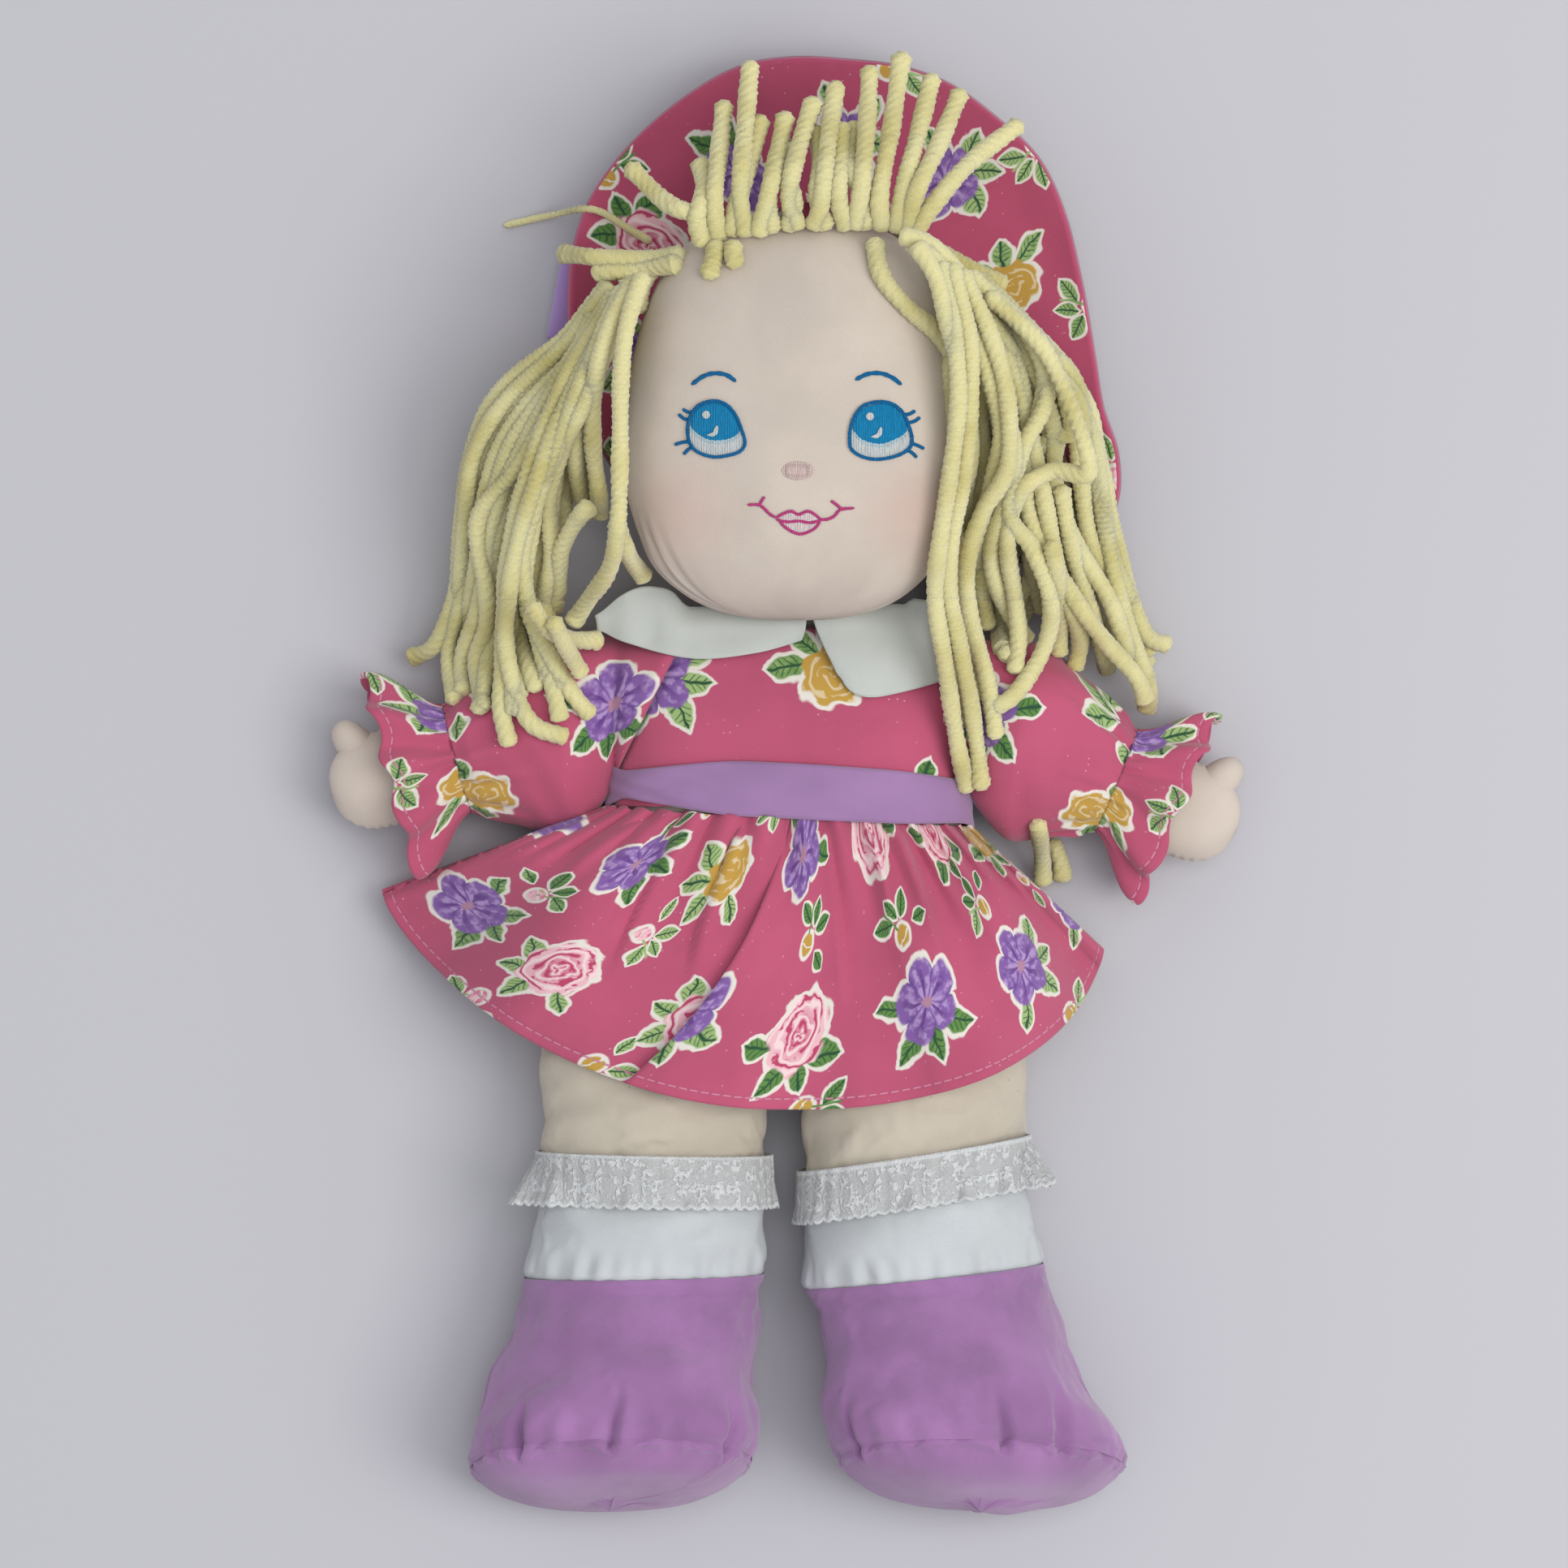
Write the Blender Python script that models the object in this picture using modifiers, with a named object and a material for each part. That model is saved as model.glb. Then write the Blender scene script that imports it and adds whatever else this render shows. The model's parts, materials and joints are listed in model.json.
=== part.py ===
"""Rag doll lying on its back, about 360 mm long.

The doll's face looks up along +Z, its head points along +Y and its left hand along +X.
The floor under it is the plane Z = 0. Lengths are in metres.
"""

import math

import bmesh
import bpy
from mathutils import Matrix, Vector

# Clearances and cloth
GAP = 0.0003
FLAT_REST = 0.0005
CLOTH = 0.0016
OVERRUN = 0.02
FLOOR_CUTTER_SIZE = 0.58

# Head: a stuffed bag with full cheeks, lying on the crown of the hat
HEAD_WIDTH = 0.084
HEAD_LENGTH = 0.097
HEAD_DEPTH = 0.056
HEAD_CENTRE_X = 0.003
HEAD_CENTRE_Y = 0.0885
HEAD_CENTRE_Z = 0.042
HEAD_CENTRE = Vector((HEAD_CENTRE_X, HEAD_CENTRE_Y, HEAD_CENTRE_Z))
HEAD_CHEEK_SHARE = 0.10
HEAD_BOX_POWER = 2.5
HEAD_REACH_POWER = 0.82
HEAD_END_SHARE = 0.045
HEAD_SIDES = 24
HEAD_ROWS = 11

# Neck: the hinge line of the nod runs through it
NECK_WIDTH = 0.034
NECK_DEPTH = 0.020
NECK_TOP = 0.0535
NECK_CENTRE_Z = 0.026
NECK_HINGE_Y = 0.0475
NECK_ROWS = 4

# Torso: pinched flat at the hip seam
TORSO_TOP = 0.0395
TORSO_WIDTH = 0.080
TORSO_DEPTH = 0.036
TORSO_TOP_DEPTH_SHARE = 0.30
TORSO_TOP_SLOPE = 2.2
TORSO_CENTRE_X = 0.0015
TORSO_CENTRE_Z = 0.0205
HIP_SEAM_Y = -0.036
HIP_SEAM_WIDTH = 0.104
SEAM_THICKNESS = 0.0034
SEAM_GAP = 0.0018
SEAM_ROOT = 0.0006
TORSO_TAPER_LENGTH = 0.023
TORSO_TAPER_POWER = 0.8
TORSO_BOX_POWER = 2.3
TORSO_SIDES = 28
TORSO_SHOULDER_SHARE = 0.80
TORSO_SHOULDER_SLOPE = 5
TORSO_HIP_START_SHARE = 0.55
TORSO_ROW_SHARES = (0, 0.06, 0.16, 0.34, 0.55, 0.68, 0.78, 0.87, 0.94, 1)

# Bodice, sash and collar of the dress
BODICE_TOP = 0.0385
BODICE_BOTTOM = -0.0055
BODICE_PUFF = 0.0012
BODICE_ROW_SHARES = (0, 0.08, 0.2, 0.4, 0.6, 0.8, 1)
SASH_WIDTH = 0.0105
SASH_Y = -0.003
SASH_THICKNESS = 0.0014
SASH_RISE_AT_RIGHT_SHARE = -0.05
SASH_PROFILE_SHARES = ((0, 0.55), (0.12, 0.95), (0.5, 1.05), (0.88, 0.95), (1, 0.55))
COLLAR_THICKNESS = 0.0016
COLLAR_GAP_AT_CENTRE = 0.0012
COLLAR_TOP = 0.0430
COLLAR_CENTRE_Y = 0.0440
COLLAR_INNER_X = 0.0160
COLLAR_INNER_Y = 0.0040
LEFT_COLLAR_X = 0.0400
LEFT_COLLAR_Y = 0.0225
RIGHT_COLLAR_X = 0.0460
RIGHT_COLLAR_Y = 0.0145
COLLAR_ROWS = 12
COLLAR_COLUMNS = 4
COLLAR_FIRST_DEG = 88
COLLAR_LAST_DEG = 2
COLLAR_POINT_SHARE = 0.3
COLLAR_POINT_POWER = 6
COLLAR_RISE_SHARES = (0.52, 0.78)

# Skirt: a gathered ring, spread like a fan over and under the legs
SKIRT_LENGTH = 0.071
SKIRT_LEFT_LENGTH = 0.045
SKIRT_LEFT_DROP_DEG = 43
SKIRT_RIGHT_LENGTH = 0.060
SKIRT_RIGHT_DROP_DEG = 20
SKIRT_WAIST_WIDTH = 0.0895
SKIRT_WAIST_HALF_DEPTH = 0.0207
SKIRT_THICKNESS = 0.0016
SKIRT_FRONT_Z = 0.0475
SKIRT_BACK_Z = 0.0003
SKIRT_SIDE_Z = 0.0085
SKIRT_FOLDS = 11
SKIRT_FOLD_DEPTH = 0.0030
SKIRT_AROUND = 76
SKIRT_ALONG = 6
SKIRT_SIDE_POWER = 2.5
SKIRT_CREST_SLOPE = 1.8
SKIRT_FOLD_SLOPE = 2
SKIRT_BACK_SLOPE = 4
SKIRT_EDGE_POWER = 8

# Arms, with mitten hands and thumbs, and their sleeves
ARM_LENGTH = 0.0725
ARM_RADIUS = 0.0105
ARM_SEAM_WIDTH = 0.024
WRIST_RADIUS = 0.0080
HAND_LENGTH = 0.026
HAND_WIDTH = 0.024
HAND_DEPTH = 0.0145
THUMB_LENGTH = 0.014
THUMB_RADIUS = 0.0043
THUMB_LEAN_DEG = 62
SHOULDER_X = TORSO_CENTRE_X + TORSO_WIDTH / 2 + CLOTH + BODICE_PUFF + 2 * GAP + SEAM_ROOT
SHOULDER_Y = 0.0165
SHOULDER_Z = 0.0205
SLEEVE_THICKNESS = 0.0014
SLEEVE_LENGTH = 0.0400
SLEEVE_WIDTH = 0.0455
SLEEVE_WRIST_WIDTH = 0.0300
SLEEVE_DEPTH = 0.0360
SLEEVE_WRIST_DEPTH = 0.0225
RUFFLE_LENGTH = 0.0170
RUFFLE_WIDTH = 0.0500
RUFFLE_DEPTH = 0.0290
RUFFLE_WAVE = 0.0018
RUFFLE_WAVES = 9
LEFT_ARM_DROP_DEG = 23
RIGHT_ARM_DROP_DEG = 15
ARM_FALL_DEG = 5
ARM_SIDES = 16
THUMB_SIDES = 10
HAND_BOX_POWER = 2.2
SLEEVE_BOX_POWER = 2.2
RUFFLE_BOX_POWER = 2.1
THUMB_PLACE_SHARE = 0.55
# Each row: place on the way from seam to wrist, half width, half depth, turn from seam to arm
ARM_SHARES = (
    (0.16, 1.14, 0.45, 0.40),
    (0.32, 1.06, 0.88, 0.80),
    (0.59, 1.00, 1.00, 1.00),
    (0.86, 0.90, 0.88, 1.00),
)
HAND_SHARES = ((0.25, 0.86, 0.9), (0.5, 1, 1), (0.75, 0.9, 0.86), (0.92, 0.6, 0.55), (1, 0.22, 0.2))
THUMB_SHARES = ((0, 0.7), (0.25, 1), (0.6, 1.05), (0.85, 0.8), (1, 0.35))
SEAM_END_SHARES = (0.94, 0.3)
WRIST_FLAT_SHARE = 0.86
SLEEVE_TOP_SHARE = 0.86
SLEEVE_SWELL_SLOPE = 2.5
SLEEVE_TAPER_START_SHARE = 0.4
SLEEVE_COLLAR_SHARE = 0.3
SLEEVE_ROWS = 6
RUFFLE_ROWS = 4
POINTS_PER_RUFFLE_WAVE = 5

# Legs, socks with lace and shoes
LEG_WIDTH = 0.0545
LEG_DEPTH = 0.0385
LEG_BOTTOM_Z = 0.0026
LEG_X = 0.0320
LEG_SEAM_WIDTH = 0.046
LEG_TAPER_LENGTH = 0.025
SOCK_Y = -0.0965
SHOE_Y = -0.1215
SOCK_WIDTH = 0.0585
SOCK_DEPTH = 0.0395
SOCK_OUTWARD = 0.0025
LACE_LENGTH = 0.0125
LACE_FLARE = 0.0034
LACE_THICKNESS = 0.0009
LACE_WAVE = 0.0013
LACE_WAVES = 13
SHOE_SEAM_Y = -0.1700
SHOE_SEAM_WIDTH = 0.0700
SHOE_SEAM_DEPTH = 0.0580
SOLE_TILT_DEG = 17
SOLE_BULGE = 0.0090
LEG_SIDES = 20
SHOE_SIDES = 22
LEG_BOX_POWER = 2.15
LEG_ROOT_SHARES = (0.35, 0.55, 0.8)
LEG_ROOT_DEPTH_POWER = 1.15
LEG_SEAM_SHARES = (0.94, 0.3, 0.8)
SOCK_ROWS = 3
LACE_ROWS = 3
LACE_OVER_SEAM_SHARE = 0.45
LACE_FLARE_POWER = 1.4
POINTS_PER_LACE_WAVE = 3
SHOE_ROW_SHARES = (0, 0.2, 0.42, 0.64, 0.82, 0.94)
SHOE_WIDTH_POWER = 0.8
SHOE_DEPTH_POWER = 0.9
SHOE_HEEL_SLOPE = 1.6
SHOE_LEAN_SHARE = 0.16
SHOE_EDGE_SHARE = 0.985
SOLE_SHARES = ((0, SHOE_EDGE_SHARE), (0.28, 0.965), (0.62, 0.85), (0.88, 0.62), (1, 0.3))
LEFT_LEG_SLANTS_DEG = (9, 6)
RIGHT_LEG_SLANTS_DEG = (1, -1)
LEFT_SHOE_OUTWARD = 0.0165
RIGHT_SHOE_OUTWARD = 0.0105

# Hat: a soft crown under the head and a wide brim round it
HAT_CROWN_HEIGHT = 0.0130
HAT_BAND_WIDTH = 0.0052
HAT_BAND_THICKNESS = 0.0010
HAT_BRIM_THICKNESS = 0.0030
HAT_BRIM_Z = 0.0185
HAT_BRIM_TURN_UP = 0.0040
HAT_BRIM_WAVE = 0.0016
HAT_BRIM_WAVES = 5
BOW_WIDTH = 0.0210
BOW_THICKNESS = 0.0044
HAT_CROWN_SHARE = 0.60
HAT_CROWN_PROFILE_SHARES = ((0.84, 0.0), (0.96, 0.14), (1, 0.4), (0.985, 0.75), (0.95, 1.0))
HAT_BAND_TOP_SHARE = 0.75
HAT_BRIM_ROWS = 4
HAT_BRIM_INNER_SHARE = 0.8
HAT_BRIM_OUTER_SHARE = 0.985
HAT_BRIM_TURN_POWER = 4
BOW_SHARES = ((0, 0.42, 0.7), (0.25, 0.46, 1), (0.6, 0.8, 1), (0.9, 1, 0.9), (1, 0.96, 0.5))
BOW_SIDES = 12
BOW_BOX_POWER = 2.6

# Yarn hair: thick locks that stand for several yarns each
LOCK_RADIUS = 0.0038
FRINGE_RADIUS = 0.0021
LOCK_SIDES = 7
LOCK_POINTS = 10
STRAND_POINTS = 5
# By the place of the ring in its lock, counted from either end
LOCK_END_SHARES = {0: 0.5, 1: 0.9, -1: 0.55}
HAIR_SEAM_LIFT_SHARE = 0.6

# Places on the doll's plan, in the pixels of a picture of the doll seen from above
PIXEL = 0.0002
PLAN_CENTRE_PX = (966, 966)
RIGHT_LOCKS_PX = (
    ((850, 340), (750, 360), (655, 450), (585, 570), (562, 700), (517, 806)),
    ((850, 350), (735, 410), (655, 530), (605, 650), (583, 760), (562, 862)),
    ((840, 360), (745, 460), (685, 590), (645, 710), (622, 800), (603, 880)),
    ((840, 370), (762, 490), (717, 610), (682, 730), (657, 820), (637, 908)),
    ((835, 400), (778, 510), (748, 630), (722, 740), (706, 820), (698, 898)),
    ((835, 420), (788, 530), (768, 640), (755, 720), (745, 795)),
)
LEFT_LOCKS_PX = (
    ((1120, 340), (1240, 365), (1300, 450), (1335, 565), (1362, 685), (1400, 780), (1425, 845)),
    ((1120, 350), (1228, 405), (1282, 510), (1312, 620), (1335, 720), (1362, 800), (1380, 860)),
    ((1115, 360), (1215, 440), (1258, 560), (1288, 690), (1302, 790), (1322, 860)),
    ((1110, 370), (1200, 470), (1238, 600), (1262, 720), (1270, 800), (1250, 872)),
    ((1110, 380), (1188, 490), (1213, 620), (1226, 760), (1222, 880), (1204, 968)),
    ((1100, 400), (1150, 490), (1168, 620), (1176, 750), (1178, 850), (1172, 905)),
)
LOCK_HEIGHT_SHARES = {
    "right": (
        (0.66, 0.62, 0.44, 0.36, 0.36, 0.44),
        (0.84, 0.78, 0.56, 0.46, 0.50, 0.62),
        (0.90, 0.86, 0.70, 0.60, 0.60, 0.64),
        (0.93, 0.93, 0.80, 0.70, 0.66, 0.66),
        (0.97, 0.98, 0.90, 0.80, 0.72, 0.69),
        (1.02, 1.03, 0.99, 0.90, 0.76),
    ),
    "left": (
        (0.68, 0.62, 0.48, 0.43, 0.40, 0.24, 0.15),
        (0.84, 0.76, 0.56, 0.48, 0.44, 0.34, 0.26),
        (0.97, 0.88, 0.70, 0.60, 0.62, 0.66),
        (0.97, 0.94, 0.80, 0.70, 0.70, 0.70),
        (0.99, 0.99, 0.93, 0.82, 0.74, 0.71),
        (1.00, 1.04, 1.03, 0.97, 0.78, 0.71),
    ),
}
FRINGE_PX = (
    ((876, 318), (822, 262), (773, 206)),
    ((895, 320), (892, 230), (893, 126)),
    ((930, 315), (925, 190), (926, 78)),
    ((969, 312), (960, 240), (969, 142)),
    ((1003, 310), (1004, 200), (1030, 103)),
    ((1042, 312), (1048, 210), (1070, 84)),
    ((1085, 312), (1092, 190), (1111, 68)),
    ((1115, 315), (1122, 210), (1149, 94)),
    ((1118, 318), (1148, 215), (1184, 113)),
    ((1122, 320), (1190, 230), (1256, 154)),
)
FRINGE_HEIGHT_SHARES = (0.86, 0.92, 0.72)

PINK = (0.52, 0.10, 0.20)
LILAC = (0.40, 0.21, 0.49)
SKIN = (0.74, 0.62, 0.53)
CALICO = (0.62, 0.54, 0.42)
WHITE = (0.78, 0.80, 0.79)
YARN = (0.72, 0.68, 0.36)
WOVEN_ROUGHNESS = 0.9

DOLL = "rag_doll"
GUIDES = "cutters"


def clear_scene():
    for obj in list(bpy.data.objects):
        bpy.data.objects.remove(obj, do_unlink=True)


def collection(name):
    made = bpy.data.collections.get(name)
    if made is None:
        made = bpy.data.collections.new(name)
        bpy.context.scene.collection.children.link(made)
    return made


def fabric(name, colour):
    material = bpy.data.materials.get(name)
    if material is None:
        material = bpy.data.materials.new(name)
        material.use_nodes = True
        shader = material.node_tree.nodes["Principled BSDF"]
        shader.inputs["Base Color"].default_value = (*colour, 1)
        shader.inputs["Roughness"].default_value = WOVEN_ROUGHNESS
        shader.inputs["Metallic"].default_value = 0
    return material


def add_object(name, mesh, colour=None, finish=None):
    """Links a mesh as a visible sub-part, or as a cutter where it has no colour."""
    obj = bpy.data.objects.new(name, mesh)
    collection(DOLL if colour else GUIDES).objects.link(obj)
    if colour:
        mesh.materials.append(fabric(finish, colour))
        mesh.shade_smooth()
    else:
        obj.hide_render = True
        obj.display_type = "WIRE"
    return obj


def modify(obj, other, operation):
    modifier = obj.modifiers.new(f"{operation}_{other.name}", "BOOLEAN")
    modifier.operation = operation
    modifier.object = other
    modifier.solver = "EXACT"
    modifier.use_self = operation == "UNION"


def cut(obj, *cutters):
    for cutter in cutters:
        modify(obj, cutter, "DIFFERENCE")


def ring(centre, across, rise, half_width, half_depth, sides, power=2.0, wave=None):
    """Points round a section: a superellipse in the plane of across and rise."""
    points = []
    for k in range(sides):
        angle = math.tau * k / sides
        c, s = math.cos(angle), math.sin(angle)
        swell = (abs(c) ** power + abs(s) ** power) ** (-1 / power)
        extra = wave(angle) if wave else 0
        u = c * (half_width * swell + extra)
        v = s * (half_depth * swell + extra)
        points.append(centre + across * u + rise * v)
    return points


def skin(name, rings, closed=False, colour=None, finish=None):
    """Joins rings of equal counts by quads, with flat ends or, if closed, back to the first."""
    bm = bmesh.new()
    rows = [[bm.verts.new(point) for point in points] for points in rings]
    count = len(rows[0])
    pairs = list(zip(rows, rows[1:]))
    if closed:
        pairs.append((rows[-1], rows[0]))
    for low, high in pairs:
        for k in range(count):
            n = (k + 1) % count
            bm.faces.new((low[k], low[n], high[n], high[k]))
    if not closed:
        bm.faces.new(rows[0])
        bm.faces.new(rows[-1])
    bmesh.ops.recalc_face_normals(bm, faces=bm.faces)
    mesh = bpy.data.meshes.new(name)
    bm.to_mesh(mesh)
    bm.free()
    return add_object(name, mesh, colour, finish)


def ease(t):
    return t * t * (3 - 2 * t)


def mix(a, b, t):
    return a + (b - a) * t


def held(t):
    """The share, held between 0 and 1."""
    return max(0.0, min(1.0, t))


def superellipse(share, power):
    """Height over the middle line, as a share, at a share of the half width."""
    return (1 - held(share) ** power) ** (1 / power)


def swell_between(a, b, t):
    """A quarter of an ellipse from a, steep, to b, level."""
    return a + (b - a) * math.sqrt(max(0.0, 1 - (1 - t) ** 2))


def steps(count):
    return [k / count for k in range(count + 1)]


X_AXIS = Vector((1, 0, 0))
Y_AXIS = Vector((0, 1, 0))
Z_AXIS = Vector((0, 0, 1))


def floor_cutter():
    """A block under the floor plane, which cuts what rests on it flat."""
    bm = bmesh.new()
    bmesh.ops.create_cube(bm, size=1)
    size = FLOOR_CUTTER_SIZE
    bmesh.ops.scale(bm, vec=(size, size, OVERRUN), verts=bm.verts)
    bmesh.ops.translate(bm, vec=(0, 0, -OVERRUN / 2), verts=bm.verts)
    mesh = bpy.data.meshes.new("floor_cutter")
    bm.to_mesh(mesh)
    bm.free()
    return add_object("floor_cutter", mesh)


def head_rings(grow):
    """Rings from chin to crown. The widest row lies below the middle, for full cheeks."""
    rings = []
    for t in steps(HEAD_ROWS):
        angle = math.pi * mix(HEAD_END_SHARE, 1 - HEAD_END_SHARE, t)
        along = -math.cos(angle)
        reach = math.sin(angle) ** HEAD_REACH_POWER
        cheeks = 1 - HEAD_CHEEK_SHARE * along
        centre = HEAD_CENTRE + Y_AXIS * (along * (HEAD_LENGTH / 2 + grow))
        width = HEAD_WIDTH / 2 * reach * cheeks + grow
        depth = HEAD_DEPTH / 2 * reach + grow
        rings.append(ring(centre, X_AXIS, Z_AXIS, width, depth, HEAD_SIDES, HEAD_BOX_POWER))
    return rings


def torso_half_width(y):
    """Half the width of the stuffed torso at a height on its length."""
    t = (TORSO_TOP - y) / (TORSO_TOP - HIP_SEAM_Y)
    rounding = min(1, t * TORSO_SHOULDER_SLOPE)
    shoulders = TORSO_WIDTH / 2 * swell_between(TORSO_SHOULDER_SHARE, 1, rounding)
    hips = max(0, (t - TORSO_HIP_START_SHARE) / (1 - TORSO_HIP_START_SHARE))
    return mix(shoulders, HIP_SEAM_WIDTH / 2, ease(hips))


def torso_half_depth(y):
    t = (TORSO_TOP - y) / (TORSO_TOP - HIP_SEAM_Y)
    full = TORSO_DEPTH / 2 * swell_between(TORSO_TOP_DEPTH_SHARE, 1, min(1, t * TORSO_TOP_SLOPE))
    near_seam = (y - HIP_SEAM_Y) / TORSO_TAPER_LENGTH
    return mix(SEAM_THICKNESS / 2, full, ease(min(1, max(0, near_seam))) ** TORSO_TAPER_POWER)


def torso_ring(y, grow):
    centre = Vector((TORSO_CENTRE_X, y, TORSO_CENTRE_Z))
    width = torso_half_width(y) + grow
    depth = torso_half_depth(y) + grow
    return ring(centre, X_AXIS, Z_AXIS, width, depth, TORSO_SIDES, TORSO_BOX_POWER)


def make_torso():
    rows = [mix(TORSO_TOP, HIP_SEAM_Y + SEAM_GAP / 2, t) for t in TORSO_ROW_SHARES]
    return skin("torso", [torso_ring(y, 0) for y in rows], colour=CALICO, finish="calico")


def make_neck():
    """A short stuffed tube from the top seam of the torso into the back of the head."""
    low = Vector((HEAD_CENTRE.x, TORSO_TOP + GAP, TORSO_CENTRE_Z))
    high = Vector((HEAD_CENTRE.x, NECK_TOP, NECK_CENTRE_Z))
    low_depth = torso_half_depth(TORSO_TOP)
    rings = []
    for t in steps(NECK_ROWS):
        depth = mix(low_depth, NECK_DEPTH / 2, ease(t))
        rings.append(ring(low.lerp(high, t), X_AXIS, Z_AXIS, NECK_WIDTH / 2, depth, TORSO_SIDES))
    return skin("neck", rings, colour=CALICO, finish="calico")


def make_bodice():
    """The dress over the torso, one loop of cloth that is open at neck and waist."""
    rows = [mix(BODICE_TOP, BODICE_BOTTOM, t) for t in BODICE_ROW_SHARES]
    outer = [torso_ring(y, GAP + CLOTH + BODICE_PUFF) for y in rows]
    inner = [torso_ring(y, GAP) for y in reversed(rows)]
    return skin("bodice", outer + inner, closed=True, colour=PINK, finish="dress_pink")


def bodice_cutter():
    """The space of the bodice, with a gap all round, up to just above its top edge."""
    rows = [mix(BODICE_TOP, BODICE_BOTTOM, t) for t in BODICE_ROW_SHARES]
    puff = 2 * GAP + CLOTH + BODICE_PUFF
    rings = [torso_ring(BODICE_TOP + GAP, puff)] + [torso_ring(y, puff) for y in rows]
    return skin("bodice_cutter", rings)


def slanted(points):
    """The sash lies a little lower on the doll's left."""
    return [p + Y_AXIS * ((p.x - TORSO_CENTRE_X) * SASH_RISE_AT_RIGHT_SHARE) for p in points]


def sash_rings(grow):
    base = 2 * GAP + CLOTH + BODICE_PUFF
    rings = []
    for t, puff in SASH_PROFILE_SHARES:
        y = SASH_Y + (SASH_WIDTH / 2 + grow) * (1 - 2 * t)
        rings.append(slanted(torso_ring(y, base + SASH_THICKNESS * puff + grow)))
    return rings


def make_sash():
    """A ribbon drawn round the waist, a little puffed between its edges."""
    base = 2 * GAP + CLOTH + BODICE_PUFF
    inner = [slanted(torso_ring(SASH_Y + SASH_WIDTH / 2 * end, base)) for end in (-1, 1)]
    return skin("sash", sash_rings(0) + inner, closed=True, colour=LILAC, finish="sash_lilac")


def collar_height(x, y):
    """Height of the chest of the dress under a point of the collar."""
    y = max(BODICE_BOTTOM, min(BODICE_TOP, y))
    width = torso_half_width(y) + 2 * GAP + CLOTH + BODICE_PUFF
    depth = torso_half_depth(y) + 2 * GAP + CLOTH + BODICE_PUFF
    share = min(1, abs(x - TORSO_CENTRE_X) / width)
    chest = TORSO_CENTRE_Z + depth * superellipse(share, TORSO_BOX_POWER)
    sleeve_width, sleeve_depth = sleeve_sizes(SLEEVE_COLLAR_SHARE)
    across = min(1, abs(y - SHOULDER_Y) / (sleeve_width + COLLAR_THICKNESS))
    sleeve = SHOULDER_Z + (sleeve_depth + COLLAR_THICKNESS) * superellipse(across, SLEEVE_BOX_POWER)
    start, end = COLLAR_RISE_SHARES
    reach = ease(held((share - start) / (end - start)))
    return max(chest, mix(chest, sleeve, reach))


def make_collar(name, side):
    """Half of a round collar, which lies on the chest and ends blunt at the centre front."""
    bm = bmesh.new()
    rows = []
    centre = Vector((TORSO_CENTRE_X, COLLAR_CENTRE_Y, 0))
    outer_x = LEFT_COLLAR_X if side > 0 else RIGHT_COLLAR_X
    outer_y = LEFT_COLLAR_Y if side > 0 else RIGHT_COLLAR_Y
    for t in steps(COLLAR_ROWS):
        angle = math.radians(mix(COLLAR_FIRST_DEG, COLLAR_LAST_DEG, t))
        blunt = 1 - COLLAR_POINT_SHARE * (1 - t) ** COLLAR_POINT_POWER
        row = []
        for s in steps(COLLAR_COLUMNS):
            across = mix(COLLAR_INNER_X, outer_x, s * blunt) * math.cos(angle)
            x = side * (COLLAR_GAP_AT_CENTRE / 2 + across)
            y = centre.y - mix(COLLAR_INNER_Y, outer_y, s * blunt) * math.sin(angle)
            y = min(y, COLLAR_TOP)
            z = collar_height(centre.x + x, y)
            row.append(bm.verts.new((centre.x + x, y, z)))
        rows.append(row)
    for low, high in zip(rows, rows[1:]):
        for a, b, c, d in zip(low, low[1:], high[1:], high):
            bm.faces.new((a, b, c, d) if side > 0 else (d, c, b, a))
    mesh = bpy.data.meshes.new(name)
    bm.to_mesh(mesh)
    bm.free()
    obj = add_object(name, mesh, WHITE, "collar_white")
    wall = obj.modifiers.new("cloth", "SOLIDIFY")
    wall.thickness = COLLAR_THICKNESS
    wall.offset = 1
    return obj


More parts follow.
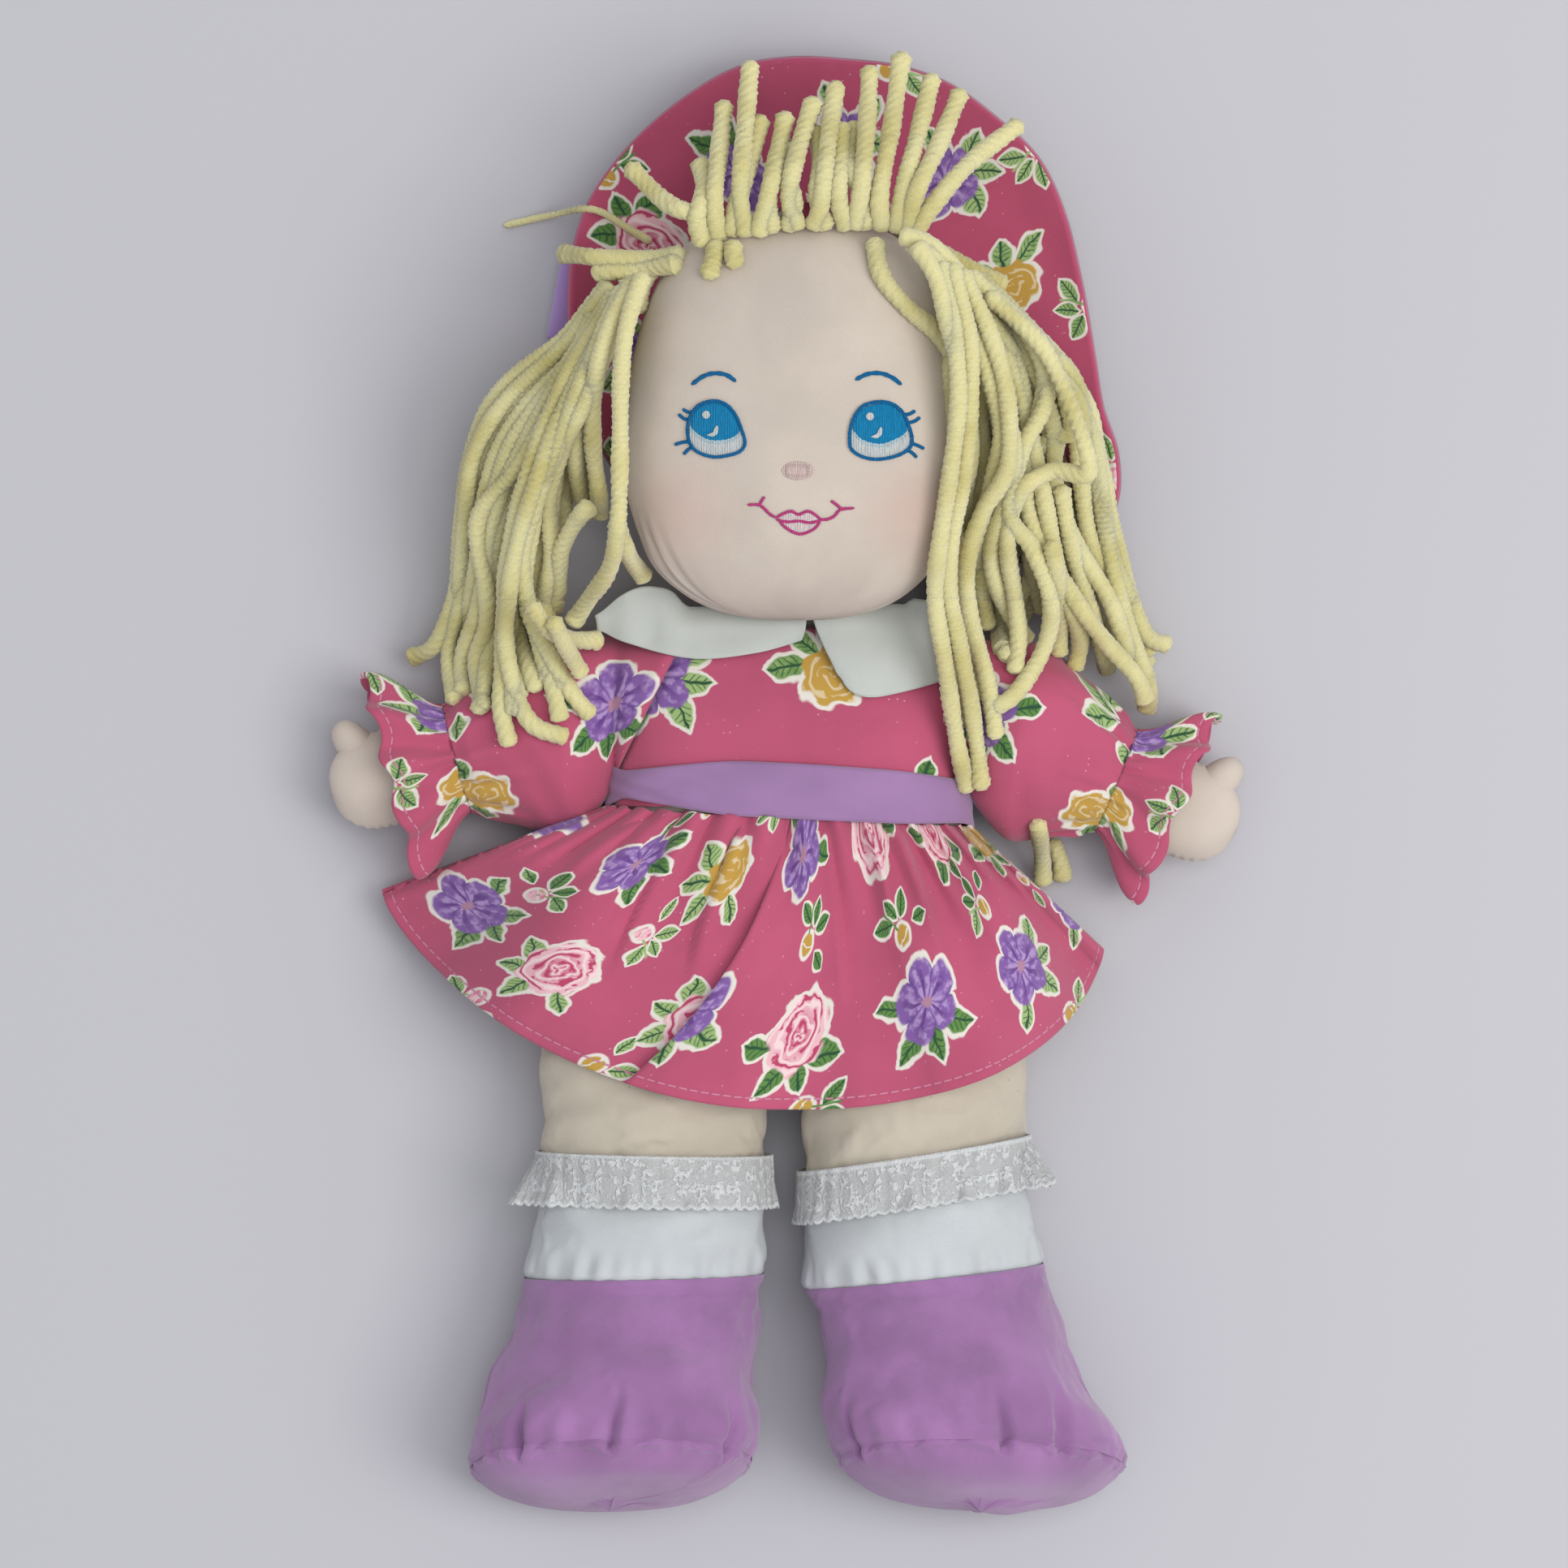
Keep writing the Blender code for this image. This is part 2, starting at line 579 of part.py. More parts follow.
def skirt_point(angle, v, inset):
    """A point of the skirt: angle runs round the ring from the left side over the front."""
    c, s = math.cos(angle), math.sin(angle)
    swell = (abs(c) ** TORSO_BOX_POWER + abs(s) ** TORSO_BOX_POWER) ** (-1 / TORSO_BOX_POWER)
    waist_x = SKIRT_WAIST_WIDTH / 2 * c * swell
    waist_z = TORSO_CENTRE_Z + SKIRT_WAIST_HALF_DEPTH * s * swell
    drop = SKIRT_LEFT_DROP_DEG if c > 0 else SKIRT_RIGHT_DROP_DEG
    side_length = SKIRT_LEFT_LENGTH if c > 0 else SKIRT_RIGHT_LENGTH
    lean = c * math.radians(90 - drop)
    reach = mix(SKIRT_LENGTH, side_length, abs(c) ** SKIRT_SIDE_POWER) * v
    x = waist_x + reach * math.sin(lean)
    waist_y = SASH_Y - SASH_WIDTH / 2 - GAP + waist_x * SASH_RISE_AT_RIGHT_SHARE
    y = waist_y - reach * math.cos(lean)
    widest = SKIRT_WAIST_WIDTH / 2 + side_length
    level = LEG_X + LEG_WIDTH / 4
    fall = ease(held((widest - abs(x)) / (widest - level)))
    fold = SKIRT_FOLD_DEPTH * v * math.sin(angle * SKIRT_FOLDS)
    spread = ease(held(v * SKIRT_CREST_SLOPE))
    if s > 0:
        crest = mix(SKIRT_SIDE_Z, SKIRT_FRONT_Z, fall) - inset
        z = mix(waist_z - inset, crest, spread) + fold * held(s * SKIRT_FOLD_SLOPE)
    else:
        ground = mix(SKIRT_SIDE_Z, SKIRT_BACK_Z, held(abs(s) * SKIRT_BACK_SLOPE)) + inset
        z = mix(waist_z + inset, ground, spread)
    z = max(z, SKIRT_BACK_Z + inset)
    side_inset = math.copysign(inset, c) * abs(c) ** SKIRT_EDGE_POWER
    return Vector((TORSO_CENTRE_X + x - side_inset, y, z))


def make_skirt():
    """A gathered ring with folds over the legs and a flat back layer, as one loop of cloth."""
    rows = steps(SKIRT_ALONG)
    angles = [math.tau * (k + 0.5) / SKIRT_AROUND for k in range(SKIRT_AROUND)]
    outer = [[skirt_point(a, v, 0) for a in angles] for v in rows]
    inner = [[skirt_point(a, v, SKIRT_THICKNESS) for a in angles] for v in reversed(rows)]
    return skin("skirt", outer + inner, closed=True, colour=PINK, finish="dress_pink")


class Arm:
    """Places along one arm, from the shoulder seam to the finger tips."""

    def __init__(self, side, drop_deg):
        drop = math.radians(drop_deg)
        self.side = side
        out = side * (SHOULDER_X - TORSO_CENTRE_X)
        self.shoulder = Vector((TORSO_CENTRE_X + out, SHOULDER_Y, SHOULDER_Z))
        fall = math.radians(ARM_FALL_DEG)
        level = Vector((side * math.cos(drop), -math.sin(drop), 0))
        self.along = level * math.cos(fall) - Z_AXIS * math.sin(fall)
        self.across = Vector((side * math.sin(drop), math.cos(drop), 0))
        self.sides = ARM_SIDES

    def section(self, distance, half_width, half_depth, power=2.0, square=1.0, wave=None):
        """A ring across the arm; square 0 keeps it parallel to the shoulder seam."""
        across = (Y_AXIS * (1 - square) + self.across * square).normalized()
        centre = self.shoulder + self.along * distance
        return ring(centre, across, Z_AXIS, half_width, half_depth, self.sides, power, wave)


def arm_pair():
    return {"left": Arm(1, LEFT_ARM_DROP_DEG), "right": Arm(-1, RIGHT_ARM_DROP_DEG)}


def make_arm(name, arm):
    """Arm with its mitten hand, pinched flat at the shoulder seam."""
    start = -SEAM_ROOT
    wrist = ARM_LENGTH - HAND_LENGTH
    seam_width = ARM_SEAM_WIDTH / 2
    end_width, end_depth = SEAM_END_SHARES
    rings = [
        arm.section(start, seam_width * end_width, SEAM_THICKNESS / 2 * end_depth, square=0),
        arm.section(SEAM_THICKNESS / 2, seam_width, SEAM_THICKNESS / 2, square=0),
    ]
    for place, width, depth, square in ARM_SHARES:
        rings.append(arm.section(wrist * place, ARM_RADIUS * width, ARM_RADIUS * depth, square=square))
    rings.append(arm.section(wrist, WRIST_RADIUS, WRIST_RADIUS * WRIST_FLAT_SHARE))
    for t, width, depth in HAND_SHARES:
        place = wrist + HAND_LENGTH * t
        rings.append(arm.section(place, HAND_WIDTH / 2 * width, HAND_DEPTH / 2 * depth, HAND_BOX_POWER))
    body = skin(name, rings, colour=SKIN, finish="skin_cloth")
    modify(body, make_thumb(name, arm), "UNION")
    return body


def make_thumb(name, arm):
    """A rounded stub that leaves the hand towards the head."""
    lean = math.radians(THUMB_LEAN_DEG)
    along = arm.along * math.cos(lean) + arm.across * math.sin(lean)
    across = arm.across * math.cos(lean) - arm.along * math.sin(lean)
    root = arm.shoulder + arm.along * (ARM_LENGTH - HAND_LENGTH * THUMB_PLACE_SHARE)
    rings = []
    for t, share in THUMB_SHARES:
        centre = root + along * ((THUMB_LENGTH + HAND_WIDTH / 4) * t)
        radius = THUMB_RADIUS * share
        rings.append(ring(centre, across, Z_AXIS, radius, radius, THUMB_SIDES))
    return skin(f"thumb_of_{name}", rings)


def sleeve_sizes(t):
    """Half the width and half the depth of the sleeve on its way to the wrist."""
    width = mix(SLEEVE_WIDTH * SLEEVE_TOP_SHARE, SLEEVE_WIDTH, ease(held(t * SLEEVE_SWELL_SLOPE)))
    taper = held((t - SLEEVE_TAPER_START_SHARE) / (1 - SLEEVE_TAPER_START_SHARE))
    width = mix(width, SLEEVE_WRIST_WIDTH, ease(taper))
    depth = mix(SLEEVE_DEPTH, SLEEVE_WRIST_DEPTH, ease(t))
    return width / 2, depth / 2


def make_sleeve(name, arm):
    """A loose tube of dress cloth from the side of the bodice to the gathered wrist."""
    start = -OVERRUN / 4
    outer, inner = [], []
    for t in steps(SLEEVE_ROWS):
        width, depth = sleeve_sizes(t)
        place = mix(start, SLEEVE_LENGTH, t)
        for rows, wall in ((outer, 0), (inner, SLEEVE_THICKNESS)):
            rows.append(arm.section(place, width - wall, depth - wall, SLEEVE_BOX_POWER, ease(t)))
    return skin(name, outer + inner[::-1], closed=True, colour=PINK, finish="dress_pink")


def make_ruffle(name, arm):
    """The frill past the wrist gather: it widens and waves."""
    start_width, start_depth = sleeve_sizes(1)
    arm.sides = RUFFLE_WAVES * POINTS_PER_RUFFLE_WAVE

    def wave(angle):
        return RUFFLE_WAVE * math.sin(angle * RUFFLE_WAVES) * spread

    outer, inner = [], []
    for t in steps(RUFFLE_ROWS):
        spread = t
        place = SLEEVE_LENGTH + GAP + RUFFLE_LENGTH * t
        width = mix(start_width, RUFFLE_WIDTH / 2, ease(t))
        depth = mix(start_depth, RUFFLE_DEPTH / 2, ease(t))
        for rows, wall in ((outer, 0), (inner, CLOTH)):
            rows.append(arm.section(place, width - wall, depth - wall, RUFFLE_BOX_POWER, wave=wave))
    arm.sides = ARM_SIDES
    return skin(name, outer + inner[::-1], closed=True, colour=PINK, finish="dress_pink")


class Leg:
    """Places down one leg, from the hip seam to the sole."""

    def __init__(self, side, sock_slant_deg, shoe_slant_deg, shoe_outward):
        self.side = side
        self.sock_slant = math.radians(sock_slant_deg) * side
        self.shoe_slant = math.radians(shoe_slant_deg) * side
        self.shoe_outward = shoe_outward
        self.sides = LEG_SIDES
        hip_out = (HIP_SEAM_WIDTH - LEG_SEAM_WIDTH) / 2
        self.hip = Vector((TORSO_CENTRE_X + side * hip_out, HIP_SEAM_Y, TORSO_CENTRE_Z))

    def section(self, y, out, half_width, half_depth, slant=0, grow=0, wave=None, lift=0):
        across = Vector((math.cos(slant), math.sin(slant), 0))
        centre = Vector((self.side * (LEG_X + out), y, LEG_BOTTOM_Z + half_depth + lift))
        width, depth = half_width + grow, half_depth + grow
        return ring(centre, across, Z_AXIS, width, depth, self.sides, LEG_BOX_POWER, wave)

    def root_ring(self, centre, half_width, half_depth):
        return ring(centre, X_AXIS, Z_AXIS, half_width, half_depth, self.sides, LEG_BOX_POWER)


def leg_pair():
    return {
        "left": Leg(1, *LEFT_LEG_SLANTS_DEG, LEFT_SHOE_OUTWARD),
        "right": Leg(-1, *RIGHT_LEG_SLANTS_DEG, RIGHT_SHOE_OUTWARD),
    }


def make_leg(name, leg):
    """Calico leg, pinched flat at the hip seam."""
    start = leg.hip + Y_AXIS * SEAM_ROOT
    end_width, end_depth, edge_depth = LEG_SEAM_SHARES
    half_width, half_seam = LEG_SEAM_WIDTH / 2, SEAM_THICKNESS / 2
    rings = [
        leg.root_ring(start, half_width * end_width, half_seam * end_depth),
        leg.root_ring(start - Y_AXIS * SEAM_THICKNESS, half_width, half_seam * edge_depth),
    ]
    inward = leg.side * leg.hip.x - LEG_X
    for t in LEG_ROOT_SHARES:
        width = mix(LEG_SEAM_WIDTH, LEG_WIDTH, ease(t)) / 2
        swell = math.sin(t * math.pi / 2) ** LEG_ROOT_DEPTH_POWER
        depth = mix(SEAM_THICKNESS, LEG_DEPTH, swell) / 2
        x = leg.side * (LEG_X + inward * (1 - t))
        z = mix(TORSO_CENTRE_Z, LEG_BOTTOM_Z + LEG_DEPTH / 2, t)
        rings.append(leg.root_ring(Vector((x, start.y - LEG_TAPER_LENGTH * t, z)), width, depth))
    knee = start.y - LEG_TAPER_LENGTH
    width, depth = LEG_WIDTH / 2, LEG_DEPTH / 2
    rings.append(leg.section(knee, 0, width, depth))
    rings.append(leg.section((knee + SOCK_Y) / 2, 0, width, depth, leg.sock_slant / 3))
    rings.append(leg.section(SOCK_Y + GAP, 0, *sock_sizes(0), leg.sock_slant))
    return skin(name, rings, colour=CALICO, finish="calico")


def sock_sizes(t):
    width = mix(LEG_WIDTH, SOCK_WIDTH, ease(t)) / 2
    depth = mix(LEG_DEPTH, SOCK_DEPTH, ease(t)) / 2
    return width, depth


def make_sock(name, leg):
    rings = []
    for t in steps(SOCK_ROWS):
        width, depth = sock_sizes(t)
        slant = mix(leg.sock_slant, leg.shoe_slant, t)
        rings.append(leg.section(mix(SOCK_Y, SHOE_Y, t), SOCK_OUTWARD * t, width, depth, slant))
    return skin(name, rings, colour=WHITE, finish="sock_white")


def make_lace(name, leg):
    """A gathered frill sewn round the top of the sock, with its free edge downwards."""
    leg.sides = LACE_WAVES * POINTS_PER_LACE_WAVE
    width, depth = LEG_WIDTH / 2 + GAP * 2, LEG_DEPTH / 2 + GAP * 2

    def wave(angle):
        return LACE_WAVE * math.sin(angle * LACE_WAVES) * spread

    outer, inner = [], []
    for t in steps(LACE_ROWS):
        spread = t
        y = SOCK_Y + LACE_LENGTH * (LACE_OVER_SEAM_SHARE - t)
        flare = LACE_FLARE * t**LACE_FLARE_POWER + GAP * t
        for rows, grow in ((outer, flare + LACE_THICKNESS), (inner, flare)):
            rows.append(leg.section(y, 0, width, depth, leg.sock_slant, grow, wave, -GAP * 2))
    leg.sides = LEG_SIDES
    return skin(name, outer + inner[::-1], closed=True, colour=WHITE, finish="lace_white")


def shoe_section(leg, t, bulge=0.0, share=1.0):
    """A ring of the shoe: t runs from the ankle to the sole seam, whose toe end is drawn up."""
    tilt = math.radians(SOLE_TILT_DEG) * t
    half_width = mix(SOCK_WIDTH, SHOE_SEAM_WIDTH, ease(t) ** SHOE_WIDTH_POWER) / 2 * share
    full_depth = mix(SOCK_DEPTH, SHOE_SEAM_DEPTH, ease(t) ** SHOE_DEPTH_POWER) / 2
    bottom = mix(LEG_BOTTOM_Z, -FLAT_REST, ease(held(t * SHOE_HEEL_SLOPE)))
    x = leg.side * (LEG_X + mix(SOCK_OUTWARD, leg.shoe_outward, t))
    y = mix(SHOE_Y - GAP, SHOE_SEAM_Y, t)
    centre = Vector((x, y, bottom + full_depth * math.cos(tilt)))
    slant = leg.shoe_slant * (1 - t)
    across = Vector((math.cos(slant), math.sin(slant), 0))
    lean = -leg.side * SHOE_LEAN_SHARE * t
    rise = Vector((lean, math.sin(tilt), math.cos(tilt))).normalized()
    down = Vector((0, -math.cos(tilt), math.sin(tilt)))
    place = centre + down * bulge
    return ring(place, across, rise, half_width, full_depth * share, SHOE_SIDES, LEG_BOX_POWER)


def make_shoe(name, leg):
    rings = [shoe_section(leg, t) for t in SHOE_ROW_SHARES]
    rings.append(shoe_section(leg, 1, 0, SHOE_EDGE_SHARE))
    return skin(name, rings, colour=LILAC, finish="shoe_lilac")


def make_sole(name, leg):
    """The stuffed sole bulges below its seam."""
    rings = []
    for depth, share in SOLE_SHARES:
        rings.append(shoe_section(leg, 1, GAP + SOLE_BULGE * depth, share))
    return skin(name, rings, colour=LILAC, finish="shoe_lilac")


HAT_OUTLINE_PX = (
    (1378, 622), (1356, 512), (1344, 416), (1330, 318), (1305, 238), (1266, 168), (1190, 112),
    (1113, 84), (1036, 73), (948, 74), (860, 98), (776, 182), (730, 240), (707, 300), (704, 400),
    (716, 500), (770, 600), (880, 668), (1000, 690), (1140, 700), (1280, 690), (1354, 668),
)
HAT_CENTRE_PX = (1024, 408)


def plan(place, z=0.0):
    """A point of the plan view, given in the picture's pixels, at a height."""
    x = (place[0] - PLAN_CENTRE_PX[0]) * PIXEL
    y = (PLAN_CENTRE_PX[1] - place[1]) * PIXEL
    return Vector((x, y, z))


def hat_ring(share, z, waves=0.0, grow=0.0):
    """The outline of the brim, drawn in by a share and pushed out by a length."""
    centre = plan(HAT_CENTRE_PX)
    points = []
    for k, place in enumerate(HAT_OUTLINE_PX):
        edge = plan(place) - centre
        point = centre + edge * share + edge.normalized() * grow
        angle = math.tau * k / len(HAT_OUTLINE_PX)
        point.z = z + waves * math.sin(angle * HAT_BRIM_WAVES)
        points.append(point)
    return points


def rounded(points):
    """Twice as many points round a closed outline, on a smooth curve through them."""
    count = len(points)
    finer = []
    for k in range(count):
        before, here = points[k - 1], points[k]
        after, last = points[(k + 1) % count], points[(k + 2) % count]
        finer.append(here)
        finer.append((here + after) * (9 / 16) - (before + last) / 16)
    return finer


def make_hat_crown():
    """The soft crown, pressed flat on the floor and hollowed by the head."""
    rings = []
    for share, height in HAT_CROWN_PROFILE_SHARES:
        rings.append(hat_ring(HAT_CROWN_SHARE * share, HAT_CROWN_HEIGHT * height - FLAT_REST))
    return skin("hat_crown", rings, colour=PINK, finish="hat_pink")


def make_hat_band():
    high = HAT_CROWN_HEIGHT * HAT_BAND_TOP_SHARE
    low = high - HAT_BAND_WIDTH
    outside = GAP + HAT_BAND_THICKNESS
    corners = ((low, outside), (high, outside), (high, GAP), (low, GAP))
    rings = [hat_ring(HAT_CROWN_SHARE, z, grow=grow) for z, grow in corners]
    return skin("hat_band", rings, closed=True, colour=LILAC, finish="ribbon_lilac")


def make_hat_brim():
    """A wide padded brim, which lies behind the head and lifts a little at its edge."""
    top, bottom = [], []
    base = HAT_CROWN_HEIGHT - FLAT_REST + GAP
    for t in steps(HAT_BRIM_ROWS):
        share = mix(HAT_CROWN_SHARE * HAT_BRIM_INNER_SHARE, HAT_BRIM_OUTER_SHARE, t)
        lift = mix(0, HAT_BRIM_Z - base - HAT_BRIM_THICKNESS, ease(t))
        lift += HAT_BRIM_TURN_UP * t**HAT_BRIM_TURN_POWER
        waves = HAT_BRIM_WAVE * t**2
        bottom.append(rounded(hat_ring(share, base + lift, waves)))
        top.append(rounded(hat_ring(share, base + lift + HAT_BRIM_THICKNESS, waves)))
    edge_z = HAT_BRIM_Z - HAT_BRIM_THICKNESS / 2 + HAT_BRIM_TURN_UP
    edge = [rounded(hat_ring(1, edge_z, HAT_BRIM_WAVE))]
    return skin("hat_brim", bottom + edge + top[::-1], closed=True, colour=PINK, finish="hat_pink")


BOW_PLACE_PX = (683, 358)
BOW_KNOT_PX = (845, 388)


def make_hat_bow():
    """One flat loop of ribbon, which leaves the band and shows past the brim."""
    knot, tip = plan(BOW_KNOT_PX), plan(BOW_PLACE_PX)
    along = tip - knot
    rings = []
    across = Vector((-along.y, along.x, 0)).normalized()
    for t, width, depth in BOW_SHARES:
        centre = knot + along * t
        centre.z = HAT_BRIM_Z / 2 - HAT_BRIM_THICKNESS
        sizes = (BOW_WIDTH / 2 * width, BOW_THICKNESS / 2 * depth)
        rings.append(ring(centre, across, Z_AXIS, *sizes, BOW_SIDES, BOW_BOX_POWER))
    return skin("hat_bow", rings, colour=LILAC, finish="ribbon_lilac")


def smooth_route(points, count):
    """Points on one smooth curve through the given ones."""
    last = len(points) - 1
    route = []
    for t in steps(count):
        place = t * last
        k = min(int(place), last - 1)
        u = place - k
        p1, p2 = points[k], points[k + 1]
        p0 = points[k - 1] if k else p1 * 2 - p2
        p3 = points[k + 2] if k + 2 <= last else p2 * 2 - p1
        slope = (p2 - p0) * u
        bend = (p0 * 2 - p1 * 5 + p2 * 4 - p3) * u**2
        twist = (p1 * 3 - p0 - p2 * 3 + p3) * u**3
        route.append((p1 * 2 + slope + bend + twist) * 0.5)
    return route


def lock(name, route, radius):
    """A rounded tube along a route, a little thinner at its free end."""
    rings = []
    for k, point in enumerate(route):
        before, after = route[max(0, k - 1)], route[min(len(route) - 1, k + 1)]
        along = (after - before).normalized()
        across = along.cross(Z_AXIS).normalized()
        rise = across.cross(along)
        share = LOCK_END_SHARES.get(min(k, k - len(route), key=abs), 1)
        rings.append(ring(point, across, rise, radius * share, radius * share, LOCK_SIDES))
    return skin(name, rings)


def hair_height(share):
    return (HEAD_CENTRE.z + HEAD_DEPTH / 2) * share


def head_surface(place):
    """Height of the face of the head over a place of the plan, or of its middle beside it."""
    along = (plan(place).y - HEAD_CENTRE.y) / (HEAD_LENGTH / 2)
    reach = max(0.0, 1 - along * along) ** (HEAD_REACH_POWER / 2)
    half_width = HEAD_WIDTH / 2 * reach * (1 - HEAD_CHEEK_SHARE * along)
    share = abs(plan(place).x - HEAD_CENTRE.x) / max(half_width, GAP)
    return HEAD_CENTRE.z + HEAD_DEPTH / 2 * reach * superellipse(share, HEAD_BOX_POWER)


def make_bunch(name, places, height_shares, seam_px):
    """The locks of one side, which leave a short seam at the temple."""
    seam_points = [plan(p, head_surface(p) + LOCK_RADIUS * HAIR_SEAM_LIFT_SHARE) for p in seam_px]
    seam = smooth_route(seam_points, LOCK_POINTS)
    start = lock(f"{name}_seam", seam, LOCK_RADIUS)
    bunch = add_object(name, start.data.copy(), YARN, "yarn")
    bpy.data.objects.remove(start)
    for k, (route_px, shares) in enumerate(zip(places, height_shares)):
        root = seam[1 + round((LOCK_POINTS - 2) * k / (len(places) - 1))]
        route = [root] + [plan(p, hair_height(s)) for p, s in zip(route_px, shares)][1:]
        modify(bunch, lock(f"{name}_lock_{k}", smooth_route(route, LOCK_POINTS), LOCK_RADIUS), "UNION")
    return bunch


RIGHT_SEAM_PX = ((868, 334), (838, 366), (812, 408), (796, 452))
LEFT_SEAM_PX = ((1122, 334), (1150, 366), (1172, 408), (1186, 452))
FRINGE_BAND_PX = ((872, 318), (915, 299), (970, 290), (1030, 289), (1085, 297), (1124, 313))


def make_fringe():
    """Yarns sewn along the top seam of the head and turned up over the hat."""
    band_points = [plan(p, head_surface(p) + LOCK_RADIUS * HAIR_SEAM_LIFT_SHARE) for p in FRINGE_BAND_PX]
    band = smooth_route(band_points, 2 * LOCK_POINTS)
    seam = lock("fringe_seam", band, LOCK_RADIUS)
    fringe = add_object("hair_fringe", seam.data.copy(), YARN, "yarn")
    bpy.data.objects.remove(seam)
    for k, route_px in enumerate(FRINGE_PX):
        points = [plan(p, hair_height(s)) for p, s in zip(route_px, FRINGE_HEIGHT_SHARES)]
        points[0] = min(band, key=lambda place: abs(place.x - points[0].x))
        strand = lock(f"fringe_strand_{k}", smooth_route(points, STRAND_POINTS), FRINGE_RADIUS)
        modify(fringe, strand, "UNION")
    return fringe


def pivot(name, place, members):
    """An empty on a joint's axis, which carries what moves with it."""
    empty = bpy.data.objects.new(name, None)
    empty.location = place
    collection(DOLL).objects.link(empty)
    for obj in members:
        obj.parent = empty
        obj.matrix_parent_inverse = Matrix.Translation(-place)


def torso_cutter():
    """The space of the torso, with a gap all round."""
    rows = [mix(TORSO_TOP, HIP_SEAM_Y, t) for t in TORSO_ROW_SHARES]
    return skin("torso_cutter", [torso_ring(y, GAP) for y in rows])


def make_dress(ground, torso_space):
    """Bodice, sash and skirt. The sash lies over the seam between the other two."""
    bodice = make_bodice()
    cut(bodice, ground, torso_space)
    dress_space = bodice_cutter()
    sash = make_sash()
    cut(sash, ground, dress_space)
    sash_space = skin("sash_cutter", sash_rings(GAP))
    make_skirt()
    return dress_space, sash_space


def make_hat(ground, head_space):
    crown = make_hat_crown()
    cut(crown, ground, head_space)
    brim = make_hat_brim()
    cut(brim, head_space)
    band = make_hat_band()
    bow = make_hat_bow()
    clear = HAT_BAND_THICKNESS + 2 * GAP
    cut(bow, skin("bow_cutter", [hat_ring(HAT_CROWN_SHARE, z, grow=clear) for z in (-OVERRUN, OVERRUN)]))
    return [crown, brim, band, bow]


def make_hair(head_space):
    right = make_bunch("hair_right", RIGHT_LOCKS_PX, LOCK_HEIGHT_SHARES["right"], RIGHT_SEAM_PX)
    left = make_bunch("hair_left", LEFT_LOCKS_PX, LOCK_HEIGHT_SHARES["left"], LEFT_SEAM_PX)
    hair = [right, left, make_fringe()]
    for obj in hair:
        cut(obj, head_space)
    return hair


def make_arms(ground, dress_space, sash_space):
    for side, arm in arm_pair().items():
        make_collar(f"collar_{side}", arm.side)
        sleeve = make_sleeve(f"sleeve_{side}", arm)
        cut(sleeve, dress_space, sash_space)
        ruffle = make_ruffle(f"ruffle_{side}", arm)
        cut(ruffle, ground)
        pieces = [make_arm(f"arm_{side}", arm), sleeve, ruffle]
        pivot(f"shoulder_pivot_{side}", arm.shoulder, pieces)


def make_legs(ground):
    for side, leg in leg_pair().items():
        lace = make_lace(f"lace_{side}", leg)
        shoe = make_shoe(f"shoe_{side}", leg)
        sole = make_sole(f"sole_{side}", leg)
        for piece in (lace, shoe, sole):
            cut(piece, ground)
        pieces = [make_leg(f"leg_{side}", leg), make_sock(f"sock_{side}", leg), lace, shoe, sole]
        pivot(f"hip_pivot_{side}", leg.hip, pieces)


def main():
    clear_scene()
    ground = floor_cutter()
    head_space = skin("head_cutter", head_rings(GAP))
    torso = make_torso()
    cut(torso, head_space)
    cut(make_neck(), head_space)
    dress_space, sash_space = make_dress(ground, torso_cutter())
    head = skin("head", head_rings(0), colour=SKIN, finish="skin_cloth")
    hat = make_hat(ground, head_space)
    hair = make_hair(head_space)
    pivot("neck_pivot", Vector((HEAD_CENTRE.x, NECK_HINGE_Y, NECK_CENTRE_Z)), [head, *hat, *hair])
    make_arms(ground, dress_space, sash_space)
    make_legs(ground)


main()
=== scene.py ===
"""Rag doll lying on its back: its cloth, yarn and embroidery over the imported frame.

Lengths are in metres. The face looks up along +Z, the head points along +Y and the doll's
left hand along +X. The floor is Z = 0.
"""

from __future__ import annotations

import json
import logging
import math
import random
from dataclasses import dataclass, field
from enum import Enum
from functools import lru_cache, partial
from typing import Callable, Sequence

import bmesh
import bpy
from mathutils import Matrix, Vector
from mathutils.bvhtree import BVHTree

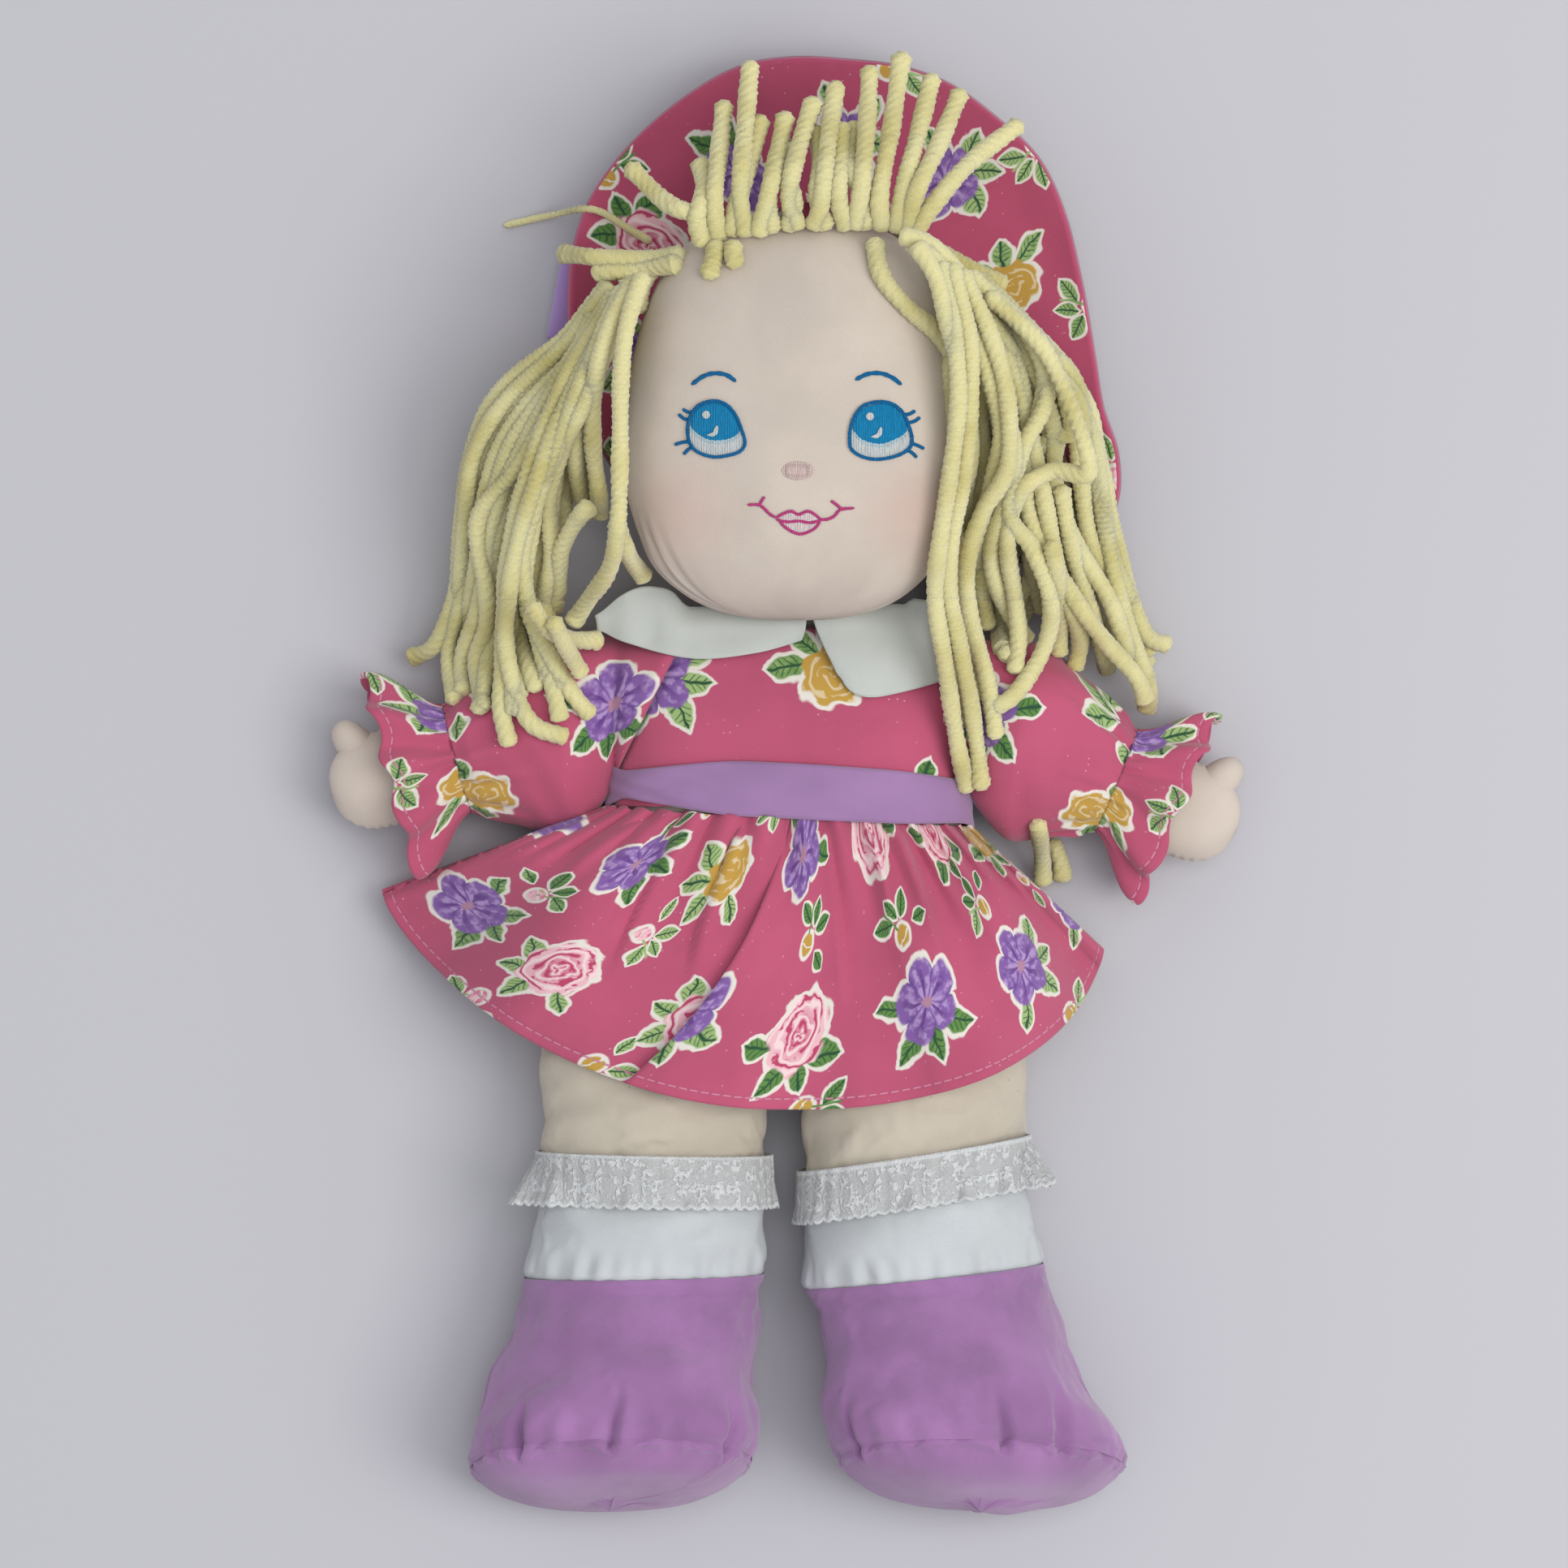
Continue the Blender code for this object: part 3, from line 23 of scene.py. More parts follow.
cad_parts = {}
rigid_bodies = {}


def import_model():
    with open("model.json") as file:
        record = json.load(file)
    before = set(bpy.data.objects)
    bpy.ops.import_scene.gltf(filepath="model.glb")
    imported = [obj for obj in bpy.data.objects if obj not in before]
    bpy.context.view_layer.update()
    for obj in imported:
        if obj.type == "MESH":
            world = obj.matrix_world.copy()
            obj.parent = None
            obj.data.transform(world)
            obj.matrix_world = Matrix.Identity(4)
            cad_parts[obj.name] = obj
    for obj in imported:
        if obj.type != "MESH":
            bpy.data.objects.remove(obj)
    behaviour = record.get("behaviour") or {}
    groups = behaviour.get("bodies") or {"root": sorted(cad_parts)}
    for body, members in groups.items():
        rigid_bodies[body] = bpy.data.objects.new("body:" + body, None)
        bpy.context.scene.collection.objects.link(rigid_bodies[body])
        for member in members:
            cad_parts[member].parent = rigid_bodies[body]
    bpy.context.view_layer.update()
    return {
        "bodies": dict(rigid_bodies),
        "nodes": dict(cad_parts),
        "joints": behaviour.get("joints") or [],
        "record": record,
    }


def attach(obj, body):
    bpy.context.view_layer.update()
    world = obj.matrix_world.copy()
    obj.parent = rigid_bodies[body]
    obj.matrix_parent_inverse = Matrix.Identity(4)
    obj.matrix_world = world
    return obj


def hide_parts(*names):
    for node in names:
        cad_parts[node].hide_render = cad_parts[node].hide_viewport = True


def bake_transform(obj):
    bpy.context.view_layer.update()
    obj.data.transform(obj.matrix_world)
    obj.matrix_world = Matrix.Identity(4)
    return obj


LOG = logging.getLogger("rag_doll")

Pair = tuple[float, float]
Triple = tuple[float, float, float]
Colour = Triple
Spot = Pair
Path = tuple[Spot, ...]
Place = Callable[[float, float], Vector]
Tree = bpy.types.NodeTree
Node = bpy.types.Node
Piece = bpy.types.Object
Grid = bmesh.types.BMesh

X_AXIS, Y_AXIS, Z_AXIS = Vector((1, 0, 0)), Vector((0, 1, 0)), Vector((0, 0, 1))
FLOOR_GAP = 0.0004  # the least height of a cloth's outside over the floor
PICTURE_PIXELS = 1932


class Side(Enum):
    """The doll's own left and right. The value is the sign of X."""

    LEFT = 1
    RIGHT = -1

    @property
    def word(self) -> str:
        """The name of the side, as the nodes are named."""
        return self.name.lower()


class Ends(Enum):
    """How the two ends of a tube are finished."""

    OPEN = "open"
    FILLED = "filled"


# Small sums.


def mix(a: float, b: float, t: float) -> float:
    """A value between a and b."""
    return a + (b - a) * t


def held(t: float) -> float:
    """The share, held between 0 and 1."""
    return max(0.0, min(1.0, t))


def ease(t: float) -> float:
    """A share that starts and ends level."""
    t = held(t)
    return t * t * (3 - 2 * t)


def superellipse(share: float, power: float) -> float:
    """Height over the middle line, as a share, at a share of the half width."""
    return (1 - held(abs(share)) ** power) ** (1 / power)


def hump(value: float, centre: float, width: float) -> float:
    """A smooth bump of height 1 at the centre, which ends at the width."""
    return ease(1 - abs(value - centre) / width)


def spline(points: Sequence[Vector], t: float, closed: bool = False) -> Vector:
    """A point on one smooth curve through the given ones.

    Args:
        points: the points to pass through.
        t: the share of the way, from 0 to 1.
        closed: whether the curve returns to its start.

    Returns:
        The point at that share.
    """
    count = len(points)
    last = count if closed else count - 1
    place = held(t) * last if not closed else (t % 1) * last
    k = min(int(place), last - 1)
    u = place - k
    if closed:
        p0, p1, p2, p3 = (points[(k + step) % count] for step in (-1, 0, 1, 2))
    else:
        p1, p2 = points[k], points[k + 1]
        p0 = points[k - 1] if k else p1 * 2 - p2
        p3 = points[k + 2] if k + 2 <= last else p2 * 2 - p1
    bend = (p0 * 2 - p1 * 5 + p2 * 4 - p3) * u**2
    return (p1 * 2 + (p2 - p0) * u + bend + (p1 * 3 - p0 - p2 * 3 + p3) * u**3) * 0.5


@lru_cache(maxsize=None)
def wave_set(seed: int, waves: int, slowest: float, fastest: float) -> tuple[Triple, ...]:
    """Fixed waves, each with its pace, its turn and its lean."""
    chance = random.Random(seed)
    return tuple(
        (chance.uniform(slowest, fastest), chance.uniform(0, math.tau), chance.uniform(-1, 1))
        for _ in range(waves)
    )


@dataclass(frozen=True)
class Ripple:
    """A fixed sum of waves along one or two directions, for folds that don't repeat."""

    seed: int
    waves: int = 5
    slowest: float = 1.0
    fastest: float = 4.0

    def at(self, x: float, y: float = 0.0) -> float:
        """The height, from about -1 to 1, at a place."""
        total, weight = 0.0, 0.0
        for pace, turn, lean in wave_set(self.seed, self.waves, self.slowest, self.fastest):
            total += math.sin(math.tau * pace * (x + lean * y) + turn) / pace
            weight += 1 / pace
        return 1.6 * total / weight

    def ring(self, share: float, y: float = 0.0, times: float = 1.0) -> float:
        """The height at a share of the way round a closed piece, where it meets itself.

        Args:
            share: the share of the way round.
            y: the place along the piece.
            times: how many times as fast the waves follow on each other round it.

        Returns:
            The height, from about -1 to 1.
        """
        total, weight = 0.0, 0.0
        for pace, turn, lean in wave_set(self.seed, self.waves, self.slowest, self.fastest):
            whole = max(1, round(pace * times))
            total += math.sin(math.tau * (whole * share + pace * lean * y) + turn) / pace
            weight += 1 / pace
        return 1.6 * total / weight


@dataclass(frozen=True)
class Plan:
    """The doll's plan, in the pixels of a picture that looks straight down on it."""

    pixel: float = 0.0002
    centre: Spot = (966.0, 966.0)
    eye_height: float = 2.0
    level: float = 0.025

    def at(self, x: float, y: float, z: float = 0.025) -> Vector:
        """The point that the camera sees at a pixel, at a height."""
        share = 1 - (z - self.level) / (self.eye_height - self.level)
        across = (x - self.centre[0]) * self.pixel * share
        up = (self.centre[1] - y) * self.pixel * share
        return Vector((across, up, z))


PLAN = Plan()
SHOULDERS = {Side.LEFT: (0.0455, 0.0165, 0.0205), Side.RIGHT: (-0.0425, 0.0165, 0.0205)}


# Node trees.


@dataclass(frozen=True)
class Term:
    """A value in a node tree. Arithmetic on it adds Math nodes to the tree."""

    tree: Tree
    socket: bpy.types.NodeSocket

    def _math(self, operation: str, *others: Term | float) -> Term:
        """Adds one Math node that works on this value."""
        node = self.tree.nodes.new("ShaderNodeMath")
        node.operation = operation
        feed(self.tree, node.inputs[0], self)
        for slot, other in zip(node.inputs[1:], others):
            feed(self.tree, slot, other)
        return Term(self.tree, node.outputs[0])

    def __add__(self, other: Term | float) -> Term:
        """The sum."""
        return self._math("ADD", other)

    def __sub__(self, other: Term | float) -> Term:
        """The difference."""
        return self._math("SUBTRACT", other)

    def __mul__(self, other: Term | float) -> Term:
        """The product."""
        return self._math("MULTIPLY", other)

    def __truediv__(self, other: Term | float) -> Term:
        """The quotient."""
        return self._math("DIVIDE", other)

    def flipped(self) -> Term:
        """One minus the value."""
        return self * -1.0 + 1.0

    def sine(self) -> Term:
        """The sine."""
        return self._math("SINE")

    def cosine(self) -> Term:
        """The cosine."""
        return self._math("COSINE")

    def angle_to(self, across: Term) -> Term:
        """The angle of a direction, of which this is the part upwards."""
        return self._math("ARCTAN2", across)

    def size(self) -> Term:
        """The value without its sign."""
        return self._math("ABSOLUTE")

    def floor(self) -> Term:
        """The whole number below."""
        return self._math("FLOOR")

    def over(self, divisor: float) -> Term:
        """What is left after dividing, never negative."""
        return self._math("FLOORED_MODULO", divisor)

    def power(self, exponent: float) -> Term:
        """The value raised to a power."""
        return self._math("POWER", exponent)

    def least(self, other: Term | float) -> Term:
        """The smaller of two."""
        return self._math("MINIMUM", other)

    def most(self, other: Term | float) -> Term:
        """The larger of two."""
        return self._math("MAXIMUM", other)

    def below(self, limit: float, soft: float) -> Term:
        """1 where the value is under the limit, 0 over it, with a soft edge."""
        node = self.tree.nodes.new("ShaderNodeMapRange")
        node.interpolation_type = "SMOOTHSTEP"
        feed(self.tree, node.inputs["Value"], self)
        preset(node, From_Min=limit - soft, From_Max=limit + soft, To_Min=1.0, To_Max=0.0)
        return Term(self.tree, node.outputs["Result"])

    def above(self, limit: float, soft: float) -> Term:
        """1 where the value is over the limit, 0 under it, with a soft edge."""
        return self.below(limit, soft).flipped()


def preset(node: Node, **values: object) -> None:
    """Sets plain values on a node's own inputs, with _ for a space in a name."""
    for word, value in values.items():
        node.inputs[word.replace("_", " ")].default_value = value


def feed(tree: Tree, slot: bpy.types.NodeSocket, value: object) -> None:
    """Links a term to a socket, or sets the socket to a plain value.

    Args:
        tree: the tree that holds the socket.
        slot: the socket to feed.
        value: a Term, a number or a colour.
    """
    if isinstance(value, Term):
        tree.links.new(value.socket, slot)
    elif isinstance(value, tuple) and len(value) == 3 and slot.type == "RGBA":
        slot.default_value = (*value, 1.0)
    else:
        slot.default_value = value


def tinted(share: Term, low: Term | Colour, high: Term | Colour) -> Term:
    """A colour between two, by a share."""
    node = share.tree.nodes.new("ShaderNodeMix")
    node.data_type = "RGBA"
    feed(share.tree, node.inputs[0], share)
    feed(share.tree, node.inputs[6], low)
    feed(share.tree, node.inputs[7], high)
    return Term(share.tree, node.outputs[2])


def split(tree: Tree, vector: Term) -> tuple[Term, Term, Term]:
    """The three parts of a vector."""
    node = tree.nodes.new("ShaderNodeSeparateXYZ")
    feed(tree, node.inputs[0], vector)
    return tuple(Term(tree, node.outputs[k]) for k in range(3))


def joined(tree: Tree, x: Term, y: Term, z: Term | float = 0.0) -> Term:
    """A vector from its parts."""
    node = tree.nodes.new("ShaderNodeCombineXYZ")
    for slot, part in zip(node.inputs, (x, y, z)):
        feed(tree, slot, part)
    return Term(tree, node.outputs[0])


def noise(tree: Tree, vector: Term, scale: float, detail: float = 2.0) -> Term:
    """Soft random values from 0 to 1."""
    node = tree.nodes.new("ShaderNodeTexNoise")
    feed(tree, node.inputs["Vector"], vector)
    preset(node, Scale=scale, Detail=detail)
    return Term(tree, node.outputs["Fac"])


def object_place(tree: Tree) -> Term:
    """The place on the object, in metres."""
    return Term(tree, tree.nodes.new("ShaderNodeTexCoord").outputs["Object"])


def chance(tree: Tree, vector: Term) -> tuple[Term, Term, Term]:
    """Three random values for each place."""
    node = tree.nodes.new("ShaderNodeTexWhiteNoise")
    node.noise_dimensions = "3D"
    feed(tree, node.inputs["Vector"], vector)
    return split(tree, Term(tree, node.outputs["Color"]))


class Group:
    """A shader node group that several finishes use. It is built once."""

    name = "group"
    takes: dict[str, str] = {}
    gives: dict[str, str] = {}

    def tree(self) -> Tree:
        """The group's tree, built when it is first asked for."""
        made = bpy.data.node_groups.get(self.name)
        if made is None:
            made = bpy.data.node_groups.new(self.name, "ShaderNodeTree")
            for word, kind in self.takes.items():
                made.interface.new_socket(name=word, in_out="INPUT", socket_type=kind)
            for word, kind in self.gives.items():
                made.interface.new_socket(name=word, in_out="OUTPUT", socket_type=kind)
            start = made.nodes.new("NodeGroupInput")
            end = made.nodes.new("NodeGroupOutput")
            values = {word: Term(made, start.outputs[word]) for word in self.takes}
            for word, term in self.wire(made, values).items():
                made.links.new(term.socket, end.inputs[word])
        return made

    def wire(self, tree: Tree, values: dict[str, Term]) -> dict[str, Term]:
        """Builds the inside of the group.

        Args:
            tree: the group's tree.
            values: its inputs by name.

        Returns:
            Its outputs by name.
        """
        raise NotImplementedError

    def place(self, tree: Tree, **values: object) -> dict[str, Term]:
        """Puts the group into a tree.

        Args:
            tree: the tree to put it in.
            values: its inputs, with _ for a space.

        Returns:
            Its outputs by name.
        """
        node = tree.nodes.new("ShaderNodeGroup")
        node.node_tree = self.tree()
        for word, value in values.items():
            feed(tree, node.inputs[word.replace("_", " ")], value)
        return {word: Term(tree, node.outputs[word]) for word in self.gives}


FLOAT, VECTOR, COLOUR = "NodeSocketFloat", "NodeSocketVector", "NodeSocketColor"


class Weave(Group):
    """Crossing threads: their height, and uneven dye over the cloth."""

    name = "weave"
    takes = {"Cloth": VECTOR, "Threads": FLOAT}
    gives = {"Height": FLOAT, "Uneven": FLOAT}

    def wire(self, tree: Tree, values: dict[str, Term]) -> dict[str, Term]:
        """Builds the inside of the group. See Group.wire."""
        u, v, _ = split(tree, values["Cloth"])
        a, b = u * values["Threads"], v * values["Threads"]
        threads = a.sine() * b.sine()
        slubs = noise(tree, joined(tree, u * 260.0, v * 2600.0), 1.0, 1.0)
        slubs_too = noise(tree, joined(tree, u * 2600.0, v * 260.0), 1.0, 1.0)
        height = threads * 0.35 + slubs * 0.4 + slubs_too * 0.4
        uneven = noise(tree, values["Cloth"], 38.0, 4.0)
        return {"Height": height, "Uneven": uneven}


class Flecks(Group):
    """Scattered specks of undyed or dark fibre."""

    name = "flecks"
    takes = {"Cloth": VECTOR, "Scale": FLOAT, "Share": FLOAT}
    gives = {"Mask": FLOAT}

    def wire(self, tree: Tree, values: dict[str, Term]) -> dict[str, Term]:
        """Builds the inside of the group. See Group.wire."""
        node = tree.nodes.new("ShaderNodeTexVoronoi")
        feed(tree, node.inputs["Vector"], values["Cloth"])
        feed(tree, node.inputs["Scale"], values["Scale"])
        spot = Term(tree, node.outputs["Distance"]).below(0.10, 0.06)
        luck, size, _ = split(tree, Term(tree, node.outputs["Color"]))
        kept = (luck - values["Share"]).below(0.0, 0.001)
        return {"Mask": spot * kept * (size * 0.6 + 0.4)}


class Stitches(Group):
    """A row of short stitches along one edge of the cloth, a fixed way in from it."""

    name = "stitches"
    takes = {"Along": FLOAT, "In": FLOAT, "Way": FLOAT, "Pitch": FLOAT}
    gives = {"Thread": FLOAT, "Dent": FLOAT}

    def wire(self, tree: Tree, values: dict[str, Term]) -> dict[str, Term]:
        """Builds the inside of the group. See Group.wire."""
        away = (values["In"] - values["Way"]).size() * 1000.0
        dash = (values["Along"] / values["Pitch"]).over(1.0)
        thread = away.below(0.22, 0.10) * (dash - 0.5).size().below(0.36, 0.06)
        return {"Thread": thread, "Dent": away.below(0.5, 0.45)}


class FlowerPrint(Group):
    """A scattered print of plain garden flowers and leaves, each with a pale edge."""

    name = "flower_print"
    takes = {"Cloth": VECTOR, "Repeat": FLOAT, "Ground": COLOUR}
    gives = {"Colour": COLOUR, "Printed": FLOAT}

    leaf_green: Colour = (0.105, 0.235, 0.055)
    leaf_light: Colour = (0.33, 0.47, 0.18)
    leaf_dark: Colour = (0.018, 0.075, 0.035)
    pale: Colour = (0.74, 0.70, 0.62)
    violets: tuple[Colour, Colour] = ((0.215, 0.105, 0.34), (0.42, 0.28, 0.54))
    violet_streak: Colour = (0.105, 0.035, 0.20)
    violet_gap: Colour = (0.12, 0.05, 0.24)
    violet_eye: Colour = (0.42, 0.22, 0.30)
    roses: tuple[Colour, Colour] = ((0.78, 0.46, 0.50), (0.62, 0.20, 0.28))
    rose_fold: Colour = (0.46, 0.055, 0.13)
    rose_edge: Colour = (0.84, 0.68, 0.66)
    bud_pinks: tuple[Colour, Colour] = ((0.80, 0.50, 0.54), (0.60, 0.15, 0.25))
    ochre: Colour = (0.50, 0.30, 0.055)
    ochre_light: Colour = (0.66, 0.52, 0.30)
    row_shift: float = 0.47
    leaves: tuple[tuple[float, ...], ...] = (
        (-0.22, 0.17, 118.0, 0.135, 0.072),
        (-0.27, -0.01, 172.0, 0.125, 0.060),
        (-0.20, -0.18, 235.0, 0.130, 0.070),
        (0.07, -0.29, 292.0, 0.115, 0.058),
    )

    def wire(self, tree: Tree, values: dict[str, Term]) -> dict[str, Term]:
        """Builds the inside of the group. See Group.wire."""
        u, v, _ = split(tree, values["Cloth"])
        v = v / values["Repeat"]
        row = v.floor()
        start = u / values["Repeat"]
        u = start + row * self.row_shift
        column = u.floor()
        first, second, third = chance(tree, joined(tree, column, row, 3.7))
        kind, tone, _ = chance(tree, joined(tree, row, column, 9.1))
        x = u - column - 0.5 - (first - 0.5) * 0.16
        y = v - row - 0.5 - (second - 0.5) * 0.16
        rough = noise(tree, values["Cloth"], 420.0, 2.0)
        bend = noise(tree, values["Cloth"], 150.0, 1.0) - 0.5
        turn = third * math.tau
        a = x * turn.cosine() + y * turn.sine() + (rough - 0.5) * 0.030 + bend * 0.10
        b = y * turn.cosine() - x * turn.sine() + (rough - 0.5) * -0.025 + bend * 0.07
        leaf, halo, vein = self.foliage(a, b)
        petals, edge, colour = self.bloom(a, b, kind, rough)
        wander = noise(tree, values["Cloth"], 170.0, 1.0) * 0.6 + rough * 0.4
        between = start + (v + 0.5).floor() * self.row_shift + 0.27
        *blades, bud = self.sprig(tree, between, v + 0.5, wander)
        leaf, halo, vein = (mask.most(more) for mask, more in zip((leaf, halo, vein), blades))
        green = tinted((tone + rough * 0.8).above(0.9, 0.3), self.leaf_green, self.leaf_light)
        green = tinted(vein, green, self.leaf_dark)
        result = tinted(halo.most(edge), values["Ground"], self.pale)
        result = tinted(leaf, result, green)
        pink = tinted(rough.above(0.55, 0.12), *self.bud_pinks)
        buds = tinted((tone * 7.0).sine().above(0.3, 0.001), pink, self.ochre)
        result = tinted(bud, result, buds)
        result = tinted(petals, result, colour)
        return {"Colour": result, "Printed": halo.most(edge)}

    def foliage(self, a: Term, b: Term) -> tuple[Term, Term, Term]:
        """The leaves round one flower.

        Args:
            a: place across the motif.
            b: place up the motif.

        Returns:
            The masks of the leaves, of their pale edge and of their veins.
        """
        leaf = halo = vein = None
        for cx, cy, degrees, length, width in self.leaves:
            angle = math.radians(degrees)
            c, s = math.cos(angle), math.sin(angle)
            along = (a - cx) * c + (b - cy) * s
            across = ((b - cy) * c - (a - cx) * s).size()
            shape = (along / length).size().power(2.0) + across / width
            ribs = (along * 150.0 - across * 120.0).sine().above(0.72, 0.25) * shape.below(0.85, 0.1)
            parts = (
                shape.below(1.0, 0.10),
                shape.below(1.42, 0.10),
                (across.below(0.009, 0.006) * shape.below(0.9, 0.1)).most(ribs * 0.8),
            )
            if leaf is None:
                leaf, halo, vein = parts
            else:
                leaf, halo, vein = (x.most(y) for x, y in zip((leaf, halo, vein), parts))
        return leaf, halo, vein

    def sprig(self, tree: Tree, u: Term, v: Term, rough: Term) -> tuple[Term, ...]:
        """The small sprigs of leaves with a bud between the flowers, at some of the corners.

        Args:
            tree: the group's tree.
            u: place along the rows, moved by half a motif.
            v: place across the rows, moved by half a motif.
            rough: fine noise.

        Returns:
            The masks of the leaves, of their pale edge, of their veins and of the bud.
        """
        row, column = v.floor(), u.floor()
        first, kept, turn = chance(tree, joined(tree, row, column, 5.3))
        x, y = u - column - 0.5, v - row - 0.5
        angle = turn * math.tau
        a = (x * angle.cosine() + y * angle.sine() + (rough - 0.5) * 0.05) * 1.45 - 0.10
        b = (y * angle.cosine() - x * angle.sine() + (rough - 0.5) * 0.04) * (first * 0.3 + 1.35)
        seen = kept.above(0.35, 0.0004)
        leaf, halo, vein = self.foliage(a, b)
        stem = (a + 0.16).size().below(0.17, 0.01) * (b + a * 0.3).size().below(0.012, 0.006)
        away = (a * a + b * b).power(0.5)
        bud = away.below(0.085, 0.010) * (rough * 9.0 + a * 40.0).sine().above(-0.9, 0.1)
        return leaf.most(stem) * seen, halo.most(away.below(0.12, 0.01)) * seen, vein * seen, bud * seen

    def bloom(self, a: Term, b: Term, kind: Term, rough: Term) -> tuple[Term, Term, Term]:
        """One flower: violet with five petals, a pink rose, or a small ochre one.

        Args:
            a: place across the motif.
            b: place up the motif.
            kind: a random value that picks the flower.
            rough: fine noise.

        Returns:
            The masks of the petals and of their pale edge, and the petals' colour.
        """
        radius = (a * a + b * b).power(0.5)
        angle = b.angle_to(a)
        rose = kind.above(0.48, 0.0004)
        golden = kind.above(0.78, 0.0004)
        none = kind.above(0.90, 0.0004)
        lobes = (angle * 2.5).cosine().size()
        wide = lobes.power(0.5) * 0.30 + 0.70
        round_one = (angle * 7.0 + radius * 30.0).cosine() * 0.07 + 0.93
        outline = wide * rose.flipped() + round_one * rose
        size = (rose * 0.005 + 0.255 - golden * 0.060) * outline
        shape = radius / size.most(0.02)
        seen = none.flipped()
        petals = shape.below(1.0, 0.05) * seen
        edge = (radius - size).below(0.034, 0.008) * seen
        violet = tinted((rough - radius).above(0.38, 0.12), *self.violets)
        streak = (lobes + rough * 0.08).above(0.975, 0.05) * shape.below(0.72, 0.25)
        violet = tinted(streak * 0.85, violet, self.violet_streak)
        violet = tinted(lobes.below(0.20, 0.22) * 0.8, violet, self.violet_gap)
        violet = tinted(shape.below(0.17, 0.06), violet, self.violet_eye)
        folds = radius * 88.0 + (angle * 3.0 + radius * 34.0).cosine() * 1.5 + rough * 4.0
        turns = (angle * 2.0 + radius * 50.0 + rough * 6.0).sine()
        swirl = folds.sine().above(0.50, 0.30) * turns.above(-0.45, 0.3)
        pink = tinted(shape.below(0.50, 0.30), *self.roses)
        pink = tinted(swirl, pink, self.rose_fold)
        pink = tinted(folds.sine().below(-0.60, 0.3) * 0.8, pink, self.rose_edge)
        gold = tinted(swirl, self.ochre, self.ochre_light)
        colour = tinted(rose, violet, pink)
        return petals, edge, tinted(golden, colour, gold)


# Finishes.


@dataclass(frozen=True)
class Finish:
    """One finish of the doll: its name, its slot in the record and its main colour."""

    name: str
    slot: str
    colour: Colour
    roughness: float = 0.9
    thread_pitch: float = 0.00036
    bump: float = 0.25
    sheen: float = 0.25
    mottle: float = 0.14

    def material(self) -> bpy.types.Material:
        """The material, built when it is first asked for."""
        made = bpy.data.materials.get(self.name)
        if made is None:
            made = bpy.data.materials.new(self.name)
            made.use_nodes = True
            tree = made.node_tree
            shader = tree.nodes["Principled BSDF"]
            preset(shader, Roughness=self.roughness, Specular_IOR_Level=0.25)
            preset(shader, Sheen_Weight=self.sheen, Sheen_Roughness=0.5)
            self.dress(tree, shader)
        return made

    def cloth(self, tree: Tree) -> Term:
        """The place on the unrolled cloth, in metres."""
        node = tree.nodes.new("ShaderNodeUVMap")
        node.uv_map = "cloth"
        return Term(tree, node.outputs[0])

    def relief(self, tree: Tree, shader: Node, height: Term, depth: float) -> None:
        """Raises the surface by a height map.

        Args:
            tree: the material's tree.
            shader: the shader that the relief is for.
            height: the height, in shares of the depth.
            depth: the depth of the relief, in metres.
        """
        node = tree.nodes.new("ShaderNodeBump")
        preset(node, Strength=1.0, Distance=depth)
        feed(tree, node.inputs["Height"], height)
        tree.links.new(node.outputs["Normal"], shader.inputs["Normal"])

    def dress(self, tree: Tree, shader: Node) -> None:
        """Wires the material. Plain woven cloth, a little uneven."""
        cloth = self.cloth(tree)
        weave = WEAVE.place(tree, Cloth=cloth, Threads=math.tau / self.thread_pitch)
        dark = tuple(part * (1 - self.mottle) for part in self.colour)
        colour = tinted(weave["Uneven"].above(0.5, 0.25), dark, self.colour)
        self.finish(tree, shader, cloth, weave, colour)

    def finish(self, tree: Tree, shader: Node, cloth: Term, weave: dict[str, Term], colour: Term) -> None:
        """Sets the colour and the weave's relief.

        Args:
            tree: the material's tree.
            shader: its shader.
            cloth: the place on the cloth.
            weave: the weave group's outputs.
            colour: the colour so far.
        """
        feed(tree, shader.inputs["Base Color"], colour)
        self.relief(tree, shader, weave["Height"], self.bump * 0.0003)


WEAVE, FLECKS, STITCHES, FLOWERS = Weave(), Flecks(), Stitches(), FlowerPrint()


@dataclass(frozen=True)
class Speckled(Finish):
    """Plain cloth with specks of another fibre, such as unbleached calico."""

    speck: Colour = (0.20, 0.13, 0.08)
    speck_share: float = 0.05
    speck_scale: float = 420.0

    def finish(self, tree: Tree, shader: Node, cloth: Term, weave: dict[str, Term], colour: Term) -> None:
        """Adds the specks. See Finish.finish."""
        specks = FLECKS.place(tree, Cloth=cloth, Scale=self.speck_scale, Share=self.speck_share)
        colour = tinted(specks["Mask"], colour, self.speck)
        super().finish(tree, shader, cloth, weave, colour)


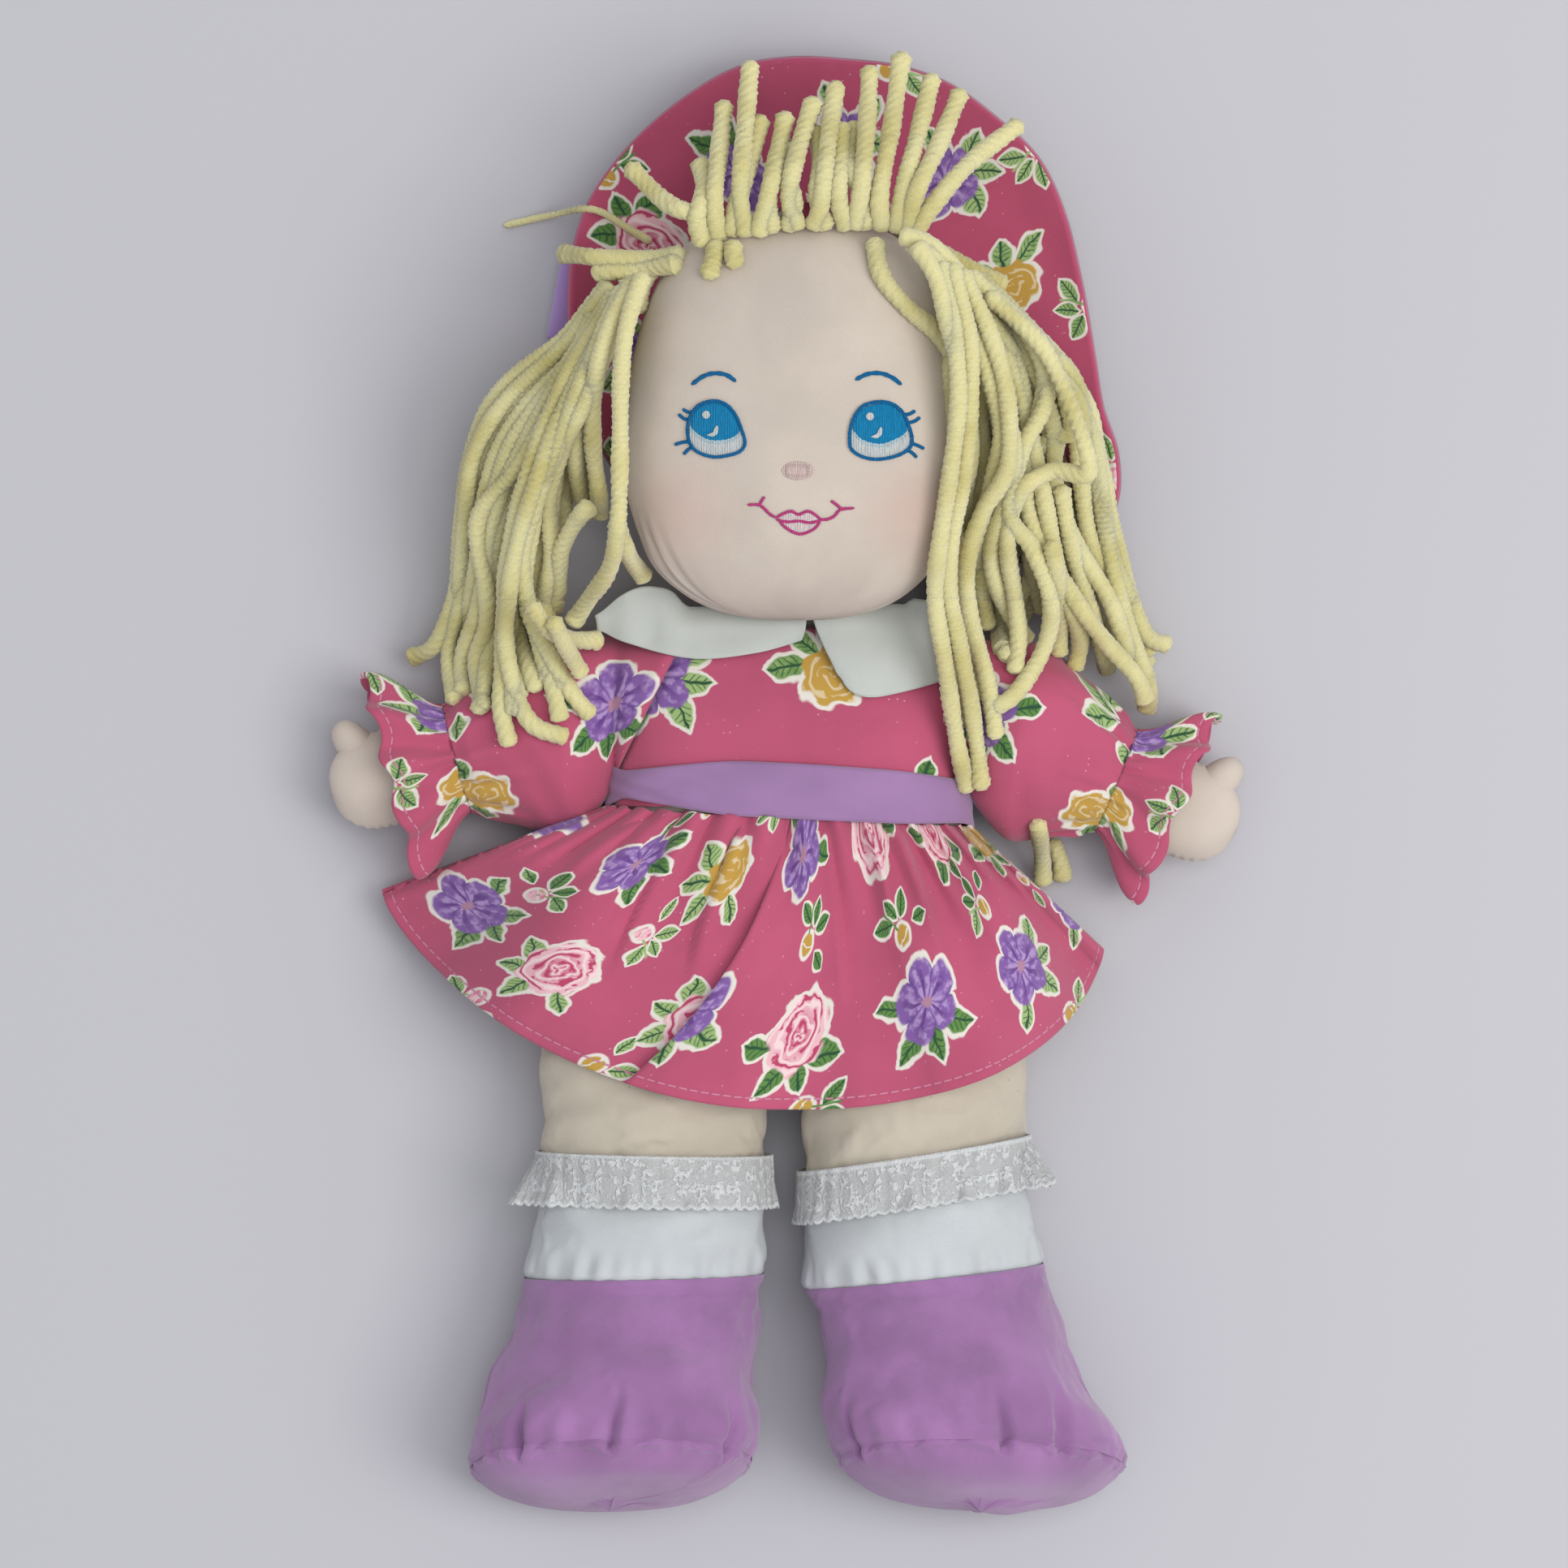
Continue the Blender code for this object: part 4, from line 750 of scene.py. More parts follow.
@dataclass(frozen=True)
class Printed(Finish):
    """Cotton with the flower print, pale specks and, near its hem, a row of stitches."""

    repeat: float = 0.0405
    speck: Colour = (0.80, 0.55, 0.60)
    hem_way: float = 0.0026
    stitch_pitch: float = 0.0028
    thread: Colour = (0.62, 0.22, 0.33)

    def finish(self, tree: Tree, shader: Node, cloth: Term, weave: dict[str, Term], colour: Term) -> None:
        """Adds the print, the specks and the hem's stitches. See Finish.finish."""
        specks = FLECKS.place(tree, Cloth=cloth, Scale=560.0, Share=0.26)
        ground = tinted(specks["Mask"] * 0.75, colour, self.speck)
        printed = FLOWERS.place(tree, Cloth=cloth, Repeat=self.repeat, Ground=ground)
        u, v, _ = split(tree, cloth)
        hem = STITCHES.place(tree, Along=u, In=v, Way=self.hem_way, Pitch=self.stitch_pitch)
        worn = tinted(hem["Thread"], printed["Colour"], self.thread)
        feed(tree, shader.inputs["Base Color"], worn)
        height = weave["Height"] * 0.25 + hem["Thread"] * 1.2 - hem["Dent"] * 0.9
        self.relief(tree, shader, height, self.bump * 0.0006)


@dataclass(frozen=True)
class Blushed(Finish):
    """The pale cloth of the face, with blush on the cheeks."""

    blush: Colour = (0.70, 0.30, 0.27)
    cheeks: tuple[Triple, ...] = ()
    cheek_size: float = 0.017

    def finish(self, tree: Tree, shader: Node, cloth: Term, weave: dict[str, Term], colour: Term) -> None:
        """Adds the blush round each cheek's centre. See Finish.finish."""
        x, y, z = split(tree, object_place(tree))
        for cheek in self.cheeks:
            a, b = x - cheek[0], y - cheek[1]
            away = (a * a + b * b).power(0.5) / self.cheek_size
            soft = away.below(0.55, 0.55) * z.above(cheek[2], 0.004) * 0.20
            colour = tinted(soft, colour, self.blush)
        super().finish(tree, shader, cloth, weave, colour)


@dataclass(frozen=True)
class Spun(Finish):
    """Soft plied yarn: its threads' shade, fuzz and slight unevenness."""

    shade: Colour = (0.53, 0.465, 0.165)

    def dress(self, tree: Tree, shader: Node) -> None:
        """Wires the material. See Finish.dress."""
        place = object_place(tree)
        patches = noise(tree, place, 60.0, 3.0)
        hairs = noise(tree, place, 2600.0, 2.0)
        colour = tinted(patches.above(0.42, 0.22), self.shade, self.colour)
        colour = tinted(hairs.above(0.60, 0.25) * 0.35, colour, self.shade)
        feed(tree, shader.inputs["Base Color"], colour)
        preset(shader, Subsurface_Weight=0.35, Subsurface_Radius=(1.0, 0.85, 0.35), Subsurface_Scale=0.004)
        self.relief(tree, shader, hairs, 0.0003)


@dataclass(frozen=True)
class Stitched(Finish):
    """Shiny embroidery thread, laid in short satin stitches along the cloth's V, with painted shade in the
    low grooves between the strands.
    """

    pitch: float = 0.00042

    def dress(self, tree: Tree, shader: Node) -> None:
        """Wires the material. See Finish.dress."""
        u, v, _ = split(tree, self.cloth(tree))
        wander = noise(tree, self.cloth(tree), 900.0, 2.0)
        strands = (u * (math.tau / self.pitch) + wander * 3.0).sine()
        breaks = noise(tree, joined(tree, u * 2600.0, v * 420.0), 1.0, 1.0)
        # Painted shade: the thread is darkened where its relief is low, in the grooves between the strands.
        dark = tuple(part * 0.62 for part in self.colour)
        shade = (strands * 0.5 + breaks).below(0.35, 0.5)
        feed(tree, shader.inputs["Base Color"], tinted(shade, self.colour, dark))
        self.relief(tree, shader, strands * 0.5 + breaks, 0.00022)


@dataclass(frozen=True)
class Laced(Finish):
    """White net lace with denser flowers and a scalloped look, thin enough to see through."""

    net: Colour = (0.63, 0.64, 0.63)

    def dress(self, tree: Tree, shader: Node) -> None:
        """Wires the material. See Finish.dress."""
        cloth = self.cloth(tree)
        _, v, _ = split(tree, cloth)
        cells = tree.nodes.new("ShaderNodeTexVoronoi")
        cells.feature = "DISTANCE_TO_EDGE"
        feed(tree, cells.inputs["Vector"], cloth)
        preset(cells, Scale=1150.0)
        net = Term(tree, cells.outputs["Distance"]).below(0.07, 0.09)
        flowers = noise(tree, cloth, 330.0, 3.0).above(0.50, 0.07)
        flowers *= noise(tree, cloth, 900.0, 1.0).above(0.42, 0.1)
        thick = flowers.most(v.below(0.0010, 0.0006)).most(v.above(0.0118, 0.0005))
        cover = (net * 0.5).most(thick * 0.9) * 0.30 + 0.58
        feed(tree, shader.inputs["Alpha"], cover)
        feed(tree, shader.inputs["Base Color"], tinted(thick, self.net, self.colour))
        self.relief(tree, shader, thick + net * 0.3, 0.0003)


class Finishes:
    """Every finish of the doll, by the piece that it dresses."""

    dress = Printed("pink_print", "dress_pink", (0.505, 0.092, 0.172))
    hat = Printed("pink_print_of_hat", "hat_pink", (0.47, 0.078, 0.15), hem_way=-1.0)
    plain_pink = Finish("pink_lining", "dress_pink", (0.47, 0.07, 0.155))
    sash = Finish("lilac_cotton", "sash_lilac", (0.37, 0.21, 0.415), 0.75, sheen=0.4, mottle=0.2)
    ribbon = Finish("lilac_ribbon", "ribbon_lilac", (0.42, 0.27, 0.60), 0.5, sheen=0.5)
    shoe = Finish(
        "lilac_brushed_cotton", "shoe_lilac", (0.40, 0.195, 0.425), bump=0.35, sheen=0.45, mottle=0.32
    )
    calico = Speckled("calico_with_flecks", "calico", (0.60, 0.54, 0.43))
    collar = Finish("white_collar_cotton", "collar_white", (0.56, 0.59, 0.55))
    sock = Finish("white_sock_cotton", "sock_white", (0.62, 0.655, 0.66), bump=0.4)
    lace = Laced("white_lace", "lace_white", (0.70, 0.72, 0.71))
    yarn = Spun("pale_yellow_yarn", "yarn", (0.76, 0.705, 0.375), 0.95, sheen=0.4)
    hands = Finish("skin_cotton", "skin_cloth", (0.67, 0.58, 0.49))
    face = Blushed(
        "skin_cotton_of_face",
        "skin_cloth",
        (0.63, 0.55, 0.465),
        cheeks=((-0.0255, 0.0655, 0.040), (0.0315, 0.0655, 0.040)),
    )
    blue = Stitched("blue_thread", "skin_cloth", (0.004, 0.27, 0.55), 0.6, sheen=0.0)
    deep_blue = Stitched("deep_blue_thread", "skin_cloth", (0.004, 0.17, 0.42), 0.6, sheen=0.0)
    ice_blue = Stitched("ice_blue_thread", "skin_cloth", (0.55, 0.70, 0.74), 0.6, sheen=0.0)
    white = Stitched("white_thread", "skin_cloth", (0.72, 0.76, 0.75), 0.5, sheen=0.1)
    magenta = Stitched("magenta_thread", "skin_cloth", (0.66, 0.06, 0.26), 0.5, sheen=0.1)
    rosy = Stitched("rosy_thread", "skin_cloth", (0.82, 0.63, 0.58), 0.7, sheen=0.0)
    lip = Stitched("pale_lip_thread", "skin_cloth", (0.90, 0.76, 0.74), 0.7, sheen=0.0)


# Mesh making.


def face_up(bm: Grid) -> None:
    """Turns every face so that it looks up."""
    for face in bm.faces:
        if face.normal.z < 0:
            face.normal_flip()


def placed(name: str, data: bpy.types.ID) -> Piece:
    """A new object with its data, in the scene."""
    obj = bpy.data.objects.new(name, data)
    bpy.context.scene.collection.objects.link(obj)
    return obj


def mesh_object(name: str, bm: Grid, finish: Finish) -> Piece:
    """Turns a bmesh into a smooth shaded piece with one finish.

    Args:
        name: the piece's name.
        bm: the mesh, which is freed.
        finish: what it is made of.

    Returns:
        The new object, at the origin.
    """
    mesh = bpy.data.meshes.new(name)
    bm.to_mesh(mesh)
    bm.free()
    mesh.shade_smooth()
    mesh.materials.append(finish.material())
    obj = placed(name, mesh)
    return obj


def lengths(points: Sequence[Vector]) -> list[float]:
    """The distance along a row of points, at each of them."""
    total, row = 0.0, [0.0]
    for before, after in zip(points, points[1:]):
        total += (after - before).length
        row.append(total)
    return row


def shaped_grid(
    across: int,
    along: int,
    place: Place,
    measure: Pair = (0.25, 0.5),
    corner: Pair = (0.0, 0.0),
    ends: Ends = Ends.OPEN,
) -> Grid:
    """A grid of quads, moved into shape point by point and welded where it meets itself.

    The map "cloth" holds each point's place on the unrolled cloth, in metres, measured
    along one row and one column of the grid.

    Args:
        across: how many quads run round or across the piece.
        along: how many run along it.
        place: the point at two shares, across and along.
        measure: the shares of the column and the row that are measured.
        corner: where the cloth's corner lies on the map.
        ends: whether open ends are filled.

    Returns:
        The mesh, with its faces pointing one way.
    """
    row = lengths([place(k / across, measure[1]) for k in range(across + 1)])
    column = lengths([place(measure[0], k / along) for k in range(along + 1)])
    bm = bmesh.new()
    bmesh.ops.create_grid(bm, x_segments=across, y_segments=along, size=0.5)
    layer = bm.loops.layers.uv.new("cloth")
    for face in bm.faces:
        for loop in face.loops:
            u, v = loop.vert.co.x + 0.5, loop.vert.co.y + 0.5
            there = (row[round(u * across)] + corner[0], column[round(v * along)] + corner[1])
            loop[layer].uv = there
    for vert in bm.verts:
        vert.co = place(vert.co.x + 0.5, vert.co.y + 0.5)
    bmesh.ops.remove_doubles(bm, verts=bm.verts, dist=1e-6)
    if ends is Ends.FILLED:
        bmesh.ops.holes_fill(bm, edges=[e for e in bm.edges if e.is_boundary], sides=0)
    bmesh.ops.recalc_face_normals(bm, faces=bm.faces)
    return bm


def thicken(obj: Piece, wall: float, offset: float = -1.0, rim: Finish | None = None) -> None:
    """Gives a sheet its thickness with a modifier, and applies it.

    Args:
        obj: the sheet.
        wall: the thickness.
        offset: -1 grows against the normals, 1 along them.
        rim: the finish of its narrow edge, where that isn't the sheet's own.
    """
    modifier = obj.modifiers.new("wall", "SOLIDIFY")
    if rim is not None:
        obj.data.materials.append(rim.material())
        modifier.material_offset_rim = 1
    modifier.thickness = wall
    modifier.offset = offset
    apply_modifiers(obj)


def apply_modifiers(obj: Piece) -> None:
    """Makes the modifiers' result the object's own mesh."""
    graph = bpy.context.evaluated_depsgraph_get()
    made = bpy.data.meshes.new_from_object(obj.evaluated_get(graph))
    old = obj.data
    obj.modifiers.clear()
    obj.data = made
    bpy.data.meshes.remove(old)
    made.shade_smooth()


def sewn(
    name: str, bm: Grid, finish: Finish, node: str, body: str = "", wall: float = 0.0, offset: float = -1.0
) -> Piece:
    """Makes a piece, gives it its wall and puts it in its node's place.

    Args:
        name: the piece's name.
        bm: the mesh, which is freed.
        finish: what it is made of.
        node: the node that it stands for.
        body: the body that it rides on, or nothing, which leaves it on no body.
        wall: its thickness, where it is a sheet.
        offset: -1 grows the wall against the normals, 1 along them.

    Returns:
        The piece.
    """
    obj = mesh_object(name, bm, finish)
    if wall:
        thicken(obj, wall, offset)
    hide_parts(node)
    if body:
        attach(obj, body)
    return obj


@dataclass(frozen=True)
class Stuffing:
    """How a sewn bag swells: a cloth simulation that holds its seams and presses outwards."""

    pressure: float = 3.0
    spare: float = 0.018
    limit: float = 0.0024
    frames: int = 12
    quality: int = 5
    mass: float = 0.05
    stretch_stiffness: float = 15.0
    bend_stiffness: float = 0.6

    def seams(self, mesh: bpy.types.Mesh) -> list[int]:
        """The vertices of a mesh's open edges, which are its sewn ends."""
        uses: dict[tuple[int, int], int] = {}
        for face in mesh.polygons:
            for key in face.edge_keys:
                uses[key] = uses.get(key, 0) + 1
        return sorted({k for key, count in uses.items() if count == 1 for k in key})

    def fill(self, obj: Piece) -> None:
        """Simulates the filling of a bag, before it is put on its body, and keeps the result."""
        start = [vert.co.copy() for vert in obj.data.vertices]
        group = obj.vertex_groups.new(name="seams")
        group.add(self.seams(obj.data), 1.0, "REPLACE")
        modifier = obj.modifiers.new("stuffing", "CLOTH")
        modifier.collision_settings.use_collision = False
        settings = modifier.settings
        settings.quality = self.quality
        settings.mass = self.mass
        settings.tension_stiffness = settings.compression_stiffness = self.stretch_stiffness
        settings.bending_stiffness = self.bend_stiffness
        settings.use_pressure = True
        settings.uniform_pressure_force = self.pressure
        settings.shrink_min = -self.spare
        settings.vertex_group_mass = group.name
        settings.effector_weights.gravity = 0
        scene = bpy.context.scene
        for frame in range(1, self.frames + 1):
            scene.frame_set(frame)
        graph = bpy.context.evaluated_depsgraph_get()
        moved = [vert.co - first for vert, first in zip(obj.evaluated_get(graph).data.vertices, start)]
        obj.modifiers.remove(modifier)
        obj.vertex_groups.remove(group)
        scene.frame_set(1)
        for vert, first, move in zip(obj.data.vertices, start, moved):
            size = move.length
            if size > 0:
                move *= self.limit * math.tanh(size / self.limit) / size
            vert.co = first + move
            vert.co.z = max(vert.co.z, FLOOR_GAP)


def section(
    centre: Vector, across: Vector, rise: Vector, width: float, depth: float, turn: float, power: float
) -> Vector:
    """A point on a rounded section.

    Args:
        centre: its middle.
        across: the direction of its width.
        rise: the direction of its depth.
        width: half its width.
        depth: half its depth.
        turn: the share of the way round, from the side over the top.
        power: 2 is an ellipse, more is boxier.

    Returns:
        The point.
    """
    c, s = math.cos(math.tau * turn), math.sin(math.tau * turn)
    swell = (abs(c) ** power + abs(s) ** power) ** (-1 / power)
    return centre + across * (c * swell * width) + rise * (s * swell * depth)


def surface_over(objects: Sequence[Piece]) -> BVHTree:
    """One search tree over the meshes of several finished pieces."""
    bm = bmesh.new()
    for obj in objects:
        bm.from_mesh(obj.data)
    tree = BVHTree.FromBMesh(bm)
    bm.free()
    return tree


def top_of(tree: BVHTree, x: float, y: float, missing: float = 0.0) -> float:
    """Height of the highest surface over a place of the floor."""
    hit = tree.ray_cast(Vector((x, y, 0.3)), Vector((0, 0, -1)))[0]
    return hit.z if hit is not None else missing


# The body and its dress.


@dataclass
class Torso:
    """The stuffed torso in its bodice, and the sash round its waist."""

    centre_x: float = 0.0015
    centre_z: float = 0.0205
    top: float = 0.0395
    hip_seam: float = -0.036
    width: float = 0.080
    depth: float = 0.036
    hip_width: float = 0.104
    top_depth_share: float = 0.30
    taper: float = 0.023
    power: float = 2.3
    bodice_top: float = 0.0385
    bodice_bottom: float = -0.0055
    bodice_grow: float = 0.0030
    bodice_wall: float = 0.0012
    sash_wall: float = 0.0008
    sash_y: float = -0.0022
    sash_width: float = 0.0125
    sash_slope: float = -0.05
    sash_gap: float = 0.0040
    gather_height: float = 0.0007
    seam_depth: float = 0.0009
    seam_reach: float = 0.0018
    seams: tuple[tuple[Vector, Vector], ...] = (
        (PLAN.at(842, 790), PLAN.at(748, 968)),
        (PLAN.at(1150, 790), PLAN.at(1196, 968)),
    )

    def half_width(self, y: float) -> float:
        """Half the torso's width at a height on its length."""
        t = (self.top - y) / (self.top - self.hip_seam)
        rounding = held(t * 5)
        shoulders = self.width / 2 * mix(0.80, 1, math.sqrt(max(0.0, 1 - (1 - rounding) ** 2)))
        return mix(shoulders, self.hip_width / 2, ease((t - 0.55) / 0.45))

    def half_depth(self, y: float) -> float:
        """Half the torso's depth at a height on its length."""
        t = held((self.top - y) / (self.top - self.hip_seam) * 2.2)
        full = self.depth / 2 * mix(self.top_depth_share, 1, math.sqrt(max(0.0, 1 - (1 - t) ** 2)))
        near = ease((y - self.hip_seam) / self.taper)
        return mix(0.0017, full, near**0.8)

    def around(self, turn: float, y: float, grow: float) -> Vector:
        """A point of the torso, grown by a length, at a share of the way round."""
        centre = Vector((self.centre_x, y, self.centre_z))
        width, depth = self.half_width(y) + grow, self.half_depth(y) + grow
        return section(centre, X_AXIS, Z_AXIS, width, depth, turn, self.power)

    def front(self, x: float, y: float, grow: float) -> float:
        """How high the torso's front, grown by a length, is over a place."""
        y = min(y, self.bodice_top)
        out = held(abs(x - self.centre_x) / (self.half_width(y) + grow))
        return self.centre_z + (self.half_depth(y) + grow) * superellipse(out, self.power)

    def seam_dent(self, point: Vector) -> float:
        """How deep the sleeve seams press in at a point of the front."""
        dent = 0.0
        for start, end in self.seams:
            line = (end - start).xy
            share = held((point - start).xy.dot(line) / line.length_squared)
            near = start.xy + line * share
            dent = max(dent, hump((point.xy - near).length, 0, self.seam_reach))
        return dent

    def bodice_point(self, u: float, v: float) -> Vector:
        """A point of the bodice: once round, then from the waist to the neck."""
        y = mix(self.bodice_bottom, self.bodice_top, v)
        wrinkle = Ripple(11, 6, 1.0, 3.5).ring(u, y * 30, 3)
        point = self.around(u, y, self.bodice_grow + 0.00035 * wrinkle)
        gathers = hump(y, self.bodice_bottom, 0.014) * Ripple(12, 7, 9, 26).ring(u)
        if point.z > self.centre_z:
            point.z += self.gather_height * gathers
        if point.z > self.centre_z:
            point.z -= self.seam_depth * self.seam_dent(point)
        point.z = max(point.z, 0.0)
        return point

    def sash_point(self, u: float, v: float) -> Vector:
        """A point of the sash: once round, then across its width."""
        across = held(0.5 - 0.5 * math.cos(math.tau * u + math.pi))
        front = ease(2 * math.sin(math.tau * u))
        narrow = 1 - front * (0.50 * (1 - ease(across * 2.6)) + 0.15 * ease(across * 4 - 3))
        y = self.sash_y + self.sash_width * narrow * (v - 0.5) * (1 + 0.04 * Ripple(21, 4, 1, 3).ring(u))
        y += 0.0010 * front * math.sin(math.pi * across) * v
        swell = math.sin(math.pi * mix(0.04, 0.96, v)) ** 0.6
        crease = Ripple(22, 6, 1.0, 2.6).ring(u, v * 0.9, 5)
        grow = self.sash_gap + 0.0011 * swell + 0.00045 * crease
        point = self.around(u, y, grow)
        point.y += (point.x - self.centre_x) * self.sash_slope
        point.z = max(point.z, 0.0)
        return point

    def build(self) -> list[Piece]:
        """Makes the torso bag, the bodice and the sash, and puts them on their body.

        Returns:
            The three pieces.
        """
        def bag(u: float, v: float) -> Vector:
            """A point of the torso bag."""
            return self.around(u, mix(self.hip_seam + 0.0009, self.top, v), 0)

        torso_grid = shaped_grid(64, 30, bag, ends=Ends.FILLED)
        torso = sewn("torso_bag", torso_grid, Finishes.calico, "torso", "torso")
        bodice_grid = shaped_grid(300, 70, self.bodice_point, corner=(0.019, 0.0665))
        bodice = sewn("dress_bodice", bodice_grid, Finishes.dress, "bodice", "torso", self.bodice_wall)
        sash_grid = shaped_grid(200, 14, self.sash_point, corner=(0, 0.05))
        sash = sewn("waist_sash", sash_grid, Finishes.sash, "sash", "torso", self.sash_wall)
        return [torso, bodice, sash]


@dataclass
class Head:
    """The stuffed head and the neck behind the chin."""

    centre: Vector = field(default_factory=lambda: Vector((0.003, 0.0885, 0.042)))
    width: float = 0.084
    length: float = 0.097
    depth: float = 0.056
    cheeks: float = 0.10
    jaw_power: float = 0.76
    crown_power: float = 0.46
    box_power: float = 2.8
    neck_root: Vector = field(default_factory=lambda: Vector((0.003, 0.0385, 0.0205)))
    neck_end: Vector = field(default_factory=lambda: Vector((0.003, 0.056, 0.026)))
    neck_width: float = 0.033
    neck_depths: Pair = (0.0058, 0.0092)
    neck_gathers: int = 13

    def point(self, u: float, v: float) -> Vector:
        """A point of the head: once round, then from chin to crown."""
        angle = math.pi * v
        along = -math.cos(angle)
        reach = max(0.0, math.sin(angle)) ** mix(self.jaw_power, self.crown_power, ease(v * 3 - 1))
        width = self.width / 2 * reach * (1 - self.cheeks * along)
        depth = self.depth / 2 * reach
        puff = 1 + 0.010 * Ripple(31, 5, 0.6, 1.6).at(math.cos(math.tau * u), v * 1.5)
        jaw = hump(v, 0.10, 0.12)
        pucker = 0.0013 * jaw * Ripple(32, 8, 7, 19).ring(u) * (0.45 + 0.55 * abs(math.cos(math.tau * u)))
        left_gather = 0.0028 * hump(u, 0.44, 0.07) * hump(v, 0.20, 0.16)
        left_gather *= math.sin(u * 260 + v * 9)
        centre = self.centre + Y_AXIS * (along * self.length / 2)
        grow = (pucker + left_gather) * reach
        return section(centre, X_AXIS, Z_AXIS, width * puff + grow, depth * puff + grow, u, self.box_power)

    def neck_point(self, u: float, v: float) -> Vector:
        """A point of the neck: once round, then from the torso into the head."""
        centre = self.neck_root.lerp(self.neck_end, v)
        gathers = 1 + 0.05 * math.sin(math.tau * self.neck_gathers * u)
        depth = mix(*self.neck_depths, ease(v)) * gathers
        return section(centre, X_AXIS, Z_AXIS, self.neck_width / 2, depth, u, 2.0)

    def build(self) -> list[Piece]:
        """Makes the head and the neck.

        Returns:
            The two pieces.
        """
        head = sewn("head_bag", shaped_grid(160, 110, self.point), Finishes.face, "head", "head")
        neck = sewn("neck_tube", shaped_grid(64, 16, self.neck_point), Finishes.hands, "neck")
        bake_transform(neck)
        return [head, neck]


@dataclass
class Collar:
    """Half of the round collar, which lies on the chest and the top of the sleeve."""

    side: Side
    neck: Path
    edge: Path
    flat: Pair
    round_share: float = 0.66
    chin_y: float = 0.0415
    chin_x: float = 0.003
    chin_width: float = 0.026
    highest: float = 0.0350
    wall: float = 0.0013
    smoothings: int = 12

    def point(self, u: float, v: float, under: BVHTree) -> Vector:
        """A point of the collar: from the centre front outwards, then from neck to edge."""
        top = spline([PLAN.at(*place) for place in self.neck], u)
        low = spline([PLAN.at(*place) for place in self.edge], u)
        place = top.lerp(low, v)
        free = ease((abs(place.x - self.chin_x) - self.chin_width) / 0.008)
        y = min(place.y, mix(self.chin_y, 0.0485, free)) + (1 - free) * 0.002 * (1 - v) ** 4
        steps = (-0.003, -0.0015, 0, 0.0015, 0.003)
        highest = self.highest - 0.007 * ease((abs(place.x) - 0.030) / 0.010)
        under_chin = (1 - free) * ease((place.y - 0.038) / 0.005)
        heights = sorted(top_of(under, place.x + a, min(highest, y + b)) for a in steps for b in steps)
        upper = heights[len(heights) // 2:]
        rest = sum(upper) / len(upper)
        roll = 0.0008 * math.sin(math.pi * held(v)) + 0.0012 * (1 - v) ** 2 - 0.004 * under_chin
        return Vector((place.x, y, rest + 0.0007 + roll + 0.0003 * Ripple(41, 4, 0.5, 2).at(u * 2, v)))

    def build(self, under: BVHTree) -> Piece:
        """Makes the collar half over what it lies on.

        Args:
            under: the search tree of the bodice and the sleeves.

        Returns:
            The piece.
        """
        bm = shaped_grid(64, 24, lambda u, v: self.point(u, v, under), corner=(0, 0.01))
        for _ in range(self.smoothings):
            bmesh.ops.smooth_vert(bm, verts=bm.verts, factor=0.5, use_axis_z=True)
        face_up(bm)
        word = self.side.word
        obj = sewn(f"collar_half_{word}", bm, Finishes.collar, f"collar_{word}", "torso", self.wall, 1.0)
        return obj


